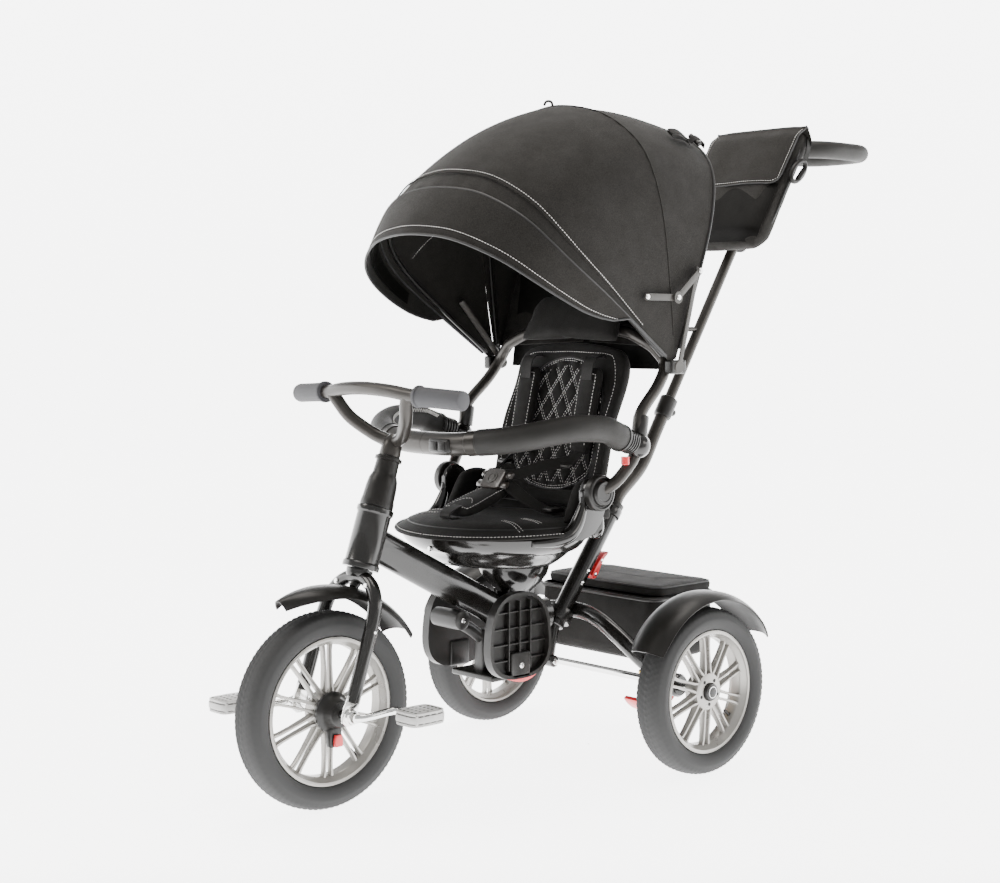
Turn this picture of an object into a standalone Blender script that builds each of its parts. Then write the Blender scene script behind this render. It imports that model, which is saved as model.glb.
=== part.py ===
"""Children's tricycle with a canopy, a steering push bar and a seat that turns round, in metres.

The front faces -Y, +X is the rider's left and the rear axle lies over the origin. Each named
object is one separate piece of the trike, and each moving piece hangs from an empty on its joint.
"""

import math

import bmesh
import bpy
from mathutils import Matrix, Vector

# Driving sizes of the whole trike
WHEELBASE = 0.534
HALF_TRACK = 0.238
HEAD_TILT = math.radians(19.0)
FRONT_TYRE_R = 0.1404
FRONT_RIM_R = 0.1051
REAR_TYRE_R = 0.127
REAR_RIM_R = 0.0932
TYRE_HALF_WIDTH = 0.026
FIT_GAP = 0.0004
TURN_GAP = 0.0006

# Wheels
RIM_HALF_WIDTH = 0.019
RIM_DEPTH = 0.012
SPOKE_PAIRS = 10
WHEEL_SIDES = 28
SPOKE_OFFSET = 0.0056
SPOKE_SECTION = (0.009, 0.005)
HUB_R = 0.028
AXLE_R = 0.006
CRANK_R = 0.0055

# Steering, measured along the leaning steering axis from the front axle
FORK_HALF_WIDTH = 0.058
FORK_TUBE_R = 0.010
CROWN_AT = 0.192
HEAD_FROM = 0.2045
HEAD_TO = 0.294
HEAD_R = 0.0245
COLLAR_R = 0.0268
COLLAR_LENGTH = 0.0085
STEERER_R = 0.0122
STEERER_TO = 0.383
BOOT_R = 0.0225
BOOT_TO = 0.343
NECK_R = 0.0165
NECK_TO = 0.371
CLIP_R = 0.0200
BAR_TUBE_R = 0.0095
GRIP_R = 0.0140
GRIP_FROM = 0.104
GRIP_END = Vector((0.182, 0.0995 - WHEELBASE, 0.578))
BAR_BEND = Vector((0.098, 0.0860 - WHEELBASE, 0.5825))
BAR_TOP = Vector((0.0, 0.0745 - WHEELBASE, 0.591))
FRONT_FENDER_R = 0.1765
FENDER_WALL = 0.003

# Crank and pedals
CRANK_THROW = 0.058
CRANK_LIFT = 0.006
CRANK_ELBOW_X = 0.086
PEDAL_FROM_X = 0.118
PEDAL_TO_X = 0.166
PEDAL_LENGTH = 0.062
PEDAL_HEIGHT = 0.020

# Main tube and rear frame
TUBE_HALF_HEIGHT = 0.0245
TUBE_HALF_WIDTH = 0.0170
BEAM_R = 0.0130
SOCKET_FOOT = Vector((0.0, -0.0790, 0.2040))
SOCKET_TOP = Vector((0.0, 0.0545, 0.3820))
SOCKET_R = 0.0145
SOCKET_FLOOR = 0.008
BAR_R = 0.0112
SWIVEL_Y = -0.1665
SWIVEL_FOOT_Z = 0.2700
SWIVEL_TOP_Z = 0.3120
SWIVEL_PIN_Y = -0.3328
SWIVEL_PIN_Z = 0.3500

# Push bar
LOWER_BAR_TO = Vector((0.0, 0.1905, 0.5540))
LOWER_BAR_FROM = Vector((0.0, 0.1225, 0.4470))
UPPER_BAR_R = 0.0088
UPPER_BAR_TO = Vector((0.0, 0.4600, 0.9780))
INSERTED = 0.055
HANDLE_R = 0.0155
HANDLE_Z = 0.988
HANDLE_HALF_WIDTH = 0.066
HANDLE_FROM_Y = 0.4860
HANDLE_REACH_Y = WHEELBASE + FRONT_TYRE_R - HANDLE_R
BAG_HALF_WIDTH = 0.096
BAG_THICKNESS = 0.046
BAG_HEIGHT = 0.235

# Seat and backrest
SEAT_HALF_WIDTH = 0.158
SEAT_CENTRE_Y = -0.2000
SEAT_FRONT = 0.148
SEAT_BACK = 0.118
PAN_TOP_Z = 0.3700
CUSHION_THICKNESS = 0.022
HINGE = Vector((0.0, -0.1525, 0.4330))
CHEEK_X = 0.1500
CHEEK_THICKNESS = 0.012
DISC_R = 0.027
DISC_THICKNESS = 0.014
BACK_TUBE_R = 0.0090
GUARD_JOINT = Vector((0.197, -0.1005, 0.5020))
GUARD_BALL_R = 0.0185
GUARD_R = 0.0195
GUARD_TUBE_R = 0.0170
GUARD_BUTTON_AHEAD = 0.0265
GUARD_BUTTON_DROP = 0.0150
PAD_HALF_WIDTH = 0.120
PAD_THICKNESS = 0.026
PAD_FOOT = Vector((0.0, -0.0950, 0.4130))
PAD_TOP = Vector((0.0, -0.0430, 0.6450))

# Canopy
CANOPY_AXIS = Vector((0.0, -0.0225, 0.6170))
CANOPY_HALF_WIDTH = 0.206
CANOPY_R = 0.406
CANOPY_WALL = 0.0025
SHELL_GAP = 0.0012
REAR_HOOP = math.radians(-20.0)
RIDGE_HOOP = math.radians(9.0)
FRONT_HOOP = math.radians(50.0)
VISOR_EDGE = math.radians(65.0)
HUB_CLEARANCE = 0.036
LINK_LENGTH = 0.065
LINK_HALF_WIDTH = 0.0045
LINK_THICKNESS = 0.0018
LINK_FRONT = (math.radians(36.0), 0.129)
LINK_REAR = (math.radians(-15.4), 0.150)

# Rear fittings
BASKET_X = 0.128
BASKET_FROM_Y = 0.0120
BASKET_TO_Y = 0.1640
BASKET_FLOOR_Z = 0.1450
BASKET_TOP_Z = 0.2520
BASKET_WALL = 0.003
LID_FROM_Y = 0.0240
LID_HEIGHT = 0.016
BRAKE_PIVOT = Vector((0.150, -0.0165, 0.1410))
BRAKE_R = 0.058
FOOT_HINGE = Vector((0.056, -0.2240, 0.1560))
FOOT_LENGTH = 0.124
FOOT_HEIGHT = 0.130
FOOT_THICKNESS = 0.016


def clear_scene():
    """Removes every object, so that the file holds only the trike."""
    for thing in list(bpy.data.objects):
        bpy.data.objects.remove(thing, do_unlink=True)


def make_material(name, colour, roughness, metallic=0.0):
    """One Principled material."""
    material = bpy.data.materials.new(name)
    material.use_nodes = True
    shader = material.node_tree.nodes["Principled BSDF"]
    shader.inputs["Base Color"].default_value = (*colour, 1.0)
    shader.inputs["Roughness"].default_value = roughness
    shader.inputs["Metallic"].default_value = metallic
    material.diffuse_color = (*colour, 1.0)
    return material


def make_body(name, location, parent=None):
    """An empty on a joint's axis; the pieces of one moving body hang from it."""
    empty = bpy.data.objects.new(name, None)
    empty.empty_display_size = 0.02
    bpy.context.collection.objects.link(empty)
    empty["at"] = tuple(location)
    start = Vector(parent["at"]) if parent else Vector()
    empty.location = Vector(location) - start
    empty.parent = parent
    return empty


def place(thing, body, material):
    """Hangs a piece, modelled in world space, from its body's empty, and gives it its material."""
    thing.data.transform(Matrix.Translation(-Vector(body["at"])))
    thing.parent = body
    thing.data.materials.clear()
    thing.data.materials.append(material)
    thing.data.shade_smooth()
    thing.data.set_sharp_from_angle(angle=math.radians(35.0))
    return thing


def from_bmesh(name, mesh_data):
    """Turns a bmesh into an object with its faces pointing out."""
    bmesh.ops.recalc_face_normals(mesh_data, faces=mesh_data.faces)
    mesh = bpy.data.meshes.new(name)
    mesh_data.to_mesh(mesh)
    mesh_data.free()
    thing = bpy.data.objects.new(name, mesh)
    bpy.context.collection.objects.link(thing)
    return thing


def combine(target, other, operation="UNION"):
    """Joins or cuts target by other, which is used up."""
    step = target.modifiers.new("combine", "BOOLEAN")
    step.operation = operation
    step.solver = "EXACT"
    step.object = other
    graph = bpy.context.evaluated_depsgraph_get()
    mesh = bpy.data.meshes.new_from_object(target.evaluated_get(graph))
    target.modifiers.clear()
    target.data = mesh
    bpy.data.objects.remove(other, do_unlink=True)
    return target


def join_all(pieces):
    """One solid from overlapping pieces."""
    for piece in pieces[1:]:
        combine(pieces[0], piece)
    return pieces[0]


def turned(name, profile, start, direction, sides=24):
    """Spins a profile of (along, radius) pairs round the line from start along direction.

    A profile that ends on the axis stays open there; any other one is closed into a ring.
    """
    shape = bmesh.new()
    axis = Vector(direction).normalized()
    across = axis.orthogonal().normalized()
    points = [shape.verts.new(Vector(start) + axis * along + across * radius) for along, radius in profile]
    edges = [shape.edges.new(pair) for pair in zip(points, points[1:])]
    if min(radius for _, radius in profile) > 0.0:
        edges.append(shape.edges.new((points[-1], points[0])))
    bmesh.ops.spin(
        shape, geom=points + edges, cent=Vector(start), axis=axis, angle=2.0 * math.pi, steps=sides, use_merge=True
    )
    bmesh.ops.remove_doubles(shape, verts=shape.verts, dist=0.00001)
    return from_bmesh(name, shape)


def rod(name, start, end, radius, sides=12):
    """A plain round bar between two points."""
    length = (Vector(end) - Vector(start)).length
    profile = [(0.0, 0.0), (0.0, radius), (length, radius), (length, 0.0)]
    return turned(name, profile, start, Vector(end) - Vector(start), sides)


def sleeve(name, start, end, outer, inner, sides=20):
    """A tube between two points, open at both ends."""
    length = (Vector(end) - Vector(start)).length
    profile = [(0.0, inner), (0.0, outer), (length, outer), (length, inner)]
    return turned(name, profile, start, Vector(end) - Vector(start), sides)


def smooth_path(points, steps=4):
    """Points on a smooth curve through the given ones."""
    ends = [2 * Vector(points[0]) - Vector(points[1]), 2 * Vector(points[-1]) - Vector(points[-2])]
    knots = [ends[0], *[Vector(point) for point in points], ends[1]]
    path = []
    for index in range(1, len(knots) - 2):
        before, here, there, after = knots[index - 1 : index + 3]
        for step in range(steps):
            t = step / steps
            path.append(
                0.5
                * (
                    2 * here
                    + (there - before) * t
                    + (2 * before - 5 * here + 4 * there - after) * t**2
                    + (3 * here - before - 3 * there + after) * t**3
                )
            )
    path.append(knots[-2])
    return path


def bent_tube(name, points, radius, steps=3, roundness=2):
    """A round tube along a smooth curve through the points, with flat ends."""
    curve = bpy.data.curves.new(name, "CURVE")
    curve.dimensions = "3D"
    curve.bevel_depth = radius
    curve.bevel_resolution = roundness
    curve.use_fill_caps = True
    path = smooth_path(points, steps)
    line = curve.splines.new("POLY")
    line.points.add(len(path) - 1)
    for slot, point in zip(line.points, path):
        slot.co = (*point, 1.0)
    thing = bpy.data.objects.new(name, curve)
    bpy.context.collection.objects.link(thing)
    graph = bpy.context.evaluated_depsgraph_get()
    mesh = bpy.data.meshes.new_from_object(thing.evaluated_get(graph))
    bpy.data.objects.remove(thing, do_unlink=True)
    shape = bmesh.new()
    shape.from_mesh(mesh)
    bmesh.ops.remove_doubles(shape, verts=shape.verts, dist=0.00001)
    return from_bmesh(name, shape)


def loft(name, rings):
    """A closed solid through rings of points with equal counts, capped at both ends."""
    shape = bmesh.new()
    rows = [[shape.verts.new(point) for point in ring] for ring in rings]
    count = len(rows[0])
    for lower, upper in zip(rows, rows[1:]):
        for index in range(count):
            following = (index + 1) % count
            shape.faces.new((lower[index], lower[following], upper[following], upper[index]))
    shape.faces.new(rows[0])
    shape.faces.new(rows[-1])
    return from_bmesh(name, shape)


def prism(name, outline, depth):
    """A flat outline of world points pushed along the depth vector."""
    return loft(name, [outline, [Vector(point) + Vector(depth) for point in outline]])


def block(name, low, high):
    """A box between two corners."""
    (x0, y0, z0), (x1, y1, z1) = low, high
    base = [(x0, y0, z0), (x1, y0, z0), (x1, y1, z0), (x0, y1, z0)]
    return prism(name, base, (0.0, 0.0, z1 - z0))


def mirrored(points, side):
    """The points on the given side: +1 is the rider's left, -1 the right."""
    return [Vector((point[0] * side, point[1], point[2])) for point in points]


def side_name(name, side):
    """The name of a left or right piece."""
    return f"{name}_{'left' if side > 0 else 'right'}"


def on_steering(along, aside=0.0, ahead=0.0):
    """A point from its distance along the steering axis, to the side and ahead of it."""
    sine = math.sin(HEAD_TILT)
    cosine = math.cos(HEAD_TILT)
    return Vector((aside, -WHEELBASE + along * sine - ahead * cosine, FRONT_TYRE_R + along * cosine + ahead * sine))


STEER_DIRECTION = Vector((0.0, math.sin(HEAD_TILT), math.cos(HEAD_TILT)))
SOCKET_DIRECTION = (SOCKET_TOP - SOCKET_FOOT).normalized()
UPPER_DIRECTION = (LOWER_BAR_TO - LOWER_BAR_FROM).normalized()


def tyre(name, centre, tyre_radius, rim_radius):
    """A round tyre with its flat bead seat resting just outside the rim."""
    seat = rim_radius + FIT_GAP
    depth = tyre_radius - seat
    half = TYRE_HALF_WIDTH
    profile = [(-0.62 * half, seat), (0.62 * half, seat), (0.93 * half, seat + 0.22 * depth)]
    profile += [(half, seat + 0.48 * depth), (0.86 * half, seat + 0.74 * depth), (0.48 * half, tyre_radius - 0.0025)]
    profile += [(0.0, tyre_radius), (-0.48 * half, tyre_radius - 0.0025), (-0.86 * half, seat + 0.74 * depth)]
    profile += [(-half, seat + 0.48 * depth), (-0.93 * half, seat + 0.22 * depth)]
    return turned(name, profile, centre, (1, 0, 0), WHEEL_SIDES)


def rim(name, centre, rim_radius, hub_profile, outward, spoke_from=0.0):
    """A rim ring, paired spokes dished towards the outside and a turned hub, as one casting."""
    half = RIM_HALF_WIDTH
    inner = rim_radius - RIM_DEPTH
    ring = [(-half, rim_radius), (-half, rim_radius - 0.004), (-0.4 * half, inner), (0.4 * half, inner)]
    ring += [(half, rim_radius - 0.004), (half, rim_radius)]
    wheel = turned(name, ring, centre, (1, 0, 0), WHEEL_SIDES)
    thick, wide = SPOKE_SECTION
    for pair in range(SPOKE_PAIRS):
        for lean in (-1.0, 1.0):
            angle = 2.0 * math.pi * pair / SPOKE_PAIRS
            radial = Vector((0.0, math.sin(angle), math.cos(angle)))
            tangent = Vector((0.0, math.cos(angle), -math.sin(angle)))
            shift = lean * SPOKE_OFFSET
            start = Vector(centre) + radial * (HUB_R - 0.002) + tangent * shift
            start.x += outward * spoke_from
            tip = Vector(centre) + radial * (inner + 0.004) + tangent * (shift * 1.25)
            corners = []
            for across, along in ((-1, -1), (1, -1), (1, 1), (-1, 1)):
                corners.append(tangent * (across * wide * 0.5) + Vector((along * thick * 0.5, 0.0, 0.0)))
            spoke = loft("spoke", [[start + c for c in corners], [tip + c for c in corners]])
            combine(wheel, spoke)
    hub = turned("hub", hub_profile, centre, (outward, 0, 0), 24)
    return combine(wheel, hub)


def front_wheel(bodies, looks):
    """Front tyre, rim and the clutch housing with its pull tab."""
    centre = (0.0, -WHEELBASE, FRONT_TYRE_R)
    place(tyre("tyre_front", centre, FRONT_TYRE_R, FRONT_RIM_R), bodies["front_wheel"], looks["rubber"])
    bore = CRANK_R + TURN_GAP
    hub = [(-0.030, bore), (-0.030, 0.016), (-0.010, HUB_R), (0.012, HUB_R), (0.024, 0.018), (0.024, bore)]
    place(rim("rim_front", centre, FRONT_RIM_R, hub, 1), bodies["front_wheel"], looks["alloy"])
    start = 0.024 + FIT_GAP
    cover = [(start, bore), (start, 0.026), (start + 0.004, 0.028), (start + 0.018, 0.019), (start + 0.018, bore)]
    housing = turned("clutch_housing", cover, centre, (1, 0, 0), 24)
    holder = block(
        "holder",
        (start + 0.001, -WHEELBASE - 0.009, FRONT_TYRE_R - 0.046),
        (start + 0.006, -WHEELBASE + 0.009, FRONT_TYRE_R - 0.018),
    )
    place(combine(housing, holder), bodies["front_wheel"], looks["plastic"])
    outer = start + 0.006 + FIT_GAP
    low = (outer, -WHEELBASE - 0.006, FRONT_TYRE_R - 0.047)
    high = (outer + 0.006, -WHEELBASE + 0.006, FRONT_TYRE_R - 0.030)
    place(block("clutch_tab", low, high), bodies["clutch_tab"], looks["red"])


def crank(bodies, looks):
    """The bent steel crank through the front hub, and a pedal on each end."""
    axle = Vector((0.0, -WHEELBASE, FRONT_TYRE_R))
    throw = Vector((0.0, CRANK_THROW, CRANK_LIFT))
    near = [(PEDAL_TO_X - 0.006, 1.0), (CRANK_ELBOW_X + 0.014, 1.0), (CRANK_ELBOW_X + 0.004, 0.85)]
    near += [(CRANK_ELBOW_X - 0.006, 0.15), (CRANK_ELBOW_X - 0.016, 0.0)]
    route = [axle + throw * share + Vector((x, 0, 0)) for x, share in near]
    route += [axle - throw * share - Vector((x, 0, 0)) for x, share in reversed(near)]
    bar = bent_tube("crank", route, CRANK_R, steps=1, roundness=2)
    place(bar, bodies["crank"], looks["steel"])
    for side in (1, -1):
        centre = axle + throw * side
        half = PEDAL_LENGTH * 0.5
        low = PEDAL_HEIGHT * 0.5
        outline = [(-half, -low), (half, -low), (half, 0.4 * low), (half - 0.008, low), (8e-3 - half, low)]
        outline += [(-half, 0.4 * low)]
        ends = sorted((PEDAL_FROM_X * side, PEDAL_TO_X * side))
        face = [(ends[0], centre.y + y, centre.z + z) for y, z in outline]
        name = side_name("pedal", side)
        pedal = prism(name, face, (ends[1] - ends[0], 0, 0))
        hole_from = (ends[0] - 0.01, centre.y, centre.z)
        hole_to = (ends[1] + 0.01, centre.y, centre.z)
        hole = rod("hole", hole_from, hole_to, CRANK_R + TURN_GAP)
        combine(pedal, hole, "DIFFERENCE")
        place(pedal, bodies[name], looks["grey"])


def fender(name, centre, radius, start, end, half_width, droop, point=0.0):
    """A thin arched mudguard round an axle; point narrows its front end."""
    rings = []
    stations = 12
    for step in range(stations + 1):
        share = step / stations
        angle = start + (end - start) * share
        narrow = 1.0 - point * max(0.0, 1.0 - share / 0.35) ** 1.6
        ring = []
        for layer in (0.0, FENDER_WALL):
            spans = [-1.0, -0.8, 0.0, 0.8, 1.0]
            for span in spans if layer == 0.0 else reversed(spans):
                reach = radius - layer - droop * abs(span) ** 2.5
                x = centre[0] + span * half_width * narrow
                ring.append(Vector((x, centre[1] + math.sin(angle) * reach, centre[2] + math.cos(angle) * reach)))
        rings.append(ring)
    return loft(name, rings)


def fork(bodies, looks):
    """The fork with its steering column, and the mudguard under the crown."""
    half = FORK_HALF_WIDTH
    leg = [(half, 0.020), (half, 0.100), (half - 0.0005, 0.130), (half - 0.004, 0.158)]
    leg += [(half - 0.016, 0.178), (0.020, CROWN_AT - 0.003), (0.0, CROWN_AT)]
    route = [on_steering(along, aside) for aside, along in leg]
    route += [on_steering(along, -aside) for aside, along in reversed(leg[:-1])]
    tube = bent_tube("fork", route, FORK_TUBE_R, steps=2)
    column = rod("column", on_steering(CROWN_AT - 0.002), on_steering(STEERER_TO), STEERER_R, 20)
    pieces = [tube, column]
    for side in (1, -1):
        face = []
        for ahead, along in ((-0.011, -0.012), (0.011, -0.012), (0.012, 0.010), (0.006, 0.045), (-0.006, 0.045)):
            face.append(on_steering(along, (half - 0.004) * side, ahead))
        plate = prism("dropout", face, (side * 0.005, 0, 0))
        reach = (half + 0.02) * side
        hole = rod("hole", on_steering(0, half * side - reach * 0.3), on_steering(0, reach), CRANK_R + TURN_GAP)
        pieces.append(combine(plate, hole, "DIFFERENCE"))
    place(join_all(pieces), bodies["fork"], looks["gloss"])
    centre = (0.0, -WHEELBASE, FRONT_TYRE_R)
    guard = fender(
        "fender_front", centre, FRONT_FENDER_R, math.radians(-25), math.radians(55), 0.034, 0.010, point=0.55
    )
    place(guard, bodies["fork"], looks["satin"])


def handlebar(bodies, looks):
    """Boot, clip ring, yoke, bar and grips, all turning with the fork."""
    start = HEAD_TO + TURN_GAP
    bore = STEERER_R + FIT_GAP
    profile = [(start, bore), (start, BOOT_R + 0.001), (start + 0.012, BOOT_R), (BOOT_TO - 0.012, BOOT_R - 0.001)]
    profile += [(BOOT_TO, NECK_R + 0.001), (NECK_TO - 0.005, NECK_R), (NECK_TO - 0.005, CLIP_R)]
    profile += [(NECK_TO - 0.002, CLIP_R), (NECK_TO - 0.002, NECK_R), (NECK_TO, NECK_R), (NECK_TO, bore)]
    place(turned("boot", profile, on_steering(0), STEER_DIRECTION, 24), bodies["fork"], looks["satin"])
    bar = bent_tube(
        "handlebar",
        mirrored([GRIP_END, BAR_BEND], -1) + [BAR_TOP] + mirrored([BAR_BEND, GRIP_END], 1),
        BAR_TUBE_R,
        steps=3,
    )
    clamp_at = STEERER_TO + 0.0115
    yoke_top = Vector((0.082, BAR_BEND.y - 0.0025, BAR_BEND.z + 0.001))
    half_yoke = [yoke_top, Vector((0.066, -0.436, 0.549)), Vector((0.034, -0.416, 0.524))]
    route = mirrored(half_yoke, -1) + [on_steering(clamp_at)] + list(reversed(half_yoke))
    yoke = bent_tube("yoke", route, BAR_TUBE_R, steps=3)
    stem = sleeve("stem", on_steering(NECK_TO + FIT_GAP), on_steering(STEERER_TO + 0.004), STEERER_R + 0.0028, bore, 20)
    place(join_all([bar, yoke, stem]), bodies["fork"], looks["gunmetal"])
    for side in (1, -1):
        end = mirrored([GRIP_END], side)[0]
        bend = mirrored([BAR_BEND], side)[0]
        direction = (end - bend).normalized()
        first = bend + direction * ((GRIP_FROM - BAR_BEND.x) / abs(direction.x))
        length = (end - first).length
        hole = BAR_TUBE_R + FIT_GAP
        shape = [(length + FIT_GAP, 0.0), (length + FIT_GAP, hole), (0.0, hole), (0.0, GRIP_R - 0.001)]
        shape += [(0.002, GRIP_R), (length + 0.002, GRIP_R), (length + 0.004, GRIP_R - 0.002), (length + 0.004, 0.0)]
        grip = turned(side_name("grip", side), shape, first, direction, 18)
        place(grip, bodies["fork"], looks["grip"])


def main_frame(bodies, looks):
    """Head tube with its collars, the oval main tube and the housing that carries the seat."""
    bore = STEERER_R + TURN_GAP
    low = HEAD_FROM + COLLAR_LENGTH
    high = HEAD_TO - COLLAR_LENGTH
    profile = [(HEAD_FROM, bore), (HEAD_FROM, COLLAR_R), (low, COLLAR_R), (low, HEAD_R), (high, HEAD_R)]
    profile += [(high, COLLAR_R), (HEAD_TO, COLLAR_R), (HEAD_TO, bore)]
    place(turned("head_tube", profile, on_steering(0), STEER_DIRECTION, 28), bodies["frame"], looks["gloss"])
    head_centre = on_steering((HEAD_FROM + HEAD_TO) / 2.0 - 0.005)
    rear_y = SOCKET_FOOT.y - 0.0035
    route = [head_centre, Vector((0, 0.1105 - WHEELBASE, 0.3580)), Vector((0, -0.2350, 0.2588)), Vector((0, -0.2000, 0.2390))]
    route += [Vector((0, SWIVEL_Y, 0.2300)), Vector((0, -0.1300, 0.2265)), Vector((0, rear_y, 0.2260))]
    rings = []
    path = smooth_path(route, 2)
    for index, point in enumerate(path):
        ahead = path[min(index + 1, len(path) - 1)] - path[max(index - 1, 0)]
        up = Vector((0.0, -ahead.z, ahead.y)).normalized()
        ring = []
        for corner in range(16):
            angle = 2.0 * math.pi * corner / 16
            across = Vector((math.cos(angle) * TUBE_HALF_WIDTH, 0.0, 0.0))
            ring.append(point + across + up * (math.sin(angle) * TUBE_HALF_HEIGHT))
        rings.append(ring)
    tube = loft("main_tube", rings)
    cut = HEAD_R + FIT_GAP
    combine(tube, rod("head_cut", on_steering(HEAD_FROM - 0.04), on_steering(HEAD_TO + 0.04), cut, 28), "DIFFERENCE")
    socket_cut = rod(
        "socket_cut",
        SOCKET_FOOT - SOCKET_DIRECTION * 0.01,
        SOCKET_TOP,
        SOCKET_R + FIT_GAP,
        16,
    )
    combine(tube, socket_cut, "DIFFERENCE")
    place(tube, bodies["frame"], looks["gloss"])
    start = (0.0, SWIVEL_Y, 0.0)
    cone = [(SWIVEL_FOOT_Z, 0.0), (SWIVEL_FOOT_Z, 0.027), (SWIVEL_FOOT_Z + 0.012, 0.040)]
    cone += [(SWIVEL_TOP_Z - 0.014, 0.053), (SWIVEL_TOP_Z, 0.055), (SWIVEL_TOP_Z, 0.0)]
    place(turned("swivel_housing", cone, start, (0, 0, 1), 28), bodies["frame"], looks["plastic"])


def rear_frame(bodies, looks):
    """Push-bar socket, curved rear beam, axle and brake pins, welded into one piece."""
    inner = BAR_R + TURN_GAP
    length = (SOCKET_TOP - SOCKET_FOOT).length
    step = length - 0.016
    wide = SOCKET_R + 0.003
    profile = [(0.0, 0.0), (0.0, SOCKET_R), (step, SOCKET_R), (step, wide), (length, wide), (length, inner)]
    profile += [(SOCKET_FLOOR, inner), (SOCKET_FLOOR, 0.0)]
    socket = turned("rear_frame", profile, SOCKET_FOOT, SOCKET_DIRECTION, 18)
    half = [(0.045, -0.038, 0.2215), (0.100, -0.0500, 0.2060), (0.155, -0.0500, 0.1740), (0.185, -0.0260, 0.1420)]
    half += [(0.189, 0.0, 0.127)]
    route = mirrored(list(reversed(half)), -1) + [Vector((0, -0.0345, 0.2240))] + mirrored(half, 1)
    beam = bent_tube("beam", route, BEAM_R, steps=2)
    tip = HALF_TRACK + 0.016
    axle = rod("axle", (-tip, 0, REAR_TYRE_R), (tip, 0, REAR_TYRE_R), AXLE_R, 14)
    pieces = [socket, beam, axle]
    below = Vector((0.0, SOCKET_FOOT.y - 0.0115, SOCKET_FOOT.z - 0.054))
    pieces.append(rod("lug", SOCKET_FOOT + SOCKET_DIRECTION * 0.003, below, 0.008, 12))
    pieces.append(rod("lug_bolt", below + Vector((-0.014, 0, 0)), below + Vector((0.014, 0, 0)), 0.0095, 14))
    for side in (1, -1):
        pin = rod("pin", (0.128 * side, *BRAKE_PIVOT.yz), (0.190 * side, *BRAKE_PIVOT.yz), 0.004, 10)
        pieces.append(pin)
    place(join_all(pieces), bodies["frame"], looks["gloss"])
    for side in (1, -1):
        centre = (HALF_TRACK * side, 0.0, REAR_TYRE_R)
        guard = fender(
            side_name("fender_rear", side), centre, 0.152, math.radians(-60), math.radians(60), 0.035, 0.007
        )
        place(guard, bodies["frame"], looks["satin"])


def rear_wheels(bodies, looks):
    """Two rear tyres and rims; each hub is closed by its outer cap."""
    for side in (1, -1):
        centre = (HALF_TRACK * side, 0.0, REAR_TYRE_R)
        body = bodies[side_name("rear_wheel", side)]
        place(tyre(side_name("tyre_rear", side), centre, REAR_TYRE_R, REAR_RIM_R), body, looks["rubber"])
        bore = AXLE_R + TURN_GAP
        end = 0.016 + TURN_GAP
        hub = [(end, 0.0), (end, bore), (-0.024, bore), (-0.024, 0.015), (-0.008, HUB_R), (0.018, HUB_R)]
        hub += [(0.024, 0.016), (0.024, 0.0)]
        place(rim(side_name("rim_rear", side), centre, REAR_RIM_R, hub, side, 0.006), body, looks["alloy"])


def seat_ring(z, scale, inset=0.0):
    """One egg-shaped outline of the seat, wide at the back and rounded in front."""
    ring = []
    for corner in range(24):
        angle = 2.0 * math.pi * corner / 24
        reach = (SEAT_FRONT if math.cos(angle) > 0 else SEAT_BACK) * scale - inset
        x = math.sin(angle) * (SEAT_HALF_WIDTH * scale - inset)
        ring.append(Vector((x, SEAT_CENTRE_Y - math.cos(angle) * reach, z)))
    return ring


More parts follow.
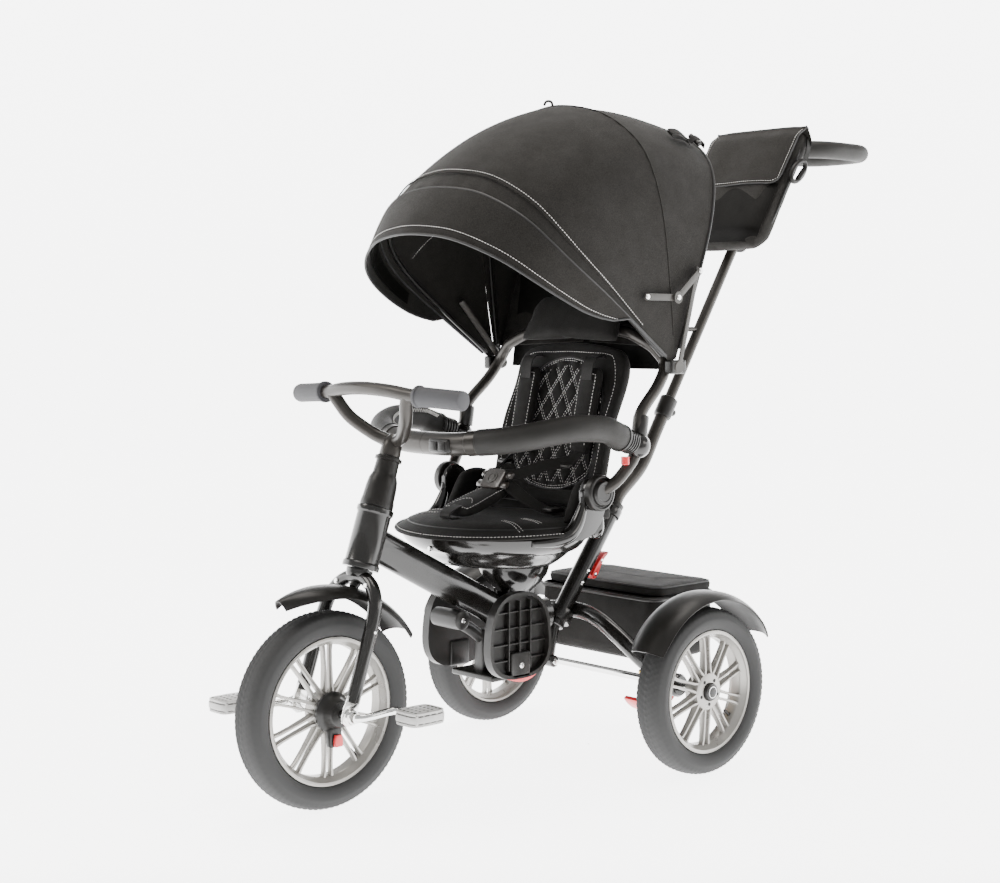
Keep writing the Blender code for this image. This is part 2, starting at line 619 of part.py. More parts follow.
def seat(bodies, looks):
    """Seat pan with its hinge cheeks, cushion, crotch pad with buckle and the swivel's lock pin."""
    turn_z = SWIVEL_TOP_Z + FIT_GAP
    disc = [(turn_z, 0.0), (turn_z, 0.058), (turn_z + 0.012, 0.060), (turn_z + 0.012, 0.0)]
    plate = turned("turntable", disc, (0, SWIVEL_Y, 0), (0, 0, 1), 24)
    foot = SWIVEL_TOP_Z + 0.008
    levels = [(foot, 0.61), (foot + 0.016, 0.76), (PAN_TOP_Z - 0.016, 0.89), (PAN_TOP_Z - 0.008, 0.94)]
    rings = [seat_ring(z, scale) for z, scale in levels + [(PAN_TOP_Z, 0.97)]]
    pieces = [loft("seat_pan", rings), plate]
    for side in (1, -1):
        outer = CHEEK_X * side
        face = [(outer, HINGE.y + y, z) for y, z in ((-0.026, PAN_TOP_Z - 0.012), (0.026, PAN_TOP_Z - 0.012))]
        face += [(outer, HINGE.y + y, z) for y, z in ((0.022, HINGE.z), (-0.022, HINGE.z))]
        pieces.append(prism("cheek", face, (CHEEK_THICKNESS * side, 0, 0)))
        end = outer + CHEEK_THICKNESS * side
        across = sorted((outer - 0.032 * side, end))
        low = (across[0], HINGE.y - 0.026, PAN_TOP_Z - 0.013)
        pieces.append(block("cheek_foot", low, (across[1], HINGE.y + 0.026, PAN_TOP_Z - 0.002)))
        pieces.append(rod("cheek_disc", (outer, *HINGE.yz), (end, *HINGE.yz), DISC_R - 0.002, 24))
    place(join_all(pieces), bodies["seat"], looks["gloss"])
    base = PAN_TOP_Z + FIT_GAP
    side_inset = SEAT_HALF_WIDTH - CHEEK_X + 0.004
    rings = [seat_ring(base, 1.0, side_inset), seat_ring(base + 0.008, 1.0, side_inset - 0.0015)]
    rings += [seat_ring(base + CUSHION_THICKNESS - 0.006, 1.0, side_inset - 0.001)]
    rings += [seat_ring(base + CUSHION_THICKNESS, 1.0, side_inset + 0.007)]
    place(loft("seat_cushion", rings), bodies["seat"], looks["fabric"])
    top = base + CUSHION_THICKNESS + FIT_GAP
    face = [(-0.034, y, z) for y, z in ((-0.292, top), (-0.196, top), (-0.192, top + 0.030), (-0.206, top + 0.036))]
    face += [(-0.034, y, z) for y, z in ((-0.230, top + 0.020), (-0.288, top + 0.008))]
    place(prism("crotch_pad", face, (0.068, 0, 0)), bodies["seat"], looks["fabric"])
    start = Vector((0.0, SWIVEL_PIN_Y, SWIVEL_PIN_Z))
    pin = [(0.0, 0.0), (0.0, 0.0026), (0.003, 0.0026), (0.003, 0.0038), (0.006, 0.0038), (0.006, 0.0)]
    place(turned("swivel_pin", pin, start, (0, -1, 0), 12), bodies["swivel_pin"], looks["steel"])


def backrest(bodies, looks):
    """Backrest frame with recline discs, guard balls and canopy brackets, its pad and two harness pads."""
    disc_x = CHEEK_X + CHEEK_THICKNESS + TURN_GAP
    pieces = []
    half = [(disc_x + 0.007, HINGE.y + 0.001, HINGE.z + 0.001), (0.186, -0.1260, 0.4560)]
    half += [(GUARD_JOINT.x - 0.003, GUARD_JOINT.y - 0.004, GUARD_JOINT.z - 0.016)]
    half += [(GUARD_JOINT.x - 0.003, GUARD_JOINT.y + 0.006, GUARD_JOINT.z + 0.046)]
    half += [(0.184, CANOPY_AXIS.y - 0.004, CANOPY_AXIS.z - 0.004), (0.150, -0.0300, 0.6500)]
    half += [(0.095, -0.0250, 0.6720)]
    route = mirrored(half, 1) + [Vector((0.0, -0.0240, 0.6760))] + mirrored(list(reversed(half)), -1)
    pieces.append(bent_tube("backrest_frame", route, BACK_TUBE_R, steps=2))
    for side in (1, -1):
        disc = [(0.0, 0.0), (0.0, DISC_R), (DISC_THICKNESS, DISC_R), (DISC_THICKNESS, 0.018)]
        disc += [(DISC_THICKNESS + 0.005, 0.016), (DISC_THICKNESS + 0.005, 0.0)]
        pieces.append(turned("disc", disc, (disc_x * side, *HINGE.yz), (side, 0, 0), 20))
        joint = mirrored([GUARD_JOINT], side)[0]
        steps = 6
        ball = [
            (-GUARD_BALL_R * math.cos(math.pi * step / steps), GUARD_BALL_R * math.sin(math.pi * step / steps))
            for step in range(steps + 1)
        ]
        pieces.append(turned("ball", ball, joint, (0, 0, 1), 14))
        stud_from = (0.178 * side, *CANOPY_AXIS.yz)
        stud_to = ((CANOPY_HALF_WIDTH + 0.0045) * side, *CANOPY_AXIS.yz)
        pieces.append(rod("hood_stud", stud_from, stud_to, 0.008, 14))
        angle, reach = LINK_REAR
        inner = (CANOPY_HALF_WIDTH + 0.0014) * side
        tangent = Vector((0, math.cos(angle), math.sin(angle))) * 0.004
        radial = Vector((0, -math.sin(angle), math.cos(angle)))
        foot = Vector((inner, *CANOPY_AXIS.yz))
        head = foot + radial * (reach + 0.006)
        strip = [foot - tangent, foot + tangent, head + tangent, head - tangent]
        pieces.append(prism("bracket", strip, (0.003 * side, 0, 0)))
    place(join_all(pieces), bodies["backrest"], looks["gunmetal"])
    lean = (PAD_TOP - PAD_FOOT).normalized()
    back = Vector((0.0, lean.z, -lean.y))
    rings = []
    levels = ((0.0, 0.90, 0.005), (0.06, 0.97, 0.0), (0.75, 1.0, 0.0), (0.94, 0.80, 0.0), (1.0, 0.62, 0.006))
    corners = ((-1.0, 0.35), (-0.9, 0.0), (0.9, 0.0), (1.0, 0.35), (1.0, 0.75), (0.9, 1.0), (-0.9, 1.0), (-1.0, 0.75))
    for share, width, inset in levels:
        middle = PAD_FOOT.lerp(PAD_TOP, share)
        reach = PAD_HALF_WIDTH * width
        ring = []
        for x, depth in corners:
            thick = inset + depth * (PAD_THICKNESS - 2 * inset)
            ring.append(middle + Vector((x * reach, 0, 0)) + back * thick)
        rings.append(ring)
    place(loft("backrest_pad", rings), bodies["backrest"], looks["fabric"])
    for side in (1, -1):
        low = PAD_FOOT.lerp(PAD_TOP, 0.28) - back * 0.022
        high = PAD_FOOT.lerp(PAD_TOP, 0.84) - back * 0.022
        outline = []
        for point, reach in ((low, 0.019), (low.lerp(high, 0.9), 0.022), (high, 0.016)):
            outline.append(point + Vector((0.068 * side + reach, 0, 0)))
        for point, reach in ((high, 0.016), (low.lerp(high, 0.9), 0.022), (low, 0.019)):
            outline.append(point + Vector((0.068 * side - reach, 0, 0)))
        pad = prism(side_name("shoulder_pad", side), outline, back * 0.019)
        place(pad, bodies["backrest"], looks["fabric"])


def guard(bodies, looks):
    """Each half of the guard rail: foam arm with its ribbed collar, front tube and release button."""
    foam_route = [(0.203, -0.1420, 0.5150), (0.207, -0.1800, 0.5290), (0.2005, -0.2325, 0.5330)]
    foam_route += [(0.165, -0.2925, 0.5220), (0.100, -0.3275, 0.5120)]
    foam_end = smooth_path(foam_route, 2)
    onward = (foam_end[-1] - foam_end[-2]).normalized()
    tube_from = foam_end[-1] + onward * FIT_GAP * 2.0
    tube_route = [tube_from, tube_from + onward * 0.010, (0.066, -0.3365, 0.5087), (0.040, -0.3384, 0.5075)]
    tube_route += [(0.018, -0.3388, 0.5070), (FIT_GAP, -0.3388, 0.5070)]
    for side in (1, -1):
        body = bodies[side_name("guard", side)]
        foam = bent_tube(side_name("guard_foam", side), mirrored(foam_route, side), GUARD_R, steps=2, roundness=3)
        joint = mirrored([GUARD_JOINT], side)[0]
        first = mirrored(foam_route, side)[0]
        away = (first - joint).normalized()
        reach = (first - joint).length
        near = GUARD_BALL_R + TURN_GAP
        ribs = [(near, 0.0), (near, 0.0165), (near + 0.004, 0.0185), (near + 0.010, 0.0165), (near + 0.016, 0.0185)]
        ribs += [(reach + 0.004, 0.0165), (reach + 0.004, 0.0)]
        collar = turned("collar", ribs, joint, away, 16)
        place(combine(foam, collar), body, looks["foam"])
        tube = bent_tube(side_name("guard_tube", side), mirrored(tube_route, side), GUARD_TUBE_R, steps=1, roundness=3)
        place(tube, body, looks["gunmetal"])
        under = joint + Vector((0.0, -GUARD_BUTTON_AHEAD, -GUARD_BUTTON_DROP))
        button = rod(side_name("guard_button", side), under - Vector((0, 0, 0.012)), under, 0.0062, 12)
        place(button, bodies[side_name("guard_button", side)], looks["red"])


def canopy_profile(offset):
    """Half of the hoop as (x, radius) pairs, moved in from the outer skin by offset."""
    wide = CANOPY_HALF_WIDTH
    outer = [(wide - 0.005, HUB_CLEARANCE), (wide, 0.120), (wide, 0.205), (wide - 0.006, 0.262)]
    outer += [(wide - 0.020, 0.310), (wide - 0.044, 0.345), (0.120, 0.376), (0.070, 0.396), (0.0, CANOPY_R)]
    moved = []
    for index, (x, radius) in enumerate(outer):
        before = Vector(outer[max(index - 1, 0)])
        after = Vector(outer[min(index + 1, len(outer) - 1)])
        along = (after - before).normalized()
        inward = Vector((-along.y, along.x)) if index < len(outer) - 1 else Vector((0.0, -1.0))
        if index == 0:
            inward = Vector((-1.0, 0.0))
        moved.append((x + inward.x * offset, radius + inward.y * offset))
    return moved


def hoop_points(offset, angle, full=True):
    """World points of one hoop, from the left side over the top to the right."""
    half = canopy_profile(offset)
    profile = half + [(-x, radius) for x, radius in reversed(half[:-1])]
    radial = Vector((0.0, -math.sin(angle), math.cos(angle)))
    return [CANOPY_AXIS + Vector((x, 0, 0)) + radial * radius for x, radius in profile]


def shell(name, offset, start, end, steps):
    """A curved fabric panel of even thickness between two hoop angles."""
    rings = []
    for step in range(steps + 1):
        angle = start + (end - start) * step / steps
        outside = hoop_points(offset, angle)
        inside = hoop_points(offset + CANOPY_WALL, angle)
        rings.append(outside + list(reversed(inside)))
    return loft_strip(name, rings)


def loft_strip(name, rings):
    """A loft whose end caps are strips of four-sided faces, for thin curved sections."""
    shape = bmesh.new()
    rows = [[shape.verts.new(point) for point in ring] for ring in rings]
    count = len(rows[0])
    for lower, upper in zip(rows, rows[1:]):
        for index in range(count):
            following = (index + 1) % count
            shape.faces.new((lower[index], lower[following], upper[following], upper[index]))
    for row in (rows[0], rows[-1]):
        for index in range(count // 2 - 1):
            shape.faces.new((row[index], row[index + 1], row[count - 2 - index], row[count - 1 - index]))
    return from_bmesh(name, shape)


def canopy(bodies, looks):
    """Flat back panel, two nested roof panels, a visor outside them and the stretcher links."""
    layer = CANOPY_WALL + SHELL_GAP
    back_offset = 2 * layer + SHELL_GAP
    outline = hoop_points(back_offset, REAR_HOOP)
    normal = Vector((0.0, math.cos(REAR_HOOP), math.sin(REAR_HOOP)))
    place(prism("canopy_back", outline, normal * -0.003), bodies["backrest"], looks["fabric"])
    rear = shell("canopy_rear", layer, REAR_HOOP, RIDGE_HOOP - 0.004, 4)
    place(rear, bodies["canopy_ridge"], looks["fabric"])
    front = shell("canopy_front", 0.0, RIDGE_HOOP, FRONT_HOOP, 5)
    angle, reach = LINK_FRONT
    for side in (1, -1):
        centre = CANOPY_AXIS + Vector((0, -math.sin(angle), math.cos(angle))) * reach
        inner = Vector(((CANOPY_HALF_WIDTH - 0.0015) * side, centre.y, centre.z))
        outer = Vector(((CANOPY_HALF_WIDTH + 0.0046) * side, centre.y, centre.z))
        combine(front, rod("stud", inner, outer, 0.004, 12))
    place(front, bodies["canopy_front"], looks["fabric"])
    visor_start = FRONT_HOOP + math.radians(0.6)
    visor = shell("canopy_visor", -CANOPY_WALL - SHELL_GAP, visor_start, VISOR_EDGE, 3)
    cut = rod("cut", (-0.3, *CANOPY_AXIS.yz), (0.3, *CANOPY_AXIS.yz), 0.135, 24)
    place(combine(visor, cut, "DIFFERENCE"), bodies["canopy_visor"], looks["fabric"])
    for side in (1, -1):
        links(bodies, looks, side)


def on_canopy(angle, reach):
    """A point in the canopy's side plane from its hoop angle and radius."""
    return CANOPY_AXIS + Vector((0, -math.sin(angle), math.cos(angle))) * reach


def link_knee():
    """Where the two equal links meet: below the line between their far ends."""
    front = on_canopy(*LINK_FRONT)
    rear = on_canopy(*LINK_REAR)
    span = rear - front
    rise = math.sqrt(LINK_LENGTH**2 - (span.length / 2.0) ** 2)
    down = Vector((0.0, span.z, -span.y)).normalized()
    return (front + rear) / 2.0 + down * rise


def link_plate(name, start, end, x_from, x_to):
    """A flat bar with rounded ends between two pivots."""
    along = (end - start).normalized()
    across = Vector((0.0, -along.z, along.y))
    outline = []
    for centre, turn in ((end, 0.0), (start, math.pi)):
        for step in range(5):
            angle = turn - math.pi / 2.0 + math.pi * step / 4.0
            edge = along * math.cos(angle) + across * math.sin(angle)
            point = centre + edge * LINK_HALF_WIDTH
            outline.append(Vector((x_from, point.y, point.z)))
    return prism(name, outline, (x_to - x_from, 0, 0))


def links(bodies, looks, side):
    """The two stretcher links on one side, just outside the fabric."""
    knee = link_knee()
    inner = CANOPY_HALF_WIDTH + 0.0046 + TURN_GAP
    outer = inner + LINK_THICKNESS + TURN_GAP
    rear_end = on_canopy(*LINK_REAR)
    front_end = on_canopy(*LINK_FRONT)
    for name, start, end, level in (("link_rear", rear_end, knee, outer), ("link_front", knee, front_end, inner)):
        full = side_name(name, side)
        plate = link_plate(full, start, end, level * side, (level + LINK_THICKNESS) * side)
        place(plate, bodies[full], looks["grey_dark"])


def push_bar(bodies, looks):
    """Lower bar that turns in the socket, sliding upper bar, handle loop, bag and the two controls."""
    foot = SOCKET_FOOT + SOCKET_DIRECTION * 0.022
    leaving = SOCKET_TOP + SOCKET_DIRECTION * 0.012
    outside = [foot.lerp(leaving, step / 5.0) for step in range(6)]
    outside += [leaving.lerp(LOWER_BAR_FROM, 0.5) + Vector((0.0, -0.0010, 0.0010))]
    outside += [LOWER_BAR_FROM.lerp(LOWER_BAR_TO, step / 3.0) for step in range(4)]
    lower = bent_tube("push_bar_lower", outside, BAR_R, steps=2)
    bore_from = LOWER_BAR_TO - UPPER_DIRECTION * (INSERTED + 0.064)
    collar_from = LOWER_BAR_TO - UPPER_DIRECTION * 0.030
    combine(lower, rod("collar", collar_from, LOWER_BAR_TO + UPPER_DIRECTION * 0.002, BAR_R + 0.004, 16))
    bore_to = LOWER_BAR_TO + UPPER_DIRECTION * 0.01
    combine(lower, rod("bore", bore_from, bore_to, UPPER_BAR_R + FIT_GAP, 16), "DIFFERENCE")
    place(lower, bodies["push_lower"], looks["gunmetal"])
    start = LOWER_BAR_TO - UPPER_DIRECTION * INSERTED
    end = start + UPPER_DIRECTION * ((UPPER_BAR_TO.z - start.z) / UPPER_DIRECTION.z)
    upper = rod("push_bar_upper", start, end, UPPER_BAR_R, 16)
    stub_from = start + UPPER_DIRECTION * ((0.672 - start.z) / UPPER_DIRECTION.z)
    combine(upper, rod("stub", stub_from, stub_from - Vector((0, 0.036, 0)), 0.004, 10))
    place(upper, bodies["push_upper"], looks["gunmetal"])
    handle_loop(bodies, looks, end)
    side = Vector((0.0, -UPPER_DIRECTION.z, UPPER_DIRECTION.y))
    bag_front = end - UPPER_DIRECTION * (BAG_HEIGHT - 0.014) + side * (UPPER_BAR_R + 0.002 + BAG_THICKNESS)
    rings = []
    for share, width, thin in ((0.0, 0.80, 0.010), (0.07, 0.97, 0.0), (0.9, 1.0, 0.0), (1.0, 0.92, 0.012)):
        middle = bag_front + UPPER_DIRECTION * (BAG_HEIGHT * share)
        half = BAG_HALF_WIDTH * width
        ring = []
        for x, depth in ((-half, 0.25), (-half * 0.85, 0.0), (half * 0.85, 0.0), (half, 0.25), (half, 1.0), (-half, 1.0)):
            thick = thin + depth * (BAG_THICKNESS - thin)
            ring.append(middle + Vector((x, 0, 0)) - side * thick)
        rings.append(ring)
    place(loft("bag", rings), bodies["push_upper"], looks["fabric"])
    button_at = LOWER_BAR_TO - UPPER_DIRECTION * 0.014
    button_start = button_at - side * (BAR_R + 0.004 + FIT_GAP + 0.0025)
    button = rod("collar_button", button_start, button_start - side * 0.005, 0.006, 12)
    place(button, bodies["collar_button"], looks["plastic"])
    lever(bodies, looks)


def handle_loop(bodies, looks, top):
    """The foam-covered loop behind the top of the push bar, with the hub that holds it."""
    wide = HANDLE_HALF_WIDTH
    far = HANDLE_REACH_Y
    half = [(0.018, HANDLE_FROM_Y), (0.046, HANDLE_FROM_Y + 0.018), (wide, HANDLE_FROM_Y + 0.070)]
    half += [(wide, far - 0.042), (wide - 0.020, far - 0.010), (0.0, far)]
    route = [Vector((x, y, HANDLE_Z)) for x, y in half]
    route += [Vector((-x, y, HANDLE_Z)) for x, y in reversed(half[:-1])]
    loop = bent_tube("handle", route, HANDLE_R, steps=2)
    hub = block("hub", (-0.024, top.y + 0.012, HANDLE_Z - 0.014), (0.024, HANDLE_FROM_Y + 0.006, HANDLE_Z + 0.013))
    cut_to = top + UPPER_DIRECTION * 0.05
    socket = rod("cut", top - UPPER_DIRECTION * 0.05, cut_to, UPPER_BAR_R + FIT_GAP, 16)
    combine(loop, hub)
    place(combine(loop, socket, "DIFFERENCE"), bodies["push_upper"], looks["foam"])


def lever(bodies, looks):
    """Red quick-release lever behind the socket."""
    out = Vector((0.0, SOCKET_DIRECTION.z, -SOCKET_DIRECTION.y))
    pivot = lever_pivot()
    outline = []
    blade = ((-0.006, -0.004), (0.004, -0.0045), (0.034, -0.002), (0.040, 0.005), (0.030, 0.004), (-0.004, 0.006))
    for along, away in blade:
        point = pivot + SOCKET_DIRECTION * along + out * away
        outline.append(Vector((-0.009, point.y, point.z)))
    place(prism("release_lever", outline, (0.018, 0, 0)), bodies["release_lever"], looks["red"])


def lever_pivot():
    """The lever's pivot, just clear of the socket tube's back."""
    out = Vector((0.0, SOCKET_DIRECTION.z, -SOCKET_DIRECTION.y))
    along = SOCKET_FOOT.lerp(SOCKET_TOP, 0.52)
    return along + out * (SOCKET_R + 0.0075)


def basket(bodies, looks):
    """Open fabric basket behind the socket, with its own lid."""
    low = (-BASKET_X, BASKET_FROM_Y, BASKET_FLOOR_Z)
    high = (BASKET_X, BASKET_TO_Y, BASKET_TOP_Z)
    tub = block("basket", low, high)
    wall = BASKET_WALL
    inside = block(
        "inside",
        (-BASKET_X + wall, BASKET_FROM_Y + wall, BASKET_FLOOR_Z + wall),
        (BASKET_X - wall, BASKET_TO_Y - wall, BASKET_TOP_Z + 0.01),
    )
    place(combine(tub, inside, "DIFFERENCE"), bodies["frame"], looks["fabric"])
    base = BASKET_TOP_Z + FIT_GAP
    cover = block("basket_lid", (-BASKET_X, LID_FROM_Y, base), (BASKET_X, BASKET_TO_Y, base + LID_HEIGHT))
    place(cover, bodies["basket_lid"], looks["fabric"])


def footrests(bodies, looks):
    """Bracket under the main tube and two footrests folded up beside it."""
    plate_top = FOOT_HINGE.z - 0.002
    half = FOOT_HINGE.x - 0.008
    plate = block("footrest_bracket", (-half, -0.256, plate_top - 0.010), (half, -0.192, plate_top))
    post = block("post", (-0.011, -0.242, plate_top - 0.002), (0.011, -0.210, 0.2160))
    knob = rod("knob", (-0.030, -0.298, 0.2420), (0.030, -0.298, 0.2420), 0.015, 18)
    arm = rod("arm", (0.0, -0.298, 0.2400), (0.0, -0.226, 0.2000), 0.009, 12)
    place(join_all([plate, post, knob, arm]), bodies["frame"], looks["plastic"])
    for side in (1, -1):
        outline = []
        for corner in range(20):
            angle = 2.0 * math.pi * corner / 20
            y = math.copysign(abs(math.cos(angle)) ** 0.8, math.cos(angle)) * FOOT_LENGTH / 2.0
            z = math.copysign(abs(math.sin(angle)) ** 0.8, math.sin(angle)) * FOOT_HEIGHT / 2.0
            x = (FOOT_HINGE.x + 0.007) * side
            outline.append(Vector((x, FOOT_HINGE.y + y, FOOT_HINGE.z + FOOT_HEIGHT / 2.0 - 0.004 + z)))
        pad = prism(side_name("footrest", side), outline, (FOOT_THICKNESS * side, 0, 0))
        place(pad, bodies[side_name("footrest", side)], looks["plastic"])


def brakes(bodies, looks):
    """Red foot brakes: an arched pedal under each beam end, hung from its pin."""
    for side in (1, -1):
        centre = Vector((0.137 * side, BRAKE_PIVOT.y, BRAKE_PIVOT.z))
        outline = []
        for reach in (BRAKE_R, BRAKE_R - 0.006):
            angles = [math.radians(215 + 110 * step / 8) for step in range(9)]
            for angle in angles if reach == BRAKE_R else reversed(angles):
                outline.append(centre + Vector((0, math.cos(angle), math.sin(angle))) * reach)
        pedal = prism(side_name("brake", side), outline, (0.026 * side, 0, 0))
        slant = math.radians(240)
        arm_end = centre + Vector((0.010 * side, math.cos(slant) * 0.055, math.sin(slant) * 0.055))
        arm = rod("arm", centre + Vector((0.010 * side, 0, 0)), arm_end, 0.0045, 10)
        boss = rod("boss", centre + Vector((0.001 * side, 0, 0)), centre + Vector((0.022 * side, 0, 0)), 0.009, 14)
        join_all([pedal, arm, boss])
        hole = rod("hole", (0.10 * side, *centre.yz), (0.20 * side, *centre.yz), 0.004 + TURN_GAP, 12)
        place(combine(pedal, hole, "DIFFERENCE"), bodies[side_name("brake", side)], looks["red"])


def make_bodies():
    """Every moving body's empty, from the frame outwards."""
    bodies = {"frame": make_body("body_frame", (0, 0, 0))}
    front_axle = Vector((0.0, -WHEELBASE, FRONT_TYRE_R))

    def add(name, parent, location):
        bodies[name] = make_body(f"body_{name}", location, bodies[parent])

    add("fork", "frame", front_axle)
    add("front_wheel", "fork", front_axle)
    add("clutch_tab", "front_wheel", front_axle)
    add("crank", "fork", front_axle)
    add("seat", "frame", (0.0, SWIVEL_Y, 0.0))
    add("swivel_pin", "seat", (0.0, SWIVEL_PIN_Y, SWIVEL_PIN_Z))
    add("backrest", "seat", HINGE)
    add("canopy_ridge", "backrest", CANOPY_AXIS)
    add("canopy_front", "backrest", CANOPY_AXIS)
    add("canopy_visor", "canopy_front", CANOPY_AXIS)
    add("push_lower", "frame", SOCKET_FOOT)
    add("push_upper", "push_lower", LOWER_BAR_TO)
    add("collar_button", "push_lower", LOWER_BAR_TO)
    add("release_lever", "frame", lever_pivot())
    add("basket_lid", "frame", (0.0, BASKET_TO_Y, BASKET_TOP_Z))
    for side in (1, -1):
        throw = Vector((0.0, CRANK_THROW, CRANK_LIFT)) * side
        add(side_name("pedal", side), "crank", front_axle + throw)
        add(side_name("rear_wheel", side), "frame", (HALF_TRACK * side, 0.0, REAR_TYRE_R))
        joint = mirrored([GUARD_JOINT], side)[0]
        add(side_name("guard", side), "backrest", joint)
        add(side_name("guard_button", side), side_name("guard", side), joint)
        add(side_name("link_rear", side), "backrest", on_canopy(*LINK_REAR))
        add(side_name("link_front", side), side_name("link_rear", side), link_knee())
        hinge = mirrored([FOOT_HINGE], side)[0]
        add(side_name("footrest", side), "frame", hinge)
        add(side_name("brake", side), "frame", mirrored([BRAKE_PIVOT], side)[0])
    return bodies


def make_looks():
    """The materials, by what they are."""
    return {
        "gloss": make_material("gloss_black", (0.012, 0.012, 0.013), 0.18),
        "satin": make_material("satin_black", (0.020, 0.020, 0.021), 0.42),
        "plastic": make_material("black_plastic", (0.015, 0.015, 0.016), 0.35),
        "gunmetal": make_material("gunmetal", (0.055, 0.055, 0.058), 0.35, 0.8),
        "steel": make_material("steel", (0.70, 0.70, 0.69), 0.22, 1.0),
        "alloy": make_material("silver_alloy", (0.62, 0.62, 0.61), 0.32, 0.9),
        "rubber": make_material("rubber", (0.018, 0.018, 0.018), 0.75),
        "grip": make_material("grip_rubber", (0.045, 0.045, 0.046), 0.70),
        "foam": make_material("foam", (0.022, 0.022, 0.022), 0.60),
        "fabric": make_material("fabric", (0.028, 0.027, 0.026), 0.90),
        "grey": make_material("pale_grey_plastic", (0.52, 0.52, 0.53), 0.45),
        "grey_dark": make_material("dark_grey_plastic", (0.070, 0.070, 0.070), 0.50),
        "red": make_material("red_plastic", (0.55, 0.020, 0.025), 0.35),
    }


def main():
    """Builds the trike from the wheels up."""
    clear_scene()
    bodies = make_bodies()
    looks = make_looks()
    front_wheel(bodies, looks)
    crank(bodies, looks)
    fork(bodies, looks)
    handlebar(bodies, looks)
    main_frame(bodies, looks)
    rear_frame(bodies, looks)
    rear_wheels(bodies, looks)
    seat(bodies, looks)
    backrest(bodies, looks)
    guard(bodies, looks)
    canopy(bodies, looks)
    push_bar(bodies, looks)
    basket(bodies, looks)
    footrests(bodies, looks)
    brakes(bodies, looks)


main()
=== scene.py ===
"""Finished looks of a children's tricycle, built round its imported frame.

Each sub-assembly is a class that holds its sizes and makes, dresses and hangs its own pieces.
Front is -Y, the rider's left is +X and up is +Z; lengths are in metres.
"""

import logging
import math
from collections.abc import Callable, Iterable, Sequence
from dataclasses import dataclass, field
from enum import Enum

import bmesh
import bpy
from mathutils import Matrix, Vector
from mathutils.bvhtree import BVHTree


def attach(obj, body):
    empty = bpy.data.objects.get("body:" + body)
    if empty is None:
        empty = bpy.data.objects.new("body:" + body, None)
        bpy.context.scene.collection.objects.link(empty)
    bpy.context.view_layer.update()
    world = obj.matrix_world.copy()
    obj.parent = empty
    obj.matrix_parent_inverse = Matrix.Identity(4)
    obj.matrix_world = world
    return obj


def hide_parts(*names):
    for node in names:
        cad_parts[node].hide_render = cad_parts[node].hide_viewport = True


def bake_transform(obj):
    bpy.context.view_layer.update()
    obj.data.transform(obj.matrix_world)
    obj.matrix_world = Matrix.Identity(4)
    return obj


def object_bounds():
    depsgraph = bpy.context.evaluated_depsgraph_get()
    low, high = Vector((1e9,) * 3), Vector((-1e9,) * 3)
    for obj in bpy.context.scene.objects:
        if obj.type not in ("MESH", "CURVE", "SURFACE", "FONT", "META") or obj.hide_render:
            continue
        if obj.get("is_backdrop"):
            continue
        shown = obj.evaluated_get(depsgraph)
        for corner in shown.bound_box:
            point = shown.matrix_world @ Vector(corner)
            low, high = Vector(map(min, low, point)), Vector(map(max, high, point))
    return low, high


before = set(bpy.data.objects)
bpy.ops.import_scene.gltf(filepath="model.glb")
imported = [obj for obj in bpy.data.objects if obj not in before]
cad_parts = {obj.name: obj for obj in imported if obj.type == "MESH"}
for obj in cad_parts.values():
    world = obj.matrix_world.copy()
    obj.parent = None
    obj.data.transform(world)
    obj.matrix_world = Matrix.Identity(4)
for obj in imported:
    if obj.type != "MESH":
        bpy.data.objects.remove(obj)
CAD_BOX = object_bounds()

log = logging.getLogger("trike")
Point = Sequence[float]
Colour = tuple[float, float, float]
SIDES = (("left", 1), ("right", -1))
TAU = 2.0 * math.pi
HEAD_TILT = math.radians(19.0)
WHEELBASE = 0.534
FRONT_AXLE = Vector((0.0, -WHEELBASE, 0.1404))
STEER_AXIS = Vector((0.0, math.sin(HEAD_TILT), math.cos(HEAD_TILT)))
SMOOTH_ANGLE = math.radians(38.0)


class Grain(Enum):
    """What the fine surface of a finish is made of."""

    SMOOTH = "smooth"
    MOULDED = "moulded"
    WOVEN = "woven"
    BRUSHED = "brushed"


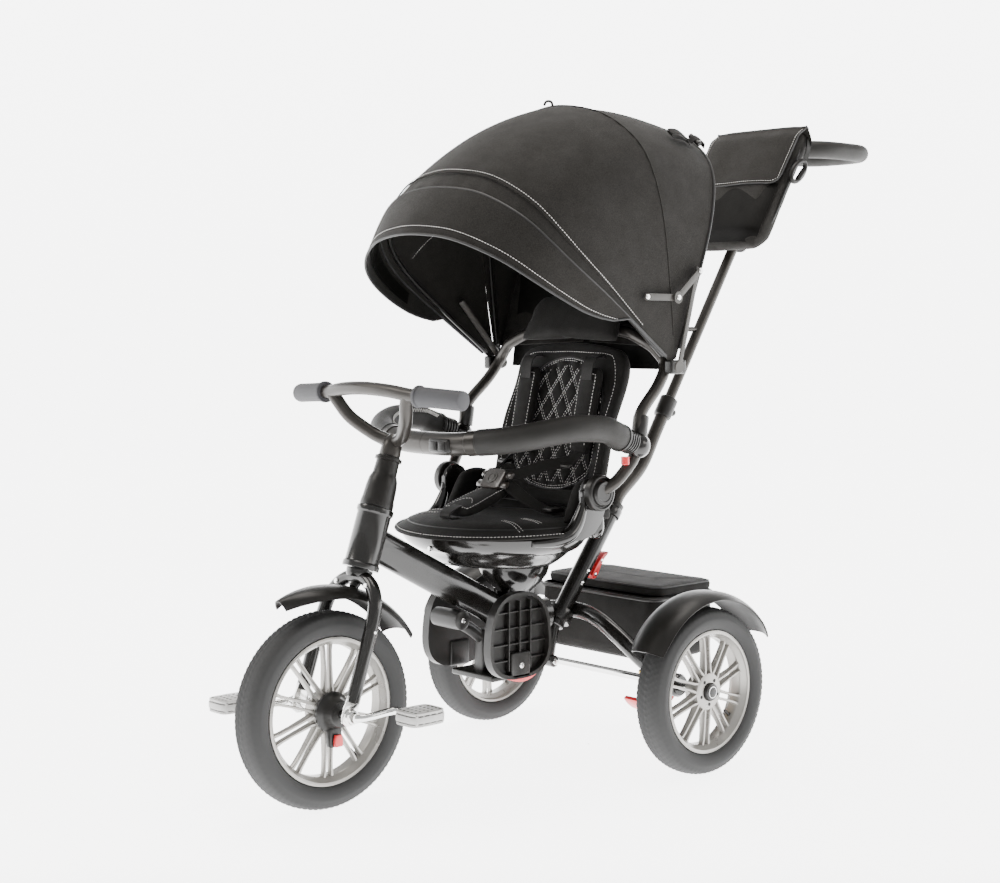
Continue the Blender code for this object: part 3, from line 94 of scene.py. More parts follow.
@dataclass(frozen=True)
class Finish:
    """One surface finish and the record slot that it belongs to."""

    name: str
    slot: str
    colour: Colour
    roughness: float
    metallic: float = 0.0
    coat: float = 0.0
    sheen: float = 0.0
    grain: Grain = Grain.MOULDED
    grain_size: float = 900.0
    relief: float = 0.15
    wear: float = 0.06
    mottle: float = 0.12
    specular: float = 0.5

    def material(self) -> bpy.types.Material:
        """The node material of this finish, made on first use.

        Returns:
            The material.
        """
        found = bpy.data.materials.get(self.name)
        if found:
            return found
        made = bpy.data.materials.new(self.name)
        made.use_nodes = True
        tree = made.node_tree
        shader = tree.nodes["Principled BSDF"]
        shader.inputs["Metallic"].default_value = self.metallic
        shader.inputs["Coat Weight"].default_value = self.coat
        shader.inputs["Coat Roughness"].default_value = 0.06
        shader.inputs["Sheen Weight"].default_value = self.sheen
        shader.inputs["Sheen Roughness"].default_value = 0.45
        shader.inputs["Specular IOR Level"].default_value = self.specular
        place = tree.nodes.new("ShaderNodeTexCoord").outputs["Object"]
        self._tint(tree, shader, place)
        self._polish(tree, shader, place)
        height = self._height(tree, place)
        bump = tree.nodes.new("ShaderNodeBump")
        bump.inputs["Strength"].default_value = self.relief
        bump.inputs["Distance"].default_value = 0.0006
        tree.links.new(height, bump.inputs["Height"])
        tree.links.new(bump.outputs["Normal"], shader.inputs["Normal"])
        made.diffuse_color = (*self.colour, 1.0)
        return made

    def _noise(self, tree: bpy.types.NodeTree, place: bpy.types.NodeSocket, scale: float) -> bpy.types.NodeSocket:
        """A noise pattern's value socket at the given scale."""
        noise = tree.nodes.new("ShaderNodeTexNoise")
        noise.inputs["Scale"].default_value = scale
        noise.inputs["Detail"].default_value = 4.0
        tree.links.new(place, noise.inputs["Vector"])
        return noise.outputs["Fac"]

    def _span(self, tree: bpy.types.NodeTree, value: bpy.types.NodeSocket, low: float, high: float) -> bpy.types.NodeSocket:
        """Maps a pattern's middle range to low and high."""
        span = tree.nodes.new("ShaderNodeMapRange")
        span.inputs["From Min"].default_value = 0.3
        span.inputs["From Max"].default_value = 0.7
        span.inputs["To Min"].default_value = low
        span.inputs["To Max"].default_value = high
        tree.links.new(value, span.inputs["Value"])
        return span.outputs["Result"]

    def _tint(self, tree: bpy.types.NodeTree, shader: bpy.types.Node, place: bpy.types.NodeSocket) -> None:
        """Lets the colour drift slightly over the surface."""
        mix = tree.nodes.new("ShaderNodeMix")
        mix.data_type = "RGBA"
        dark = [c * (1.0 - self.mottle) for c in self.colour]
        light = [min(1.0, c * (1.0 + self.mottle)) for c in self.colour]
        mix.inputs[6].default_value = (*dark, 1.0)
        mix.inputs[7].default_value = (*light, 1.0)
        scale = self.grain_size * 0.5 if self.grain is Grain.WOVEN else 24.0
        tree.links.new(self._span(tree, self._noise(tree, place, scale), 0.0, 1.0), mix.inputs[0])
        tree.links.new(mix.outputs[2], shader.inputs["Base Color"])

    def _polish(self, tree: bpy.types.NodeTree, shader: bpy.types.Node, place: bpy.types.NodeSocket) -> None:
        """Lets the roughness drift as handling and dust leave it."""
        low = max(0.02, self.roughness - self.wear)
        high = min(1.0, self.roughness + self.wear)
        tree.links.new(self._span(tree, self._noise(tree, place, 34.0), low, high), shader.inputs["Roughness"])

    def _height(self, tree: bpy.types.NodeTree, place: bpy.types.NodeSocket) -> bpy.types.NodeSocket:
        """The socket that carries the fine relief."""
        if self.grain is Grain.WOVEN:
            return self._weave(tree, place)
        if self.grain is Grain.BRUSHED:
            stretch = tree.nodes.new("ShaderNodeMapping")
            stretch.inputs["Scale"].default_value = (0.08, 1.0, 1.0)
            tree.links.new(place, stretch.inputs["Vector"])
            return self._noise(tree, stretch.outputs["Vector"], self.grain_size)
        if self.grain is Grain.SMOOTH:
            return self._noise(tree, place, 60.0)
        return self._noise(tree, place, self.grain_size)

    def _weave(self, tree: bpy.types.NodeTree, place: bpy.types.NodeSocket) -> bpy.types.NodeSocket:
        """Two crossed sets of uneven threads, added."""
        threads = []
        for stretch in ((1.0, 0.28, 0.5), (0.28, 1.0, 1.0)):
            drawn = tree.nodes.new("ShaderNodeMapping")
            drawn.inputs["Scale"].default_value = stretch
            tree.links.new(place, drawn.inputs["Vector"])
            threads.append(self._noise(tree, drawn.outputs["Vector"], self.grain_size))
        cross = tree.nodes.new("ShaderNodeMath")
        cross.operation = "ADD"
        tree.links.new(threads[0], cross.inputs[0])
        tree.links.new(threads[1], cross.inputs[1])
        return cross.outputs["Value"]


GLOSS = Finish("gloss_black_paint", "gloss_black", (0.0060, 0.0055, 0.0048), 0.22, coat=0.22, grain=Grain.SMOOTH, relief=0.02, wear=0.04, specular=0.38)
SHELL_GLOSS = Finish("gloss_shell", "seat_shell", (0.0055, 0.0050, 0.0044), 0.17, coat=0.25, grain=Grain.SMOOTH, relief=0.03, wear=0.04, specular=0.38)
SATIN = Finish("satin_black_moulding", "satin_black", (0.0062, 0.0055, 0.0046), 0.38, grain_size=1500.0, relief=0.10, specular=0.26)
BLACK = Finish("black_moulding", "black_plastic", (0.0070, 0.0064, 0.0056), 0.36, grain_size=1300.0, relief=0.10, specular=0.36)
GUNMETAL = Finish("dark_bar_paint", "gunmetal", (0.029, 0.026, 0.023), 0.34, metallic=0.50, grain=Grain.SMOOTH, relief=0.03)
CHROME = Finish("bright_steel", "steel", (0.72, 0.72, 0.71), 0.14, metallic=1.0, grain=Grain.BRUSHED, relief=0.03, mottle=0.04)
SILVER = Finish("silver_wheel_paint", "silver_alloy", (0.285, 0.275, 0.258), 0.30, metallic=0.55, grain=Grain.SMOOTH, relief=0.02, mottle=0.03)
TYRE = Finish("tyre_rubber", "tyre_rubber", (0.0050, 0.0045, 0.0038), 0.78, grain_size=700.0, relief=0.30, mottle=0.25, specular=0.24)
GRIP = Finish("grip_rubber", "grip_rubber", (0.037, 0.032, 0.026), 0.62, grain_size=1600.0, relief=0.25, specular=0.3)
FOAM = Finish("soft_foam_sleeve", "foam", (0.0082, 0.0075, 0.0064), 0.58, grain_size=1500.0, relief=0.35, specular=0.3)
CANVAS = Finish(
    "charcoal_canvas", "fabric", (0.0135, 0.0123, 0.0108), 0.90, sheen=0.05, grain=Grain.WOVEN, grain_size=1500.0, relief=0.45, mottle=0.55, specular=0.22,
)
MESH_CLOTH = Finish(
    "black_seat_cloth", "fabric", (0.0052, 0.0047, 0.0040), 0.85, sheen=0.04, grain=Grain.WOVEN, grain_size=1700.0, relief=0.45, mottle=0.40, specular=0.22,
)
SATIN_CLOTH = Finish("satin_pocket_cloth", "fabric", (0.0030, 0.0027, 0.0022), 0.62, grain=Grain.WOVEN, grain_size=1600.0, relief=0.3, specular=0.10)
WEBBING = Finish("webbing", "fabric", (0.0070, 0.0064, 0.0056), 0.75, sheen=0.04, grain=Grain.WOVEN, grain_size=700.0, relief=0.6, specular=0.25)
THREAD = Finish("white_thread", "fabric", (0.62, 0.61, 0.59), 0.80, grain_size=1800.0, relief=0.2)
PIPING = Finish("piping_cord", "fabric", (0.010, 0.010, 0.010), 0.60, grain=Grain.WOVEN, grain_size=1400.0, relief=0.3)
PALE_GREY = Finish("pale_grey_moulding", "pale_grey_plastic", (0.38, 0.375, 0.365), 0.45, grain_size=1200.0, relief=0.12)
DARK_GREY = Finish("dark_grey_moulding", "dark_grey_plastic", (0.044, 0.041, 0.037), 0.42, grain_size=1200.0, relief=0.10, specular=0.35)
RED = Finish("red_moulding", "red_plastic", (0.56, 0.018, 0.022), 0.32, coat=0.2, grain_size=1200.0, relief=0.06)
BRASS = Finish("brass_pin", "steel", (0.65, 0.45, 0.12), 0.28, metallic=1.0, grain=Grain.BRUSHED, relief=0.04)
BUCKLE = Finish("brown_black_buckle", "black_plastic", (0.022, 0.017, 0.014), 0.30, coat=0.3, grain_size=1200.0, relief=0.05)
# Near-black spots laid over openings and recesses: painted shade in place of real hollows.
HOLE_SHADE = Finish("painted_hole_shade", "black_plastic", (0.010, 0.010, 0.010), 0.85, grain_size=900.0, relief=0.1)


def on_steering(along: float, aside: float = 0.0, ahead: float = 0.0) -> Vector:
    """A point from its place on the leaning steering axis.

    Args:
        along: Distance up the axis from the front axle.
        aside: Distance to the rider's left.
        ahead: Distance forward, square to the axis.

    Returns:
        The point in the row frame.
    """
    forward = Vector((0.0, -math.cos(HEAD_TILT), math.sin(HEAD_TILT)))
    return FRONT_AXLE + STEER_AXIS * along + Vector((aside, 0.0, 0.0)) + forward * ahead


def flipped(points: Iterable[Point], side: int) -> list[Vector]:
    """The points on the rider's left (+1) or mirrored to the right (-1)."""
    return [Vector((point[0] * side, point[1], point[2])) for point in points]


def smooth_route(points: Sequence[Point], steps: int = 6, closed: bool = False) -> list[Vector]:
    """Points along a smooth curve through the given ones.

    Args:
        points: What the curve passes through.
        steps: How many points stand for each stretch.
        closed: Whether the curve runs back to its start.

    Returns:
        The curve's points.
    """
    knots = [Vector(point) for point in points]
    count = len(knots)
    if closed:
        wrapped = [knots[-1], *knots, knots[0], knots[1]]
    else:
        wrapped = [2 * knots[0] - knots[1], *knots, 2 * knots[-1] - knots[-2]]
    route: list[Vector] = []
    for index in range(1, count + (1 if closed else 0)):
        before, here, there, after = wrapped[index - 1 : index + 3]
        for step in range(steps):
            t = step / steps
            linear = (there - before) * t
            square = (2 * before - 5 * here + 4 * there - after) * t**2
            cube = (3 * here - before - 3 * there + after) * t**3
            route.append(0.5 * (2 * here + linear + square + cube))
    if not closed:
        route.append(knots[-1])
    return route


class Form:
    """Makes meshes from rings, routes and grids in the row frame."""

    @staticmethod
    def mesh(name: str, points: Iterable[Point], faces: Iterable[Sequence[int]]) -> bpy.types.Object:
        """An object from points and faces, with its faces turned outwards.

        Args:
            name: The piece's name.
            points: Its corners.
            faces: Each face's corner numbers.

        Returns:
            The new object.
        """
        shape = bmesh.new()
        corners = [shape.verts.new(point) for point in points]
        for loop in faces:
            shape.faces.new([corners[index] for index in loop])
        bmesh.ops.remove_doubles(shape, verts=shape.verts, dist=0.000002)
        bmesh.ops.recalc_face_normals(shape, faces=shape.faces)
        data = bpy.data.meshes.new(name)
        shape.to_mesh(data)
        shape.free()
        made = bpy.data.objects.new(name, data)
        bpy.context.scene.collection.objects.link(made)
        data.shade_smooth()
        data.set_sharp_from_angle(angle=SMOOTH_ANGLE)
        return made

    @staticmethod
    def loft(name: str, rings: Sequence[Sequence[Point]], closed: bool = False, caps: bool = True) -> bpy.types.Object:
        """A skin through rings of equal counts.

        Args:
            name: The piece's name.
            rings: The rings in order.
            closed: Whether the last ring joins the first.
            caps: Whether the two ends are filled.

        Returns:
            The new object.
        """
        count = len(rings[0])
        faces = []
        rows = len(rings)
        for row in range(rows if closed else rows - 1):
            here = row * count
            there = ((row + 1) % rows) * count
            for index in range(count):
                following = (index + 1) % count
                faces.append((here + index, here + following, there + following, there + index))
        if caps and not closed:
            faces.append(tuple(range(count)))
            faces.append(tuple(range((rows - 1) * count, rows * count)))
        return Form.mesh(name, [point for ring in rings for point in ring], faces)

    @staticmethod
    def tube(
        name: str,
        route: Sequence[Point],
        radius: float | Callable[[float], float],
        sides: int = 20,
        steps: int = 6,
        closed: bool = False,
        flat: float = 1.0,
    ) -> bpy.types.Object:
        """A bar along a smooth route with rounded ends.

        Args:
            name: The piece's name.
            route: What the middle passes through.
            radius: The radius, or a function from 0 to 1 along the bar.
            sides: How many sides the section has.
            steps: Points for each stretch of the route.
            closed: Whether the bar is an endless loop.
            flat: The section's height as a share of its width.

        Returns:
            The new object.
        """
        path = smooth_route(route, steps, closed)
        size = radius if callable(radius) else (lambda _share: radius)
        rings = []
        side = (path[1] - path[0]).orthogonal().normalized()
        count = len(path)
        for index, point in enumerate(path):
            if closed:
                along = (path[(index + 1) % count] - path[index - 1]).normalized()
            else:
                along = (path[min(index + 1, count - 1)] - path[max(index - 1, 0)]).normalized()
            side = (side - along * side.dot(along)).normalized()
            up = along.cross(side)
            reach = size(index / (count - 1))
            rings.append([point + (side * math.cos(TAU * k / sides) + up * (flat * math.sin(TAU * k / sides))) * reach for k in range(sides)])
        if not closed:
            soften = min(0.0012, size(0.0) * 0.3)
            for end, ring in ((0, rings[0]), (-1, rings[-1])):
                middle = path[end]
                share = 1.0 - soften / max(size(0.0 if end == 0 else 1.0), 0.0001)
                outward = (path[end] - path[1 if end == 0 else -2]).normalized() * soften
                small = [middle + (corner - middle) * share + outward for corner in ring]
                rings.insert(0, small) if end == 0 else rings.append(small)
        return Form.loft(name, rings, closed)

    @staticmethod
    def lathe(
        name: str, profile: Sequence[tuple[float, float]], start: Point, direction: Point, sides: int = 64
    ) -> bpy.types.Object:
        """A turned piece.

        Args:
            name: The piece's name.
            profile: (distance along, radius) pairs; it is closed into a ring unless it ends on the axis.
            start: Where distance 0 lies.
            direction: The axis.
            sides: How many steps go round.

        Returns:
            The new object.
        """
        axis = Vector(direction).normalized()
        across = axis.orthogonal().normalized()
        other = axis.cross(across)
        on_axis = min(radius for _, radius in profile) < 0.000001
        points: list[Vector] = []
        for step in range(sides):
            turn = across * math.cos(TAU * step / sides) + other * math.sin(TAU * step / sides)
            points += [Vector(start) + axis * along + turn * radius for along, radius in profile]
        count = len(profile)
        faces = []
        for step in range(sides):
            here = step * count
            there = ((step + 1) % sides) * count
            for index in range(count if not on_axis else count - 1):
                following = (index + 1) % count
                faces.append((here + index, here + following, there + following, there + index))
        made = Form.mesh(name, points, Form.tidy(points, faces))
        return made

    @staticmethod
    def tidy(points: Sequence[Vector], faces: Sequence[Sequence[int]]) -> list[Sequence[int]]:
        """Leaves out faces that have shrunk to a line on the axis."""
        kept = []
        for loop in faces:
            corners = {tuple(round(c, 7) for c in points[index]) for index in loop}
            if len(corners) > 2:
                kept.append(loop)
        return kept

    @staticmethod
    def block(name: str, low: Point, high: Point, edge: float = 0.0015) -> bpy.types.Object:
        """A box between two corners with rounded edges of the given width."""
        shape = bmesh.new()
        bmesh.ops.create_cube(shape, size=1.0)
        size = Vector(high) - Vector(low)
        bmesh.ops.scale(shape, vec=size, verts=shape.verts)
        bmesh.ops.translate(shape, vec=(Vector(high) + Vector(low)) / 2.0, verts=shape.verts)
        bmesh.ops.bevel(shape, geom=shape.edges[:], offset=edge, segments=3, profile=0.5, affect="EDGES")
        return Form.keep(name, shape)

    @staticmethod
    def plate(name: str, outline: Sequence[Point], depth: Point, edge: float = 0.0008) -> bpy.types.Object:
        """A flat outline pushed along depth, with its rims softened."""
        shape = bmesh.new()
        base = shape.faces.new([shape.verts.new(point) for point in outline])
        pushed = bmesh.ops.extrude_face_region(shape, geom=[base])
        moved = [piece for piece in pushed["geom"] if isinstance(piece, bmesh.types.BMVert)]
        bmesh.ops.translate(shape, vec=Vector(depth), verts=moved)
        bmesh.ops.recalc_face_normals(shape, faces=shape.faces)
        rims = [rim for rim in shape.edges if rim.calc_face_angle(0.0) > math.radians(50.0)]
        if edge > 0.0:
            bmesh.ops.bevel(shape, geom=rims, offset=edge, segments=2, profile=0.6, affect="EDGES")
        return Form.keep(name, shape)

    @staticmethod
    def keep(name: str, shape: bmesh.types.BMesh) -> bpy.types.Object:
        """Turns a finished bmesh into a smooth-shaded object."""
        bmesh.ops.recalc_face_normals(shape, faces=shape.faces)
        data = bpy.data.meshes.new(name)
        shape.to_mesh(data)
        shape.free()
        made = bpy.data.objects.new(name, data)
        bpy.context.scene.collection.objects.link(made)
        data.shade_smooth()
        data.set_sharp_from_angle(angle=SMOOTH_ANGLE)
        return made

    @staticmethod
    def cloth(name: str, rows: Sequence[Sequence[Point]], thickness: float) -> bpy.types.Object:
        """A sheet of even thickness under a grid of points.

        Args:
            name: The piece's name.
            rows: The grid, row by row.
            thickness: How far the underside lies below.

        Returns:
            The new object.
        """
        grid = [[Vector(point) for point in row] for row in rows]
        high = len(grid)
        wide = len(grid[0])
        under = []
        for r in range(high):
            for c in range(wide):
                down = grid[min(r + 1, high - 1)][c] - grid[max(r - 1, 0)][c]
                right = grid[r][min(c + 1, wide - 1)] - grid[r][max(c - 1, 0)]
                under.append(grid[r][c] - down.cross(right).normalized() * thickness)
        points = [point for row in grid for point in row] + under
        offset = high * wide
        faces = []
        for r in range(high - 1):
            for c in range(wide - 1):
                a = r * wide + c
                faces.append((a, a + 1, a + wide + 1, a + wide))
                faces.append((offset + a, offset + a + wide, offset + a + wide + 1, offset + a + 1))
        rim = [r * wide for r in range(high)] + [(high - 1) * wide + c for c in range(1, wide)]
        rim += [r * wide + wide - 1 for r in range(high - 2, -1, -1)] + list(range(wide - 2, 0, -1))
        for here, there in zip(rim, rim[1:] + rim[:1]):
            faces.append((here, there, offset + there, offset + here))
        return Form.mesh(name, points, faces)

    @staticmethod
    def pillow(name: str, spot: Callable[[float, float, int], Vector], wide: int = 40, high: int = 40) -> bpy.types.Object:
        """A closed padded shape whose two faces meet at the rim.

        Args:
            name: The piece's name.
            spot: The place of (u, v, face), u and v from -1 to 1 and face 1 or -1.
            wide: Steps across.
            high: Steps up.

        Returns:
            The new object.
        """
        points: list[Vector] = []
        faces: list[Sequence[int]] = []
        for face in (1, -1):
            first = len(points)
            for row in range(high + 1):
                v = -math.cos(math.pi * row / high) * 0.5 + (2.0 * row / high - 1.0) * 0.5
                for column in range(wide + 1):
                    u = -math.cos(math.pi * column / wide) * 0.5 + (2.0 * column / wide - 1.0) * 0.5
                    points.append(spot(u, v, face))
            for row in range(high):
                for column in range(wide):
                    a = first + row * (wide + 1) + column
                    faces.append((a, a + 1, a + wide + 2, a + wide + 1))
        return Form.mesh(name, points, faces)

    @staticmethod
    def ribbon(name: str, route: Sequence[Point], facing: Point, width: float, thickness: float = 0.0016, steps: int = 6) -> bpy.types.Object:
        """A flat strap along a route, its face towards facing."""
        path = smooth_route(route, steps)
        rings = []
        for index, point in enumerate(path):
            along = (path[min(index + 1, len(path) - 1)] - path[max(index - 1, 0)]).normalized()
            side = along.cross(Vector(facing)).normalized()
            up = side.cross(along)
            half = width / 2.0
            thin = thickness / 2.0
            corners = ((-half, 0.0), (-half + thin, thin), (half - thin, thin), (half, 0.0), (half - thin, -thin), (-half + thin, -thin))
            rings.append([point + side * a + up * b for a, b in corners])
        return Form.loft(name, rings)

    @staticmethod
    def stitches(name: str, route: Sequence[Point], pitch: float = 0.0052, length: float = 0.0034, radius: float = 0.00045) -> bpy.types.Object:
        """A row of short thread dashes along a route.

        Args:
            name: The piece's name.
            route: The seam's points, close together.
            pitch: From one dash to the next.
            length: Of one dash.
            radius: Of the thread.

        Returns:
            All the dashes as one object.
        """
        points: list[Vector] = []
        faces: list[Sequence[int]] = []
        path = [Vector(point) for point in route]
        marks = [0.0]
        for here, there in zip(path, path[1:]):
            marks.append(marks[-1] + (there - here).length)

        def at(distance: float) -> Vector:
            """The point that far along the seam."""
            for index in range(len(path) - 1):
                if marks[index + 1] >= distance:
                    share = (distance - marks[index]) / max(marks[index + 1] - marks[index], 1e-9)
                    return path[index].lerp(path[index + 1], share)
            return path[-1]

        for number in range(int(marks[-1] / pitch)):
            start = at(number * pitch + 0.0005)
            end = at(number * pitch + 0.0005 + length)
            along = (end - start).normalized()
            side = along.orthogonal().normalized()
            up = along.cross(side)
            first = len(points)
            for place, size in ((start, 0.35), (start.lerp(end, 0.2), 1.0), (start.lerp(end, 0.8), 1.0), (end, 0.35)):
                for k in range(6):
                    turn = TAU * k / 6
                    points.append(place + (side * math.cos(turn) + up * math.sin(turn)) * radius * size)
            for ring in range(3):
                for k in range(6):
                    a = first + ring * 6 + k
                    b = first + ring * 6 + (k + 1) % 6
                    faces.append((a, b, b + 6, a + 6))
            faces.append(tuple(range(first, first + 6)))
            faces.append(tuple(range(first + 18, first + 24)))
        return Form.mesh(name, points, faces)

    @staticmethod
    def join(pieces: Sequence[bpy.types.Object], name: str) -> bpy.types.Object:
        """Puts several meshes of one finish in one object."""
        shape = bmesh.new()
        for piece in pieces:
            shape.from_mesh(piece.data)
        for piece in pieces:
            bpy.data.objects.remove(piece, do_unlink=True)
        return Form.keep(name, shape)


def dress(piece: bpy.types.Object, finish: Finish, body: str, *nodes: str) -> bpy.types.Object:
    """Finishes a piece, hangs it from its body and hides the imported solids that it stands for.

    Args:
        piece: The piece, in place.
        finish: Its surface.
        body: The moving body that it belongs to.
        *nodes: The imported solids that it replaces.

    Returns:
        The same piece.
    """
    piece.data.materials.clear()
    piece.data.materials.append(finish.material())
    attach(piece, body)
    if nodes:
        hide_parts(*nodes)
    log.info("made %s on %s", piece.name, body)
    return piece


def full(u: float, v: float, tight: float = 8.0) -> float:
    """How much of a pad's thickness it has at (u, v): 1 in the middle, 0 at the rim."""
    return ((1.0 - min(1.0, abs(u)) ** tight) * (1.0 - min(1.0, abs(v)) ** tight)) ** 0.35


def eased(value: float, low: float, high: float) -> float:
    """0 below low, 1 above high and a smooth step between."""
    share = min(1.0, max(0.0, (value - low) / (high - low)))
    return share * share * (3.0 - 2.0 * share)


def laid_on(piece: bpy.types.Object, points: Iterable[Point], toward: Point, lift: float = 0.0004) -> list[Vector]:
    """The points moved along toward until they meet the piece's skin.

    Args:
        piece: The piece they come to lie on.
        points: Where they start, near the skin.
        toward: The way into the piece.
        lift: How far they stay off the skin.

    Returns:
        The points that met it.
    """
    skin = BVHTree.FromPolygons([corner.co for corner in piece.data.vertices], [loop.vertices for loop in piece.data.polygons])
    heading = Vector(toward).normalized()
    landed = []
    for point in points:
        place, normal, _index, _distance = skin.ray_cast(Vector(point) - heading * 0.06, heading)
        if place is not None:
            landed.append(place - heading * lift)
    return landed


def puffed(piece: bpy.types.Object, most: float, pressure: float = 4.0) -> bpy.types.Object:
    """Blows a padded piece up with a short cloth simulation and caps how far its skin moves.

    Args:
        piece: The closed shape, not yet dressed.
        most: The furthest that any point may move.
        pressure: How hard it is blown up.

    Returns:
        The same piece with its settled skin.
    """
    scene = bpy.context.scene
    remesh = piece.modifiers.new("even", "REMESH")
    remesh.mode = "VOXEL"
    remesh.voxel_size = 0.004
    settle(piece)
    before = [corner.co.copy() for corner in piece.data.vertices]
    cloth = piece.modifiers.new("cloth", "CLOTH")
    cloth.settings.use_pressure = True
    cloth.settings.uniform_pressure_force = pressure
    cloth.settings.effector_weights.gravity = 0.0
    cloth.settings.tension_stiffness = 30.0
    cloth.settings.compression_stiffness = 30.0
    cloth.settings.bending_stiffness = 2.0
    cloth.point_cache.frame_start = 1
    cloth.point_cache.frame_end = 14
    for number in range(1, 15):
        scene.frame_set(number)
    settle(piece)
    scene.frame_set(1)
    for corner, start in zip(piece.data.vertices, before):
        move = corner.co - start
        if move.length > most:
            corner.co = start + move * (most / move.length)
    smooth = piece.modifiers.new("smooth", "SMOOTH")
    smooth.iterations = 3
    finer = piece.modifiers.new("finer", "SUBSURF")
    finer.levels = 1
    finer.render_levels = 1
    settle(piece)
    piece.data.shade_smooth()
    return piece


def settle(piece: bpy.types.Object) -> None:
    """Makes the piece's modified shape its own and clears its modifiers."""
    shown = piece.evaluated_get(bpy.context.evaluated_depsgraph_get())
    kept = bpy.data.meshes.new_from_object(shown)
    piece.modifiers.clear()
    piece.data = kept


@dataclass
class Wheel:
    """One wheel: a treaded tyre on a rim with paired spokes."""

    name: str
    body: str
    centre: Vector
    tyre_r: float
    rim_r: float
    outward: int
    half_width: float = 0.026
    rim_half: float = 0.019
    spoke_pairs: int = 10
    blocks: int = 84
    groove: float = 0.0011

    def build(self) -> None:
        """Makes the tyre and the rim."""
        dress(self.tyre(), TYRE, self.body, f"tyre_{self.name}")
        dress(self.rim(), SILVER, self.body, f"rim_{self.name}")
        dress(self.valve(), BLACK, self.body)

    def tyre(self) -> bpy.types.Object:
        """The tyre, its tread cut into rows of small blocks."""
        seat = self.rim_r + 0.0004
        depth = self.tyre_r - seat
        half = self.half_width
        arch = [(0.60, 0.0), (0.72, 0.04), (0.86, 0.16), (0.96, 0.30), (1.0, 0.47), (0.985, 0.56), (0.97, 0.58), (0.93, 0.70)]
        arch += [(0.86, 0.80), (0.80, 0.855), (0.74, 0.895), (0.62, 0.93), (0.56, 0.948), (0.44, 0.972), (0.38, 0.98)]
        arch += [(0.24, 0.992), (0.18, 0.996), (0.05, 1.0)]
        profile = [(x * half, seat + y * depth) for x, y in arch]
        profile += [(-x, radius) for x, radius in reversed(profile)]
        channels = {7, 10, 12, 14, 16}
        count = len(profile)
        steps = self.blocks * 3
        rings = []
        for step in range(steps):
            ring = []
            for index, (x, radius) in enumerate(profile):
                mirrored_index = min(index, count - 1 - index)
                row = sum(1 for channel in sorted(channels) if channel < mirrored_index)
                gap = (step + row) % 3 == 0
                lowered = radius
                if mirrored_index >= 7 and (mirrored_index in channels or gap):
                    lowered = radius - self.groove
                turn = TAU * step / steps
                ring.append(self.centre + Vector((x, math.sin(turn) * lowered, math.cos(turn) * lowered)))
            rings.append(ring)
        return Form.loft(f"tyre_{self.name}_tread", rings, closed=True)

    def rim(self) -> bpy.types.Object:
        """The rim ring, paired spokes and hub in one."""
        half = self.rim_half
        outer = self.rim_r
        inner = outer - 0.012
        ring = [(-half, outer), (-half - 0.001, outer - 0.001), (-half, outer - 0.0035), (-half * 0.6, outer - 0.005), (-half * 0.4, inner)]
        ring += [(half * 0.4, inner), (half * 0.55, inner + 0.001), (half * 0.8, outer - 0.006), (half, outer - 0.005)]
        ring += [(half + 0.001, outer - 0.0025), (half, outer)]
        parts = [Form.lathe("rim_ring", ring, self.centre, (self.outward, 0, 0), 96)]
        for pair in range(self.spoke_pairs):
            for lean in (-1.0, 1.0):
                parts.append(self.spoke(TAU * pair / self.spoke_pairs, lean, inner))
        hub = [(-0.020, 0.0), (-0.020, 0.014), (-0.008, 0.027), (0.010, 0.0285), (0.0150, 0.0275), (0.0165, 0.0245), (0.0165, 0.0)]
        parts.append(Form.lathe("rim_hub", hub, self.centre, (self.outward, 0, 0), 48))
        return Form.join(parts, f"rim_{self.name}_casting")

    def spoke(self, angle: float, lean: float, inner: float) -> bpy.types.Object:
        """One flat spoke, waisted in the middle and flared into the rim."""
        radial = Vector((0.0, math.sin(angle), math.cos(angle)))
        tangent = Vector((0.0, math.cos(angle), -math.sin(angle)))
        rings = []
        stations = ((0.024, 1.25, 0.006, 0.0052), (0.034, 1.0, 0.0055, 0.0048), (0.5, 0.92, 0.0045, 0.0040), (0.82, 1.0, 0.0042, 0.0044), (1.0, 1.25, 0.0036, 0.0062))
        for number, (share, spread, thick, wide) in enumerate(stations):
            reach = share if number < 2 else 0.034 + (inner + 0.003 - 0.034) * share
            along_axis = 0.0100 - 0.0030 * min(1.0, reach / inner)
            middle = self.centre + radial * reach + tangent * (lean * 0.0056 * spread) + Vector((self.outward * along_axis, 0, 0))
            ring = []
            for a, b in ((-1.0, -1.0), (1.0, -1.0), (1.0, 0.5), (0.6, 1.0), (-0.6, 1.0), (-1.0, 0.5)):
                ring.append(middle + tangent * (a * wide / 2.0) + Vector((self.outward * b * thick, 0, 0)))
            rings.append(ring)
        return Form.loft("rim_spoke", rings)

    def valve(self) -> bpy.types.Object:
        """The tyre valve, standing in from the rim."""
        angle = math.radians(144.0 if self.name == "front" else 126.0)
        radial = Vector((0.0, math.sin(angle), math.cos(angle)))
        start = self.centre + radial * (self.rim_r - 0.008)
        profile = [(0.0, 0.0), (0.0, 0.0032), (0.006, 0.0032), (0.008, 0.0024), (0.016, 0.0024), (0.018, 0.0015), (0.018, 0.0)]
        return Form.lathe(f"valve_{self.name}", profile, start, -radial, 16)


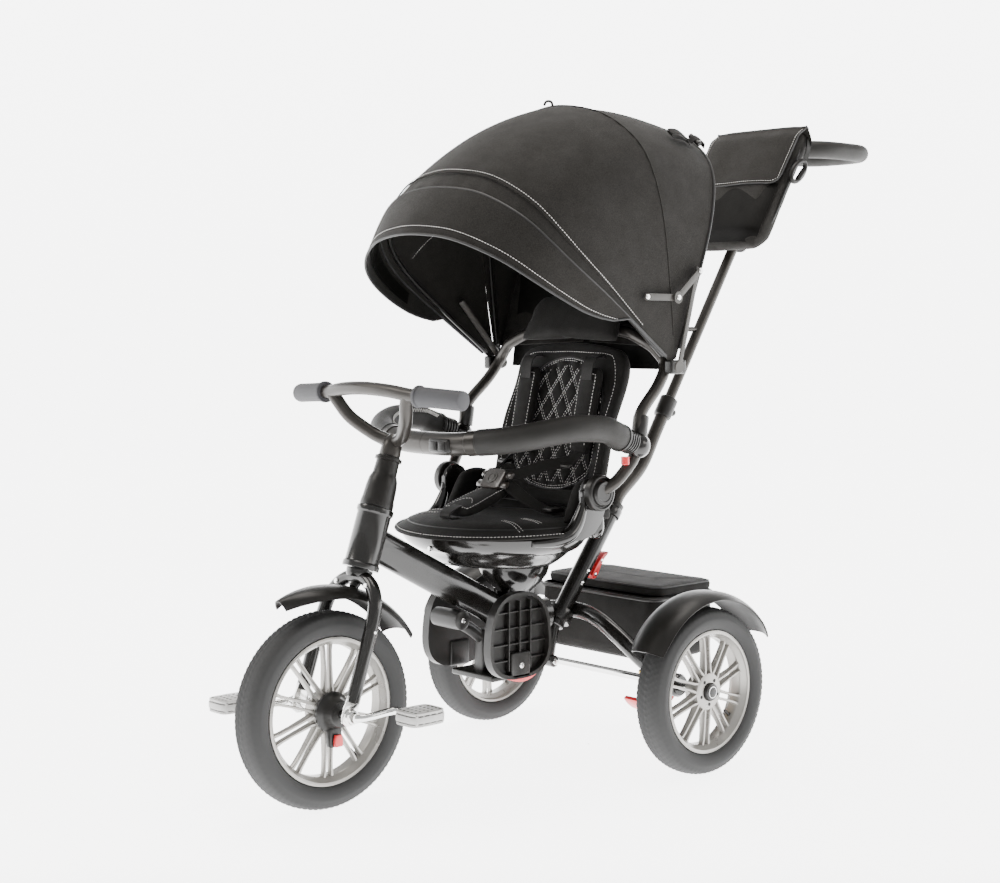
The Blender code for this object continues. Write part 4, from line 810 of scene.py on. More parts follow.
@dataclass
class RearWheels:
    """Both rear wheels with their dark hub caps."""

    half_track: float = 0.238
    radius: float = 0.127
    rim_r: float = 0.0932
    lugs: int = 5

    def build(self) -> None:
        """Makes both wheels."""
        for word, side in SIDES:
            centre = Vector((self.half_track * side, 0.0, self.radius))
            body = f"rear_wheel_{word}"
            Wheel(f"rear_{word}", body, centre, self.radius, self.rim_r, side).build()
            self.cap(word, side, centre, body)

    def cap(self, word: str, side: int, centre: Vector, body: str) -> None:
        """The domed cap, its plain ring and five near-black discs round it, painted shade standing in for the lug
        recesses.
        """
        start = centre + Vector((0.0165 * side, 0, 0))
        dome = [(-0.001, 0.0), (-0.001, 0.0140), (0.003, 0.0140), (0.0055, 0.0125), (0.0072, 0.008), (0.0078, 0.0)]
        dress(Form.lathe(f"hub_cap_{word}", dome, start, (side, 0, 0), 40), BLACK, body)
        ring = [(0.0060, 0.0092), (0.0072, 0.0088), (0.0072, 0.0076), (0.0060, 0.0072)]
        dress(Form.lathe(f"hub_cap_ring_{word}", ring, start, (side, 0, 0), 40), CHROME, body)
        # Five flat near-black discs on the hub face: painted shade where the lug recesses would be.
        hole_shades = []
        for number in range(self.lugs):
            turn = TAU * (number + 0.5) / self.lugs
            middle = start + Vector((0.0, math.sin(turn) * 0.0192, math.cos(turn) * 0.0192))
            shade_disc = [(-0.001, 0.0), (-0.001, 0.0027), (0.0004, 0.0027), (0.0007, 0.0022), (0.0002, 0.0)]
            hole_shades.append(Form.lathe("lug", shade_disc, middle, (side, 0, 0), 16))
        dress(Form.join(hole_shades, f"hub_lug_shades_{word}"), HOLE_SHADE, body)


@dataclass
class FrontDrive:
    """Front wheel, clutch cover, cranks and pedals."""

    radius: float = 0.1404
    rim_r: float = 0.1051
    throw: Vector = field(default_factory=lambda: Vector((0.0, 0.058, 0.006)))
    pedal_from: float = 0.118
    pedal_to: float = 0.166

    def build(self) -> None:
        """Makes the wheel and everything that turns at it."""
        Wheel("front", "front_wheel", FRONT_AXLE, self.radius, self.rim_r, 1, blocks=92).build()
        start = FRONT_AXLE + Vector((0.0160, 0, 0))
        cover = [(0.0, 0.0062), (0.0, 0.0275), (0.003, 0.0290), (0.006, 0.0285), (0.009, 0.0250), (0.014, 0.0215), (0.024, 0.0195)]
        cover += [(0.0262, 0.0180), (0.0266, 0.0062)]
        dress(Form.lathe("clutch_cover", cover, start, (1, 0, 0), 56), BLACK, "front_wheel", "clutch_housing")
        self.tab()
        self.cranks()
        for word, side in SIDES:
            self.pedal(word, side)

    def tab(self) -> None:
        """The red clutch tab in its black holder, low at the front of the hub."""
        low = FRONT_AXLE + Vector((0.0185, -0.0105, -0.0490))
        high = FRONT_AXLE + Vector((0.0295, 0.0105, -0.0200))
        dress(Form.block("clutch_tab_holder", low, high, 0.003), BLACK, "front_wheel")
        outline = []
        for y, z in ((-0.0062, -0.0470), (0.0062, -0.0470), (0.0070, -0.0400), (0.0050, -0.0300), (-0.0050, -0.0300), (-0.0070, -0.0400)):
            outline.append(FRONT_AXLE + Vector((0.0304, y, z)))
        pull = Form.plate("clutch_tab_pull", outline, (0.0060, 0, 0), 0.0012)
        dress(pull, RED, "clutch_tab", "clutch_tab")

    def cranks(self) -> None:
        """The bent steel crank with a flange nut at each side of the hub."""
        shares = [(self.pedal_to - 0.008, 1.0), (0.118, 1.0), (0.104, 1.0), (0.095, 0.96), (0.0885, 0.80), (0.0835, 0.22), (0.077, 0.04), (0.069, 0.0), (0.040, 0.0)]
        route = [FRONT_AXLE + self.throw * share + Vector((x, 0, 0)) for x, share in shares]
        route += [FRONT_AXLE - self.throw * share - Vector((x, 0, 0)) for x, share in reversed(shares)]
        bar = Form.tube("crank_bar", route, 0.0054, 18, 4)
        parts = [bar]
        for side in (1, -1):
            collar = [(0.0, 0.0), (0.0, 0.0095), (0.0035, 0.0095), (0.0045, 0.0080), (0.010, 0.0072), (0.010, 0.0)]
            parts.append(Form.lathe("crank_nut", collar, FRONT_AXLE + Vector((0.0665 * side, 0, 0)), (side, 0, 0), 24))
        dress(Form.join(parts, "crank_steel"), CHROME, "crank", "crank")

    def pedal(self, word: str, side: int) -> None:
        """One pedal: a ribbed pale block with rows of small near-black discs above and below, painted shade standing in
        for its hole pattern.
        """
        centre = FRONT_AXLE + self.throw * side
        body = f"pedal_{word}"
        middle_x = (self.pedal_from + self.pedal_to) / 2.0 * side
        half_x = (self.pedal_to - self.pedal_from) / 2.0
        outline = []
        for corner in range(32):
            turn = TAU * corner / 32
            y = math.copysign(abs(math.cos(turn)) ** 0.45, math.cos(turn)) * 0.0305
            x = math.copysign(abs(math.sin(turn)) ** 0.45, math.sin(turn)) * half_x
            outline.append(Vector((middle_x + x, centre.y + y, centre.z - 0.0045)))
        parts = [Form.plate("pedal_core", outline, (0, 0, 0.0090), 0.001)]
        for level in (-0.0095, 0.0060):
            raised = [Vector((middle_x + (p.x - middle_x) * 0.96, centre.y + (p.y - centre.y) * 0.97, centre.z + level)) for p in outline]
            parts.append(Form.plate("pedal_tread", raised, (0, 0, 0.0036), 0.0009))
        for index in range(5):
            y = centre.y - 0.0230 + index * 0.0115
            low = (middle_x - half_x * 0.92, y - 0.0016, centre.z - 0.0070)
            high = (middle_x + half_x * 0.92, y + 0.0016, centre.z + 0.0070)
            parts.append(Form.block("pedal_rib", low, high, 0.0005))
        dress(Form.join(parts, f"pedal_{word}_block"), PALE_GREY, body, f"pedal_{word}")
        # Rows of thin near-black discs flush on both faces: painted shade where the pedal's through-openings would be.
        hole_shades = []
        for face in (1, -1):
            level = centre.z + 0.0096 * face - (0.0 if face > 0 else -0.0001)
            for row in range(5):
                for column in range(4 if row % 2 else 5):
                    x = middle_x + (column - (1.5 if row % 2 else 2.0)) * 0.0082
                    y = centre.y + (row - 2) * 0.0108
                    spot = [(-0.0004, 0.0), (-0.0004, 0.0021), (0.0001, 0.0021), (0.0001, 0.0)]
                    hole_shades.append(Form.lathe("spot", spot, (x, y, level), (0, 0, face), 14))
        dress(Form.join(hole_shades, f"pedal_{word}_holes"), HOLE_SHADE, body)


@dataclass
class Fork:
    """Fork, front mudguard, boot and handlebar."""

    half: float = 0.058
    crown: float = 0.192
    guard_r: float = 0.1765
    bar_r: float = 0.0096

    def build(self) -> None:
        """Makes everything that steers."""
        self.legs()
        self.dropouts()
        self.mudguard()
        self.boot()
        self.bars()

    def legs(self) -> None:
        """The inverted-U tube and the steering column."""
        half = self.half
        leg = [(half, 0.020), (half, 0.060), (half, 0.110), (half - 0.001, 0.135), (half - 0.006, 0.160), (half - 0.020, 0.180), (0.018, self.crown - 0.001)]
        route = [on_steering(along, aside) for aside, along in leg] + [on_steering(self.crown)]
        route += [on_steering(along, -aside) for aside, along in reversed(leg)]
        parts = [Form.tube("fork_tube", route, 0.0100, 28, 5)]
        crown = [(0.0, 0.0), (0.0, 0.0165), (0.004, 0.0185), (0.0105, 0.0195), (0.0125, 0.0190), (0.0125, 0.0)]
        parts.append(Form.lathe("fork_crown", crown, on_steering(self.crown - 0.0010), STEER_AXIS, 40))
        parts.append(Form.lathe("fork_column", [(0.0, 0.0), (0.0, 0.0120), (0.190, 0.0120), (0.190, 0.0)], on_steering(self.crown), STEER_AXIS, 32))
        dress(Form.join(parts, "fork_frame"), GLOSS, "fork", "fork")
        bolts = []
        for _, side in SIDES:
            for along, aside in ((0.181, 0.034), (0.120, 0.0)):
                if aside:
                    start = on_steering(along, aside * side, 0.0085)
                    bolts.append(Form.lathe("bolt", [(0.0, 0.0), (0.0, 0.0042), (0.0022, 0.0042), (0.0032, 0.0030), (0.0032, 0.0)], start, on_steering(0, 0, 1) - on_steering(0), 18))
                else:
                    start = on_steering(along, (self.half + 0.0092) * side)
                    bolts.append(Form.lathe("screw", [(0.0, 0.0), (0.0, 0.0022), (0.0016, 0.0018), (0.0018, 0.0)], start, (side, 0, 0), 14))
        dress(Form.join(bolts, "fork_bolts"), CHROME, "fork")

    def dropouts(self) -> None:
        """Flattened bright ends with their axle nuts."""
        parts = []
        for _, side in SIDES:
            outline = []
            for ahead, along in ((-0.0120, -0.004), (-0.0085, -0.0115), (0.0, -0.0145), (0.0085, -0.0115), (0.0120, -0.004), (0.0125, 0.010), (0.0095, 0.030), (0.0070, 0.046), (-0.0070, 0.046), (-0.0095, 0.030), (-0.0125, 0.010)):
                outline.append(on_steering(along, (self.half - 0.0022) * side, ahead))
            parts.append(Form.plate("dropout", outline, (0.0044 * side, 0, 0), 0.0008))
            nut = [(0.0, 0.0066), (0.0, 0.0112), (0.0030, 0.0112), (0.0040, 0.0100), (0.0072, 0.0090), (0.0076, 0.0066)]
            parts.append(Form.lathe("axle_nut", nut, FRONT_AXLE + Vector(((self.half + 0.0022) * side, 0, 0)), (side, 0, 0), 28))
        dress(Form.join(parts, "fork_dropouts"), CHROME, "fork")

    def mudguard(self) -> None:
        """A pointed satin mudguard with rolled edges."""
        rows = []
        stations = 36
        for step in range(stations + 1):
            share = step / stations
            angle = math.radians(-25.5 + 81.5 * share)
            tip = max(0.0, 1.0 - share / 0.42)
            narrow = 1.0 - 0.66 * tip**2.4
            lift = 0.004 * tip**2
            row = []
            for column in range(17):
                span = -1.0 + column / 8.0
                droop = 0.013 * abs(span) ** 2.6 + (0.0025 if abs(span) > 0.9 else 0.0)
                reach = self.guard_r + lift - droop
                tail = 0.010 * (1.0 - span * span) * max(0.0, share - 0.85)
                turn = angle + tail
                row.append(FRONT_AXLE + Vector((span * 0.034 * narrow, math.sin(turn) * reach, math.cos(turn) * reach)))
            rows.append(row)
        guard = Form.cloth("front_mudguard", rows, -0.0024)
        dress(guard, SATIN, "fork", "fender_front")
        stay = Form.tube("mudguard_stay", [on_steering(0.1765, 0.0, 0.004), on_steering(0.184, 0.0, 0.0), on_steering(0.190)], 0.007, 16, 3)
        dress(stay, BLACK, "fork")

    def boot(self) -> None:
        """The bell-shaped boot, its clip ring and slim neck."""
        profile = [(0.2948, 0.0128), (0.2948, 0.0238), (0.2975, 0.0244), (0.3040, 0.0240), (0.3075, 0.0232), (0.3250, 0.0224), (0.3360, 0.0210)]
        profile += [(0.3425, 0.0185), (0.3445, 0.0175), (0.3560, 0.0170), (0.3640, 0.0168), (0.3645, 0.0196), (0.3690, 0.0196), (0.3695, 0.0168), (0.3712, 0.0162), (0.3712, 0.0128)]
        dress(Form.lathe("steering_boot", profile, on_steering(0), STEER_AXIS, 56), SATIN, "fork", "boot")

    def bars(self) -> None:
        """Handlebar, curved yoke, stem clamp and grips."""
        end = Vector((0.182, -0.4345, 0.578))
        bend = Vector((0.098, -0.4480, 0.5825))
        top = Vector((0.0, -0.4595, 0.591))
        half = [end - Vector((0.002, 0, 0)), Vector((0.145, -0.4402, 0.5800)), bend, Vector((0.052, -0.4560, 0.5885))]
        route = flipped(half, 1) + [top] + flipped(list(reversed(half)), -1)
        parts = [Form.tube("bar", route, self.bar_r, 24, 6)]
        yoke = [Vector((0.086, -0.4500, 0.5835)), Vector((0.0770, -0.4450, 0.5680)), Vector((0.0630, -0.4340, 0.5460)), Vector((0.0350, -0.4165, 0.5240)), Vector((0.0150, -0.4080, 0.5150))]
        route = flipped(yoke, 1) + [on_steering(0.3930)] + flipped(list(reversed(yoke)), -1)
        parts.append(Form.tube("yoke", route, 0.0095, 24, 6))
        stem = [(0.3714, 0.0), (0.3714, 0.0150), (0.3740, 0.0155), (0.3860, 0.0148), (0.3960, 0.0125), (0.4030, 0.0070), (0.4045, 0.0)]
        parts.append(Form.lathe("stem", stem, on_steering(0), STEER_AXIS, 40))
        dress(Form.join(parts, "handlebar_frame"), GUNMETAL, "fork", "handlebar")
        for word, side in SIDES:
            tip = flipped([end], side)[0]
            root = flipped([bend], side)[0]
            direction = (tip - root).normalized()
            first = root + direction * ((0.104 - 0.098) / abs(direction.x))
            length = (tip - first).length
            profile = [(length - 0.001, 0.0), (length - 0.001, 0.0098), (0.0, 0.0098), (0.0, 0.0150), (0.0015, 0.0158), (0.0045, 0.0158), (0.0060, 0.0142)]
            profile += [(length * 0.5, 0.0139), (length, 0.0140), (length + 0.0030, 0.0134), (length + 0.0040, 0.0110), (length + 0.0042, 0.0)]
            dress(Form.lathe(f"grip_{word}_sleeve", profile, first, direction, 44), GRIP, "fork", f"grip_{word}")


@dataclass
class MainFrame:
    """Head tube, oval main tube and the housing that the seat turns on."""

    half_width: float = 0.0170
    half_height: float = 0.0245
    swivel_y: float = -0.1665

    def build(self) -> None:
        """Makes the welded front half of the frame."""
        self.head()
        self.tube()
        self.swivel()
        self.footrest_bracket()

    def head(self) -> None:
        """The head tube between its two stepped collars."""
        profile = [(0.2045, 0.0128), (0.2045, 0.0262), (0.2060, 0.0268), (0.2115, 0.0268), (0.2130, 0.0256), (0.2150, 0.0247), (0.2835, 0.0247)]
        profile += [(0.2855, 0.0256), (0.2870, 0.0268), (0.2925, 0.0268), (0.2940, 0.0262), (0.2940, 0.0128)]
        dress(Form.lathe("head_tube_shell", profile, on_steering(0), STEER_AXIS, 64), GLOSS, "frame", "head_tube")

    def tube(self) -> None:
        """The oval main tube from the head tube down to the socket."""
        route = [on_steering(0.2450, 0.0, -0.0100), Vector((0, -0.4235, 0.3580)), Vector((0, -0.3300, 0.3085)), Vector((0, -0.2350, 0.2588))]
        route += [Vector((0, -0.2000, 0.2390)), Vector((0, -0.1645, 0.2300)), Vector((0, -0.1300, 0.2265)), Vector((0, -0.0960, 0.2260))]
        path = smooth_route(route, 8)
        rings = []
        for index, point in enumerate(path):
            ahead = path[min(index + 1, len(path) - 1)] - path[max(index - 1, 0)]
            up = Vector((0.0, -ahead.z, ahead.y)).normalized()
            ring = []
            for corner in range(40):
                turn = TAU * corner / 40
                ring.append(point + Vector((math.cos(turn) * self.half_width, 0.0, 0.0)) + up * (math.sin(turn) * self.half_height))
            rings.append(ring)
        parts = [Form.loft("oval", rings)]
        weld = [(0.0, 0.0), (0.0, 0.0205), (0.003, 0.0212), (0.0165, 0.0212), (0.0195, 0.0205), (0.0195, 0.0)]
        direction = Vector((0.0, 0.6, 0.8))
        parts.append(Form.lathe("lower_clamp", weld, Vector((0.0, -0.0790, 0.2040)) + direction * 0.010, direction, 40))
        dress(Form.join(parts, "main_tube_skin"), GLOSS, "frame", "main_tube")
        bead = Form.tube("main_tube_weld", smooth_route([Vector((math.cos(a) * 0.0180, -0.4470 - abs(math.cos(a)) * 0.004, 0.3700 + math.sin(a) * 0.0265)) for a in [TAU * k / 10 for k in range(10)]], 2, True), 0.0016, 8, 1, True)
        dress(bead, GLOSS, "frame")

    def swivel(self) -> None:
        """The moulded cone under the seat, with its side lobes."""
        cone = [(0.2700, 0.0), (0.2700, 0.0265), (0.2745, 0.0310), (0.2850, 0.0425), (0.2960, 0.0510), (0.3060, 0.0545), (0.3110, 0.0550), (0.3120, 0.0535), (0.3120, 0.0)]
        parts = [Form.lathe("cone", cone, (0.0, self.swivel_y, 0.0), (0, 0, 1), 64)]
        for side in (1, -1):
            low = (0.0155 * side - 0.0035, self.swivel_y - 0.026, 0.2420)
            high = (0.0155 * side + 0.0065 * 1.0, self.swivel_y + 0.026, 0.2780)
            parts.append(Form.block("saddle_cheek", low, high, 0.003))
        dress(Form.join(parts, "swivel_cone"), SHELL_GLOSS, "frame", "swivel_housing")

    def footrest_bracket(self) -> None:
        """The plate, post and round adjusting knob under the tube."""
        parts = [Form.block("plate", (-0.047, -0.2545, 0.1445), (0.047, -0.1935, 0.1538), 0.003)]
        parts.append(Form.block("post", (-0.0105, -0.241, 0.150), (0.0105, -0.211, 0.2180), 0.003))
        parts.append(Form.tube("arm", [(0.0, -0.298, 0.2410), (0.0, -0.262, 0.2240), (0.0, -0.228, 0.2000)], 0.0095, 20, 4))
        drum = [(-0.0300, 0.0), (-0.0300, 0.0120), (-0.0285, 0.0142), (-0.0200, 0.0148), (0.0200, 0.0148), (0.0285, 0.0142), (0.0300, 0.0120), (0.0300, 0.0)]
        parts.append(Form.lathe("drum", drum, (0.0, -0.298, 0.2420), (1, 0, 0), 40))
        dress(Form.join(parts, "footrest_bracket_body"), BLACK, "frame", "footrest_bracket")
        studs = []
        for side in (1, -1):
            stud = [(0.0, 0.0), (0.0, 0.0038), (0.0012, 0.0036), (0.0018, 0.0024), (0.0018, 0.0)]
            studs.append(Form.lathe("stud", stud, (0.0298 * side, -0.298, 0.2420), (side, 0, 0), 18))
            studs.append(Form.lathe("stud", stud, (0.0100 * side, -0.2250, 0.2120), (side, 0, 0), 18))
        dress(Form.join(studs, "footrest_bracket_studs"), CHROME, "frame")


@dataclass
class RearFrame:
    """Socket, curved rear beam, axle, mudguards, brakes and footrests."""

    foot: Vector = field(default_factory=lambda: Vector((0.0, -0.0790, 0.2040)))
    top: Vector = field(default_factory=lambda: Vector((0.0, 0.0545, 0.3820)))

    def build(self) -> None:
        """Makes everything behind the main tube that carries the rear wheels."""
        self.beam()
        for word, side in SIDES:
            self.mudguard(word, side)
            self.brake(word, side)
            self.footrest(word, side)
        self.lever()

    def beam(self) -> None:
        """The one welded piece: socket, beam, lug and axle."""
        direction = (self.top - self.foot).normalized()
        length = (self.top - self.foot).length
        step = length - 0.016
        profile = [(0.0, 0.0), (0.0, 0.0132), (0.0015, 0.0145), (step, 0.0145), (step + 0.0010, 0.0172), (step + 0.0020, 0.0176), (length - 0.0012, 0.0176)]
        profile += [(length, 0.0168), (length, 0.0120), (0.0100, 0.0120), (0.0100, 0.0)]
        parts = [Form.lathe("socket", profile, self.foot, direction, 44)]
        half = [(0.189, 0.0, 0.127), (0.1880, -0.0120, 0.1320), (0.185, -0.0260, 0.1420), (0.1740, -0.0420, 0.1580), (0.155, -0.0500, 0.1740), (0.130, -0.0525, 0.1910), (0.100, -0.0500, 0.2060), (0.070, -0.0440, 0.2165), (0.035, -0.0370, 0.2235)]
        route = flipped(half, 1) + [Vector((0, -0.0345, 0.2250))] + flipped(list(reversed(half)), -1)
        parts.append(Form.tube("curved_beam", route, 0.0130, 28, 4))
        below = Vector((0.0, self.foot.y - 0.0115, self.foot.z - 0.054))
        parts.append(Form.tube("lug", [self.foot + direction * 0.004, self.foot.lerp(below, 0.5), below], 0.0080, 20, 2))
        parts.append(Form.lathe("lug_eye", [(-0.014, 0.0), (-0.014, 0.0080), (-0.0125, 0.0095), (0.0125, 0.0095), (0.014, 0.0080), (0.014, 0.0)], below, (1, 0, 0), 32))
        for side in (1, -1):
            boss = [(0.0, 0.0), (0.0, 0.0165), (0.004, 0.0180), (0.014, 0.0180), (0.018, 0.0150), (0.018, 0.0)]
            parts.append(Form.lathe("axle_boss", boss, (0.180 * side, 0.0, 0.127), (side, 0, 0), 36))
        dress(Form.join(parts, "rear_frame_welded"), GLOSS, "frame", "rear_frame")
        axle = Form.lathe("rear_axle", [(-0.253, 0.0), (-0.253, 0.0058), (0.253, 0.0058), (0.253, 0.0)], (0.0, 0.0, 0.127), (1, 0, 0), 24)
        dress(axle, CHROME, "frame")
        pins = []
        for side in (1, -1):
            pins.append(Form.lathe("pin", [(0.128, 0.0), (0.128, 0.0040), (0.190, 0.0040), (0.190, 0.0)], (0.0, -0.0165, 0.1410), (side, 0, 0), 18))
            pins.append(Form.lathe("pin_head", [(0.0, 0.0), (0.0, 0.0046), (0.0105, 0.0046), (0.0125, 0.0032), (0.0125, 0.0)], (0.194 * side, 0.0240, 0.1270), (side, 0, 0), 18))
        dress(Form.join(pins, "brake_pins"), BRASS, "frame")
        bolts = []
        for share in (0.36, 0.46):
            at = self.foot.lerp(self.top, share)
            for side in (1, -1):
                bolts.append(Form.lathe("bolt", [(0.0, 0.0), (0.0, 0.0036), (0.0020, 0.0034), (0.0026, 0.0022), (0.0026, 0.0)], at + Vector((0.0139 * side, 0, 0)), (side, 0, 0), 18))
        for side in (1, -1):
            bolts.append(Form.lathe("eye_bolt", [(0.0, 0.0), (0.0, 0.0058), (0.0030, 0.0056), (0.0040, 0.0040), (0.0040, 0.0)], below + Vector((0.0138 * side, 0, 0)), (side, 0, 0), 24))
        dress(Form.join(bolts, "rear_frame_bolts"), CHROME, "frame")

    def mudguard(self, word: str, side: int) -> None:
        """A smooth satin arch with rolled edges over one rear wheel."""
        centre = Vector((0.238 * side, 0.0, 0.127))
        rows = []
        for step in range(33):
            angle = math.radians(-60.0 + 120.0 * step / 32)
            end = min(1.0, min(step, 32 - step) / 3.0)
            row = []
            for column in range(19):
                span = -1.0 + column / 9.0
                droop = 0.0105 * abs(span) ** 2.8 + 0.0008 * (1.0 - end)
                reach = 0.1522 - droop
                wide = 0.0350 * (0.90 + 0.10 * math.sqrt(end))
                row.append(centre + Vector((span * wide, math.sin(angle) * reach, math.cos(angle) * reach)))
            rows.append(row)
        dress(Form.cloth(f"rear_mudguard_{word}", rows, -0.0026), SATIN, "frame", f"fender_rear_{word}")
        stay = Form.tube(f"mudguard_stay_{word}", [(0.186 * side, -0.004, 0.1400), (0.192 * side, -0.010, 0.2000), (0.207 * side, -0.004, 0.2650)], 0.0052, 14, 4)
        dress(stay, BLACK, "frame")

    def brake(self, word: str, side: int) -> None:
        """A red arched foot pedal hanging from its pin."""
        pivot = Vector((0.137 * side, -0.0165, 0.1410))
        outline = []
        for reach, angles in ((0.058, range(215, 326, 6)), (0.0515, range(323, 214, -6))):
            for degrees in angles:
                outline.append(pivot + Vector((0.0, math.cos(math.radians(degrees)) * reach, math.sin(math.radians(degrees)) * reach)))
        parts = [Form.plate("tread", outline, (0.0262 * side, 0, 0), 0.0012)]
        arm_end = pivot + Vector((0.010 * side, math.cos(math.radians(240)) * 0.0545, math.sin(math.radians(240)) * 0.0545))
        parts.append(Form.tube("arm", [pivot + Vector((0.010 * side, 0, 0)), arm_end], 0.0048, 16, 2))
        boss = [(0.001, 0.0045), (0.001, 0.0085), (0.002, 0.0092), (0.021, 0.0092), (0.022, 0.0085), (0.022, 0.0045)]
        parts.append(Form.lathe("boss", boss, pivot, (side, 0, 0), 28))
        dress(Form.join(parts, f"brake_{word}_pedal"), RED, f"brake_{word}", f"brake_{word}")

    def footrest(self, word: str, side: int) -> None:
        """One folding footrest with its ribbed, dished underside outwards."""
        middle = Vector((0.063 * side, -0.224, 0.217))
        body = f"footrest_{word}"
        parts = []
        for inset, x_from, depth in ((0.0, 0.0, 0.0150), (0.0, 0.0, 0.0)):
            if depth:
                outer = self.oval(middle, side, 0.062, 0.065, 48)
                inner = self.oval(middle, side, 0.0565, 0.0595, 48)
                rings = [outer, [p + Vector((0.0150 * side, 0, 0)) for p in outer], [p + Vector((0.0150 * side, 0, 0)) for p in inner], [p + Vector((0.0040 * side, 0, 0)) for p in inner]]
                parts.append(Form.loft("rim", rings))
        for number in range(3):
            y = -0.022 + number * 0.022
            low = sorted((middle.x + 0.003 * side, middle.x + 0.0125 * side))
            parts.append(Form.block("rib_up", (low[0], middle.y + y - 0.0011, middle.z - 0.052), (low[1], middle.y + y + 0.0011, middle.z + 0.052), 0.0006))
        for number in range(4):
            z = -0.036 + number * 0.024
            low = sorted((middle.x + 0.003 * side, middle.x + 0.0105 * side))
            parts.append(Form.block("rib_across", (low[0], middle.y - 0.053, middle.z + z - 0.0011), (low[1], middle.y + 0.053, middle.z + z + 0.0011), 0.0006))
        low = sorted((middle.x - 0.0035 * side, middle.x + 0.0150 * side))
        parts.append(Form.block("hinge_block", (low[0], middle.y - 0.019, middle.z - 0.0650), (low[1], middle.y + 0.019, middle.z - 0.0250), 0.003))
        dress(Form.join(parts, f"footrest_{word}_tread"), BLACK, body, f"footrest_{word}")
        stud = [(0.0, 0.0), (0.0, 0.0042), (0.0012, 0.0040), (0.0020, 0.0026), (0.0020, 0.0)]
        made = Form.lathe(f"footrest_{word}_stud", stud, (middle.x + 0.0148 * side, middle.y, middle.z - 0.045), (side, 0, 0), 20)
        dress(made, CHROME, body)

    def oval(self, middle: Vector, side: int, half_y: float, half_z: float, count: int) -> list[Vector]:
        """An upright rounded outline in the plane of one footrest.

        Args:
            middle: Its centre.
            side: Which side it is on; not used.
            half_y: Half its length.
            half_z: Half its height.
            count: How many points.

        Returns:
            The outline's points.
        """
        outline = []
        for corner in range(count):
            turn = TAU * corner / count
            y = math.copysign(abs(math.cos(turn)) ** 0.75, math.cos(turn)) * half_y
            z = math.copysign(abs(math.sin(turn)) ** 0.75, math.sin(turn)) * half_z
            outline.append(middle + Vector((0.0, y * (1.0 - 0.10 * z / half_z), z)))
        return outline

    def lever(self) -> None:
        """The red quick-release lever with its two rivets."""
        direction = (self.top - self.foot).normalized()
        out = Vector((0.0, direction.z, -direction.y))
        pivot = self.foot.lerp(self.top, 0.52) + out * 0.0220
        upper = [(-0.010, -0.0040), (0.004, -0.0048), (0.020, -0.0040), (0.032, -0.0010), (0.0405, 0.0060)]
        lower = [(0.0370, 0.0068), (0.026, 0.0040), (0.012, 0.0045), (0.0, 0.0065), (-0.010, 0.0060), (-0.014, 0.0010)]
        outline = [pivot + direction * along + out * away + Vector((-0.0090, 0, 0)) for along, away in upper + lower]
        dress(Form.plate("release_lever_blade", outline, (0.0180, 0, 0), 0.0016), RED, "release_lever", "release_lever")
        rivets = []
        for along, away in ((-0.006, 0.001), (0.020, 0.0002)):
            for side in (1, -1):
                at = pivot + direction * along + out * away + Vector((0.0088 * side, 0, 0))
                rivets.append(Form.lathe("rivet", [(0.0, 0.0), (0.0, 0.0030), (0.0010, 0.0027), (0.0014, 0.0014), (0.0014, 0.0)], at, (side, 0, 0), 16))
        dress(Form.join(rivets, "release_lever_rivets"), CHROME, "release_lever")


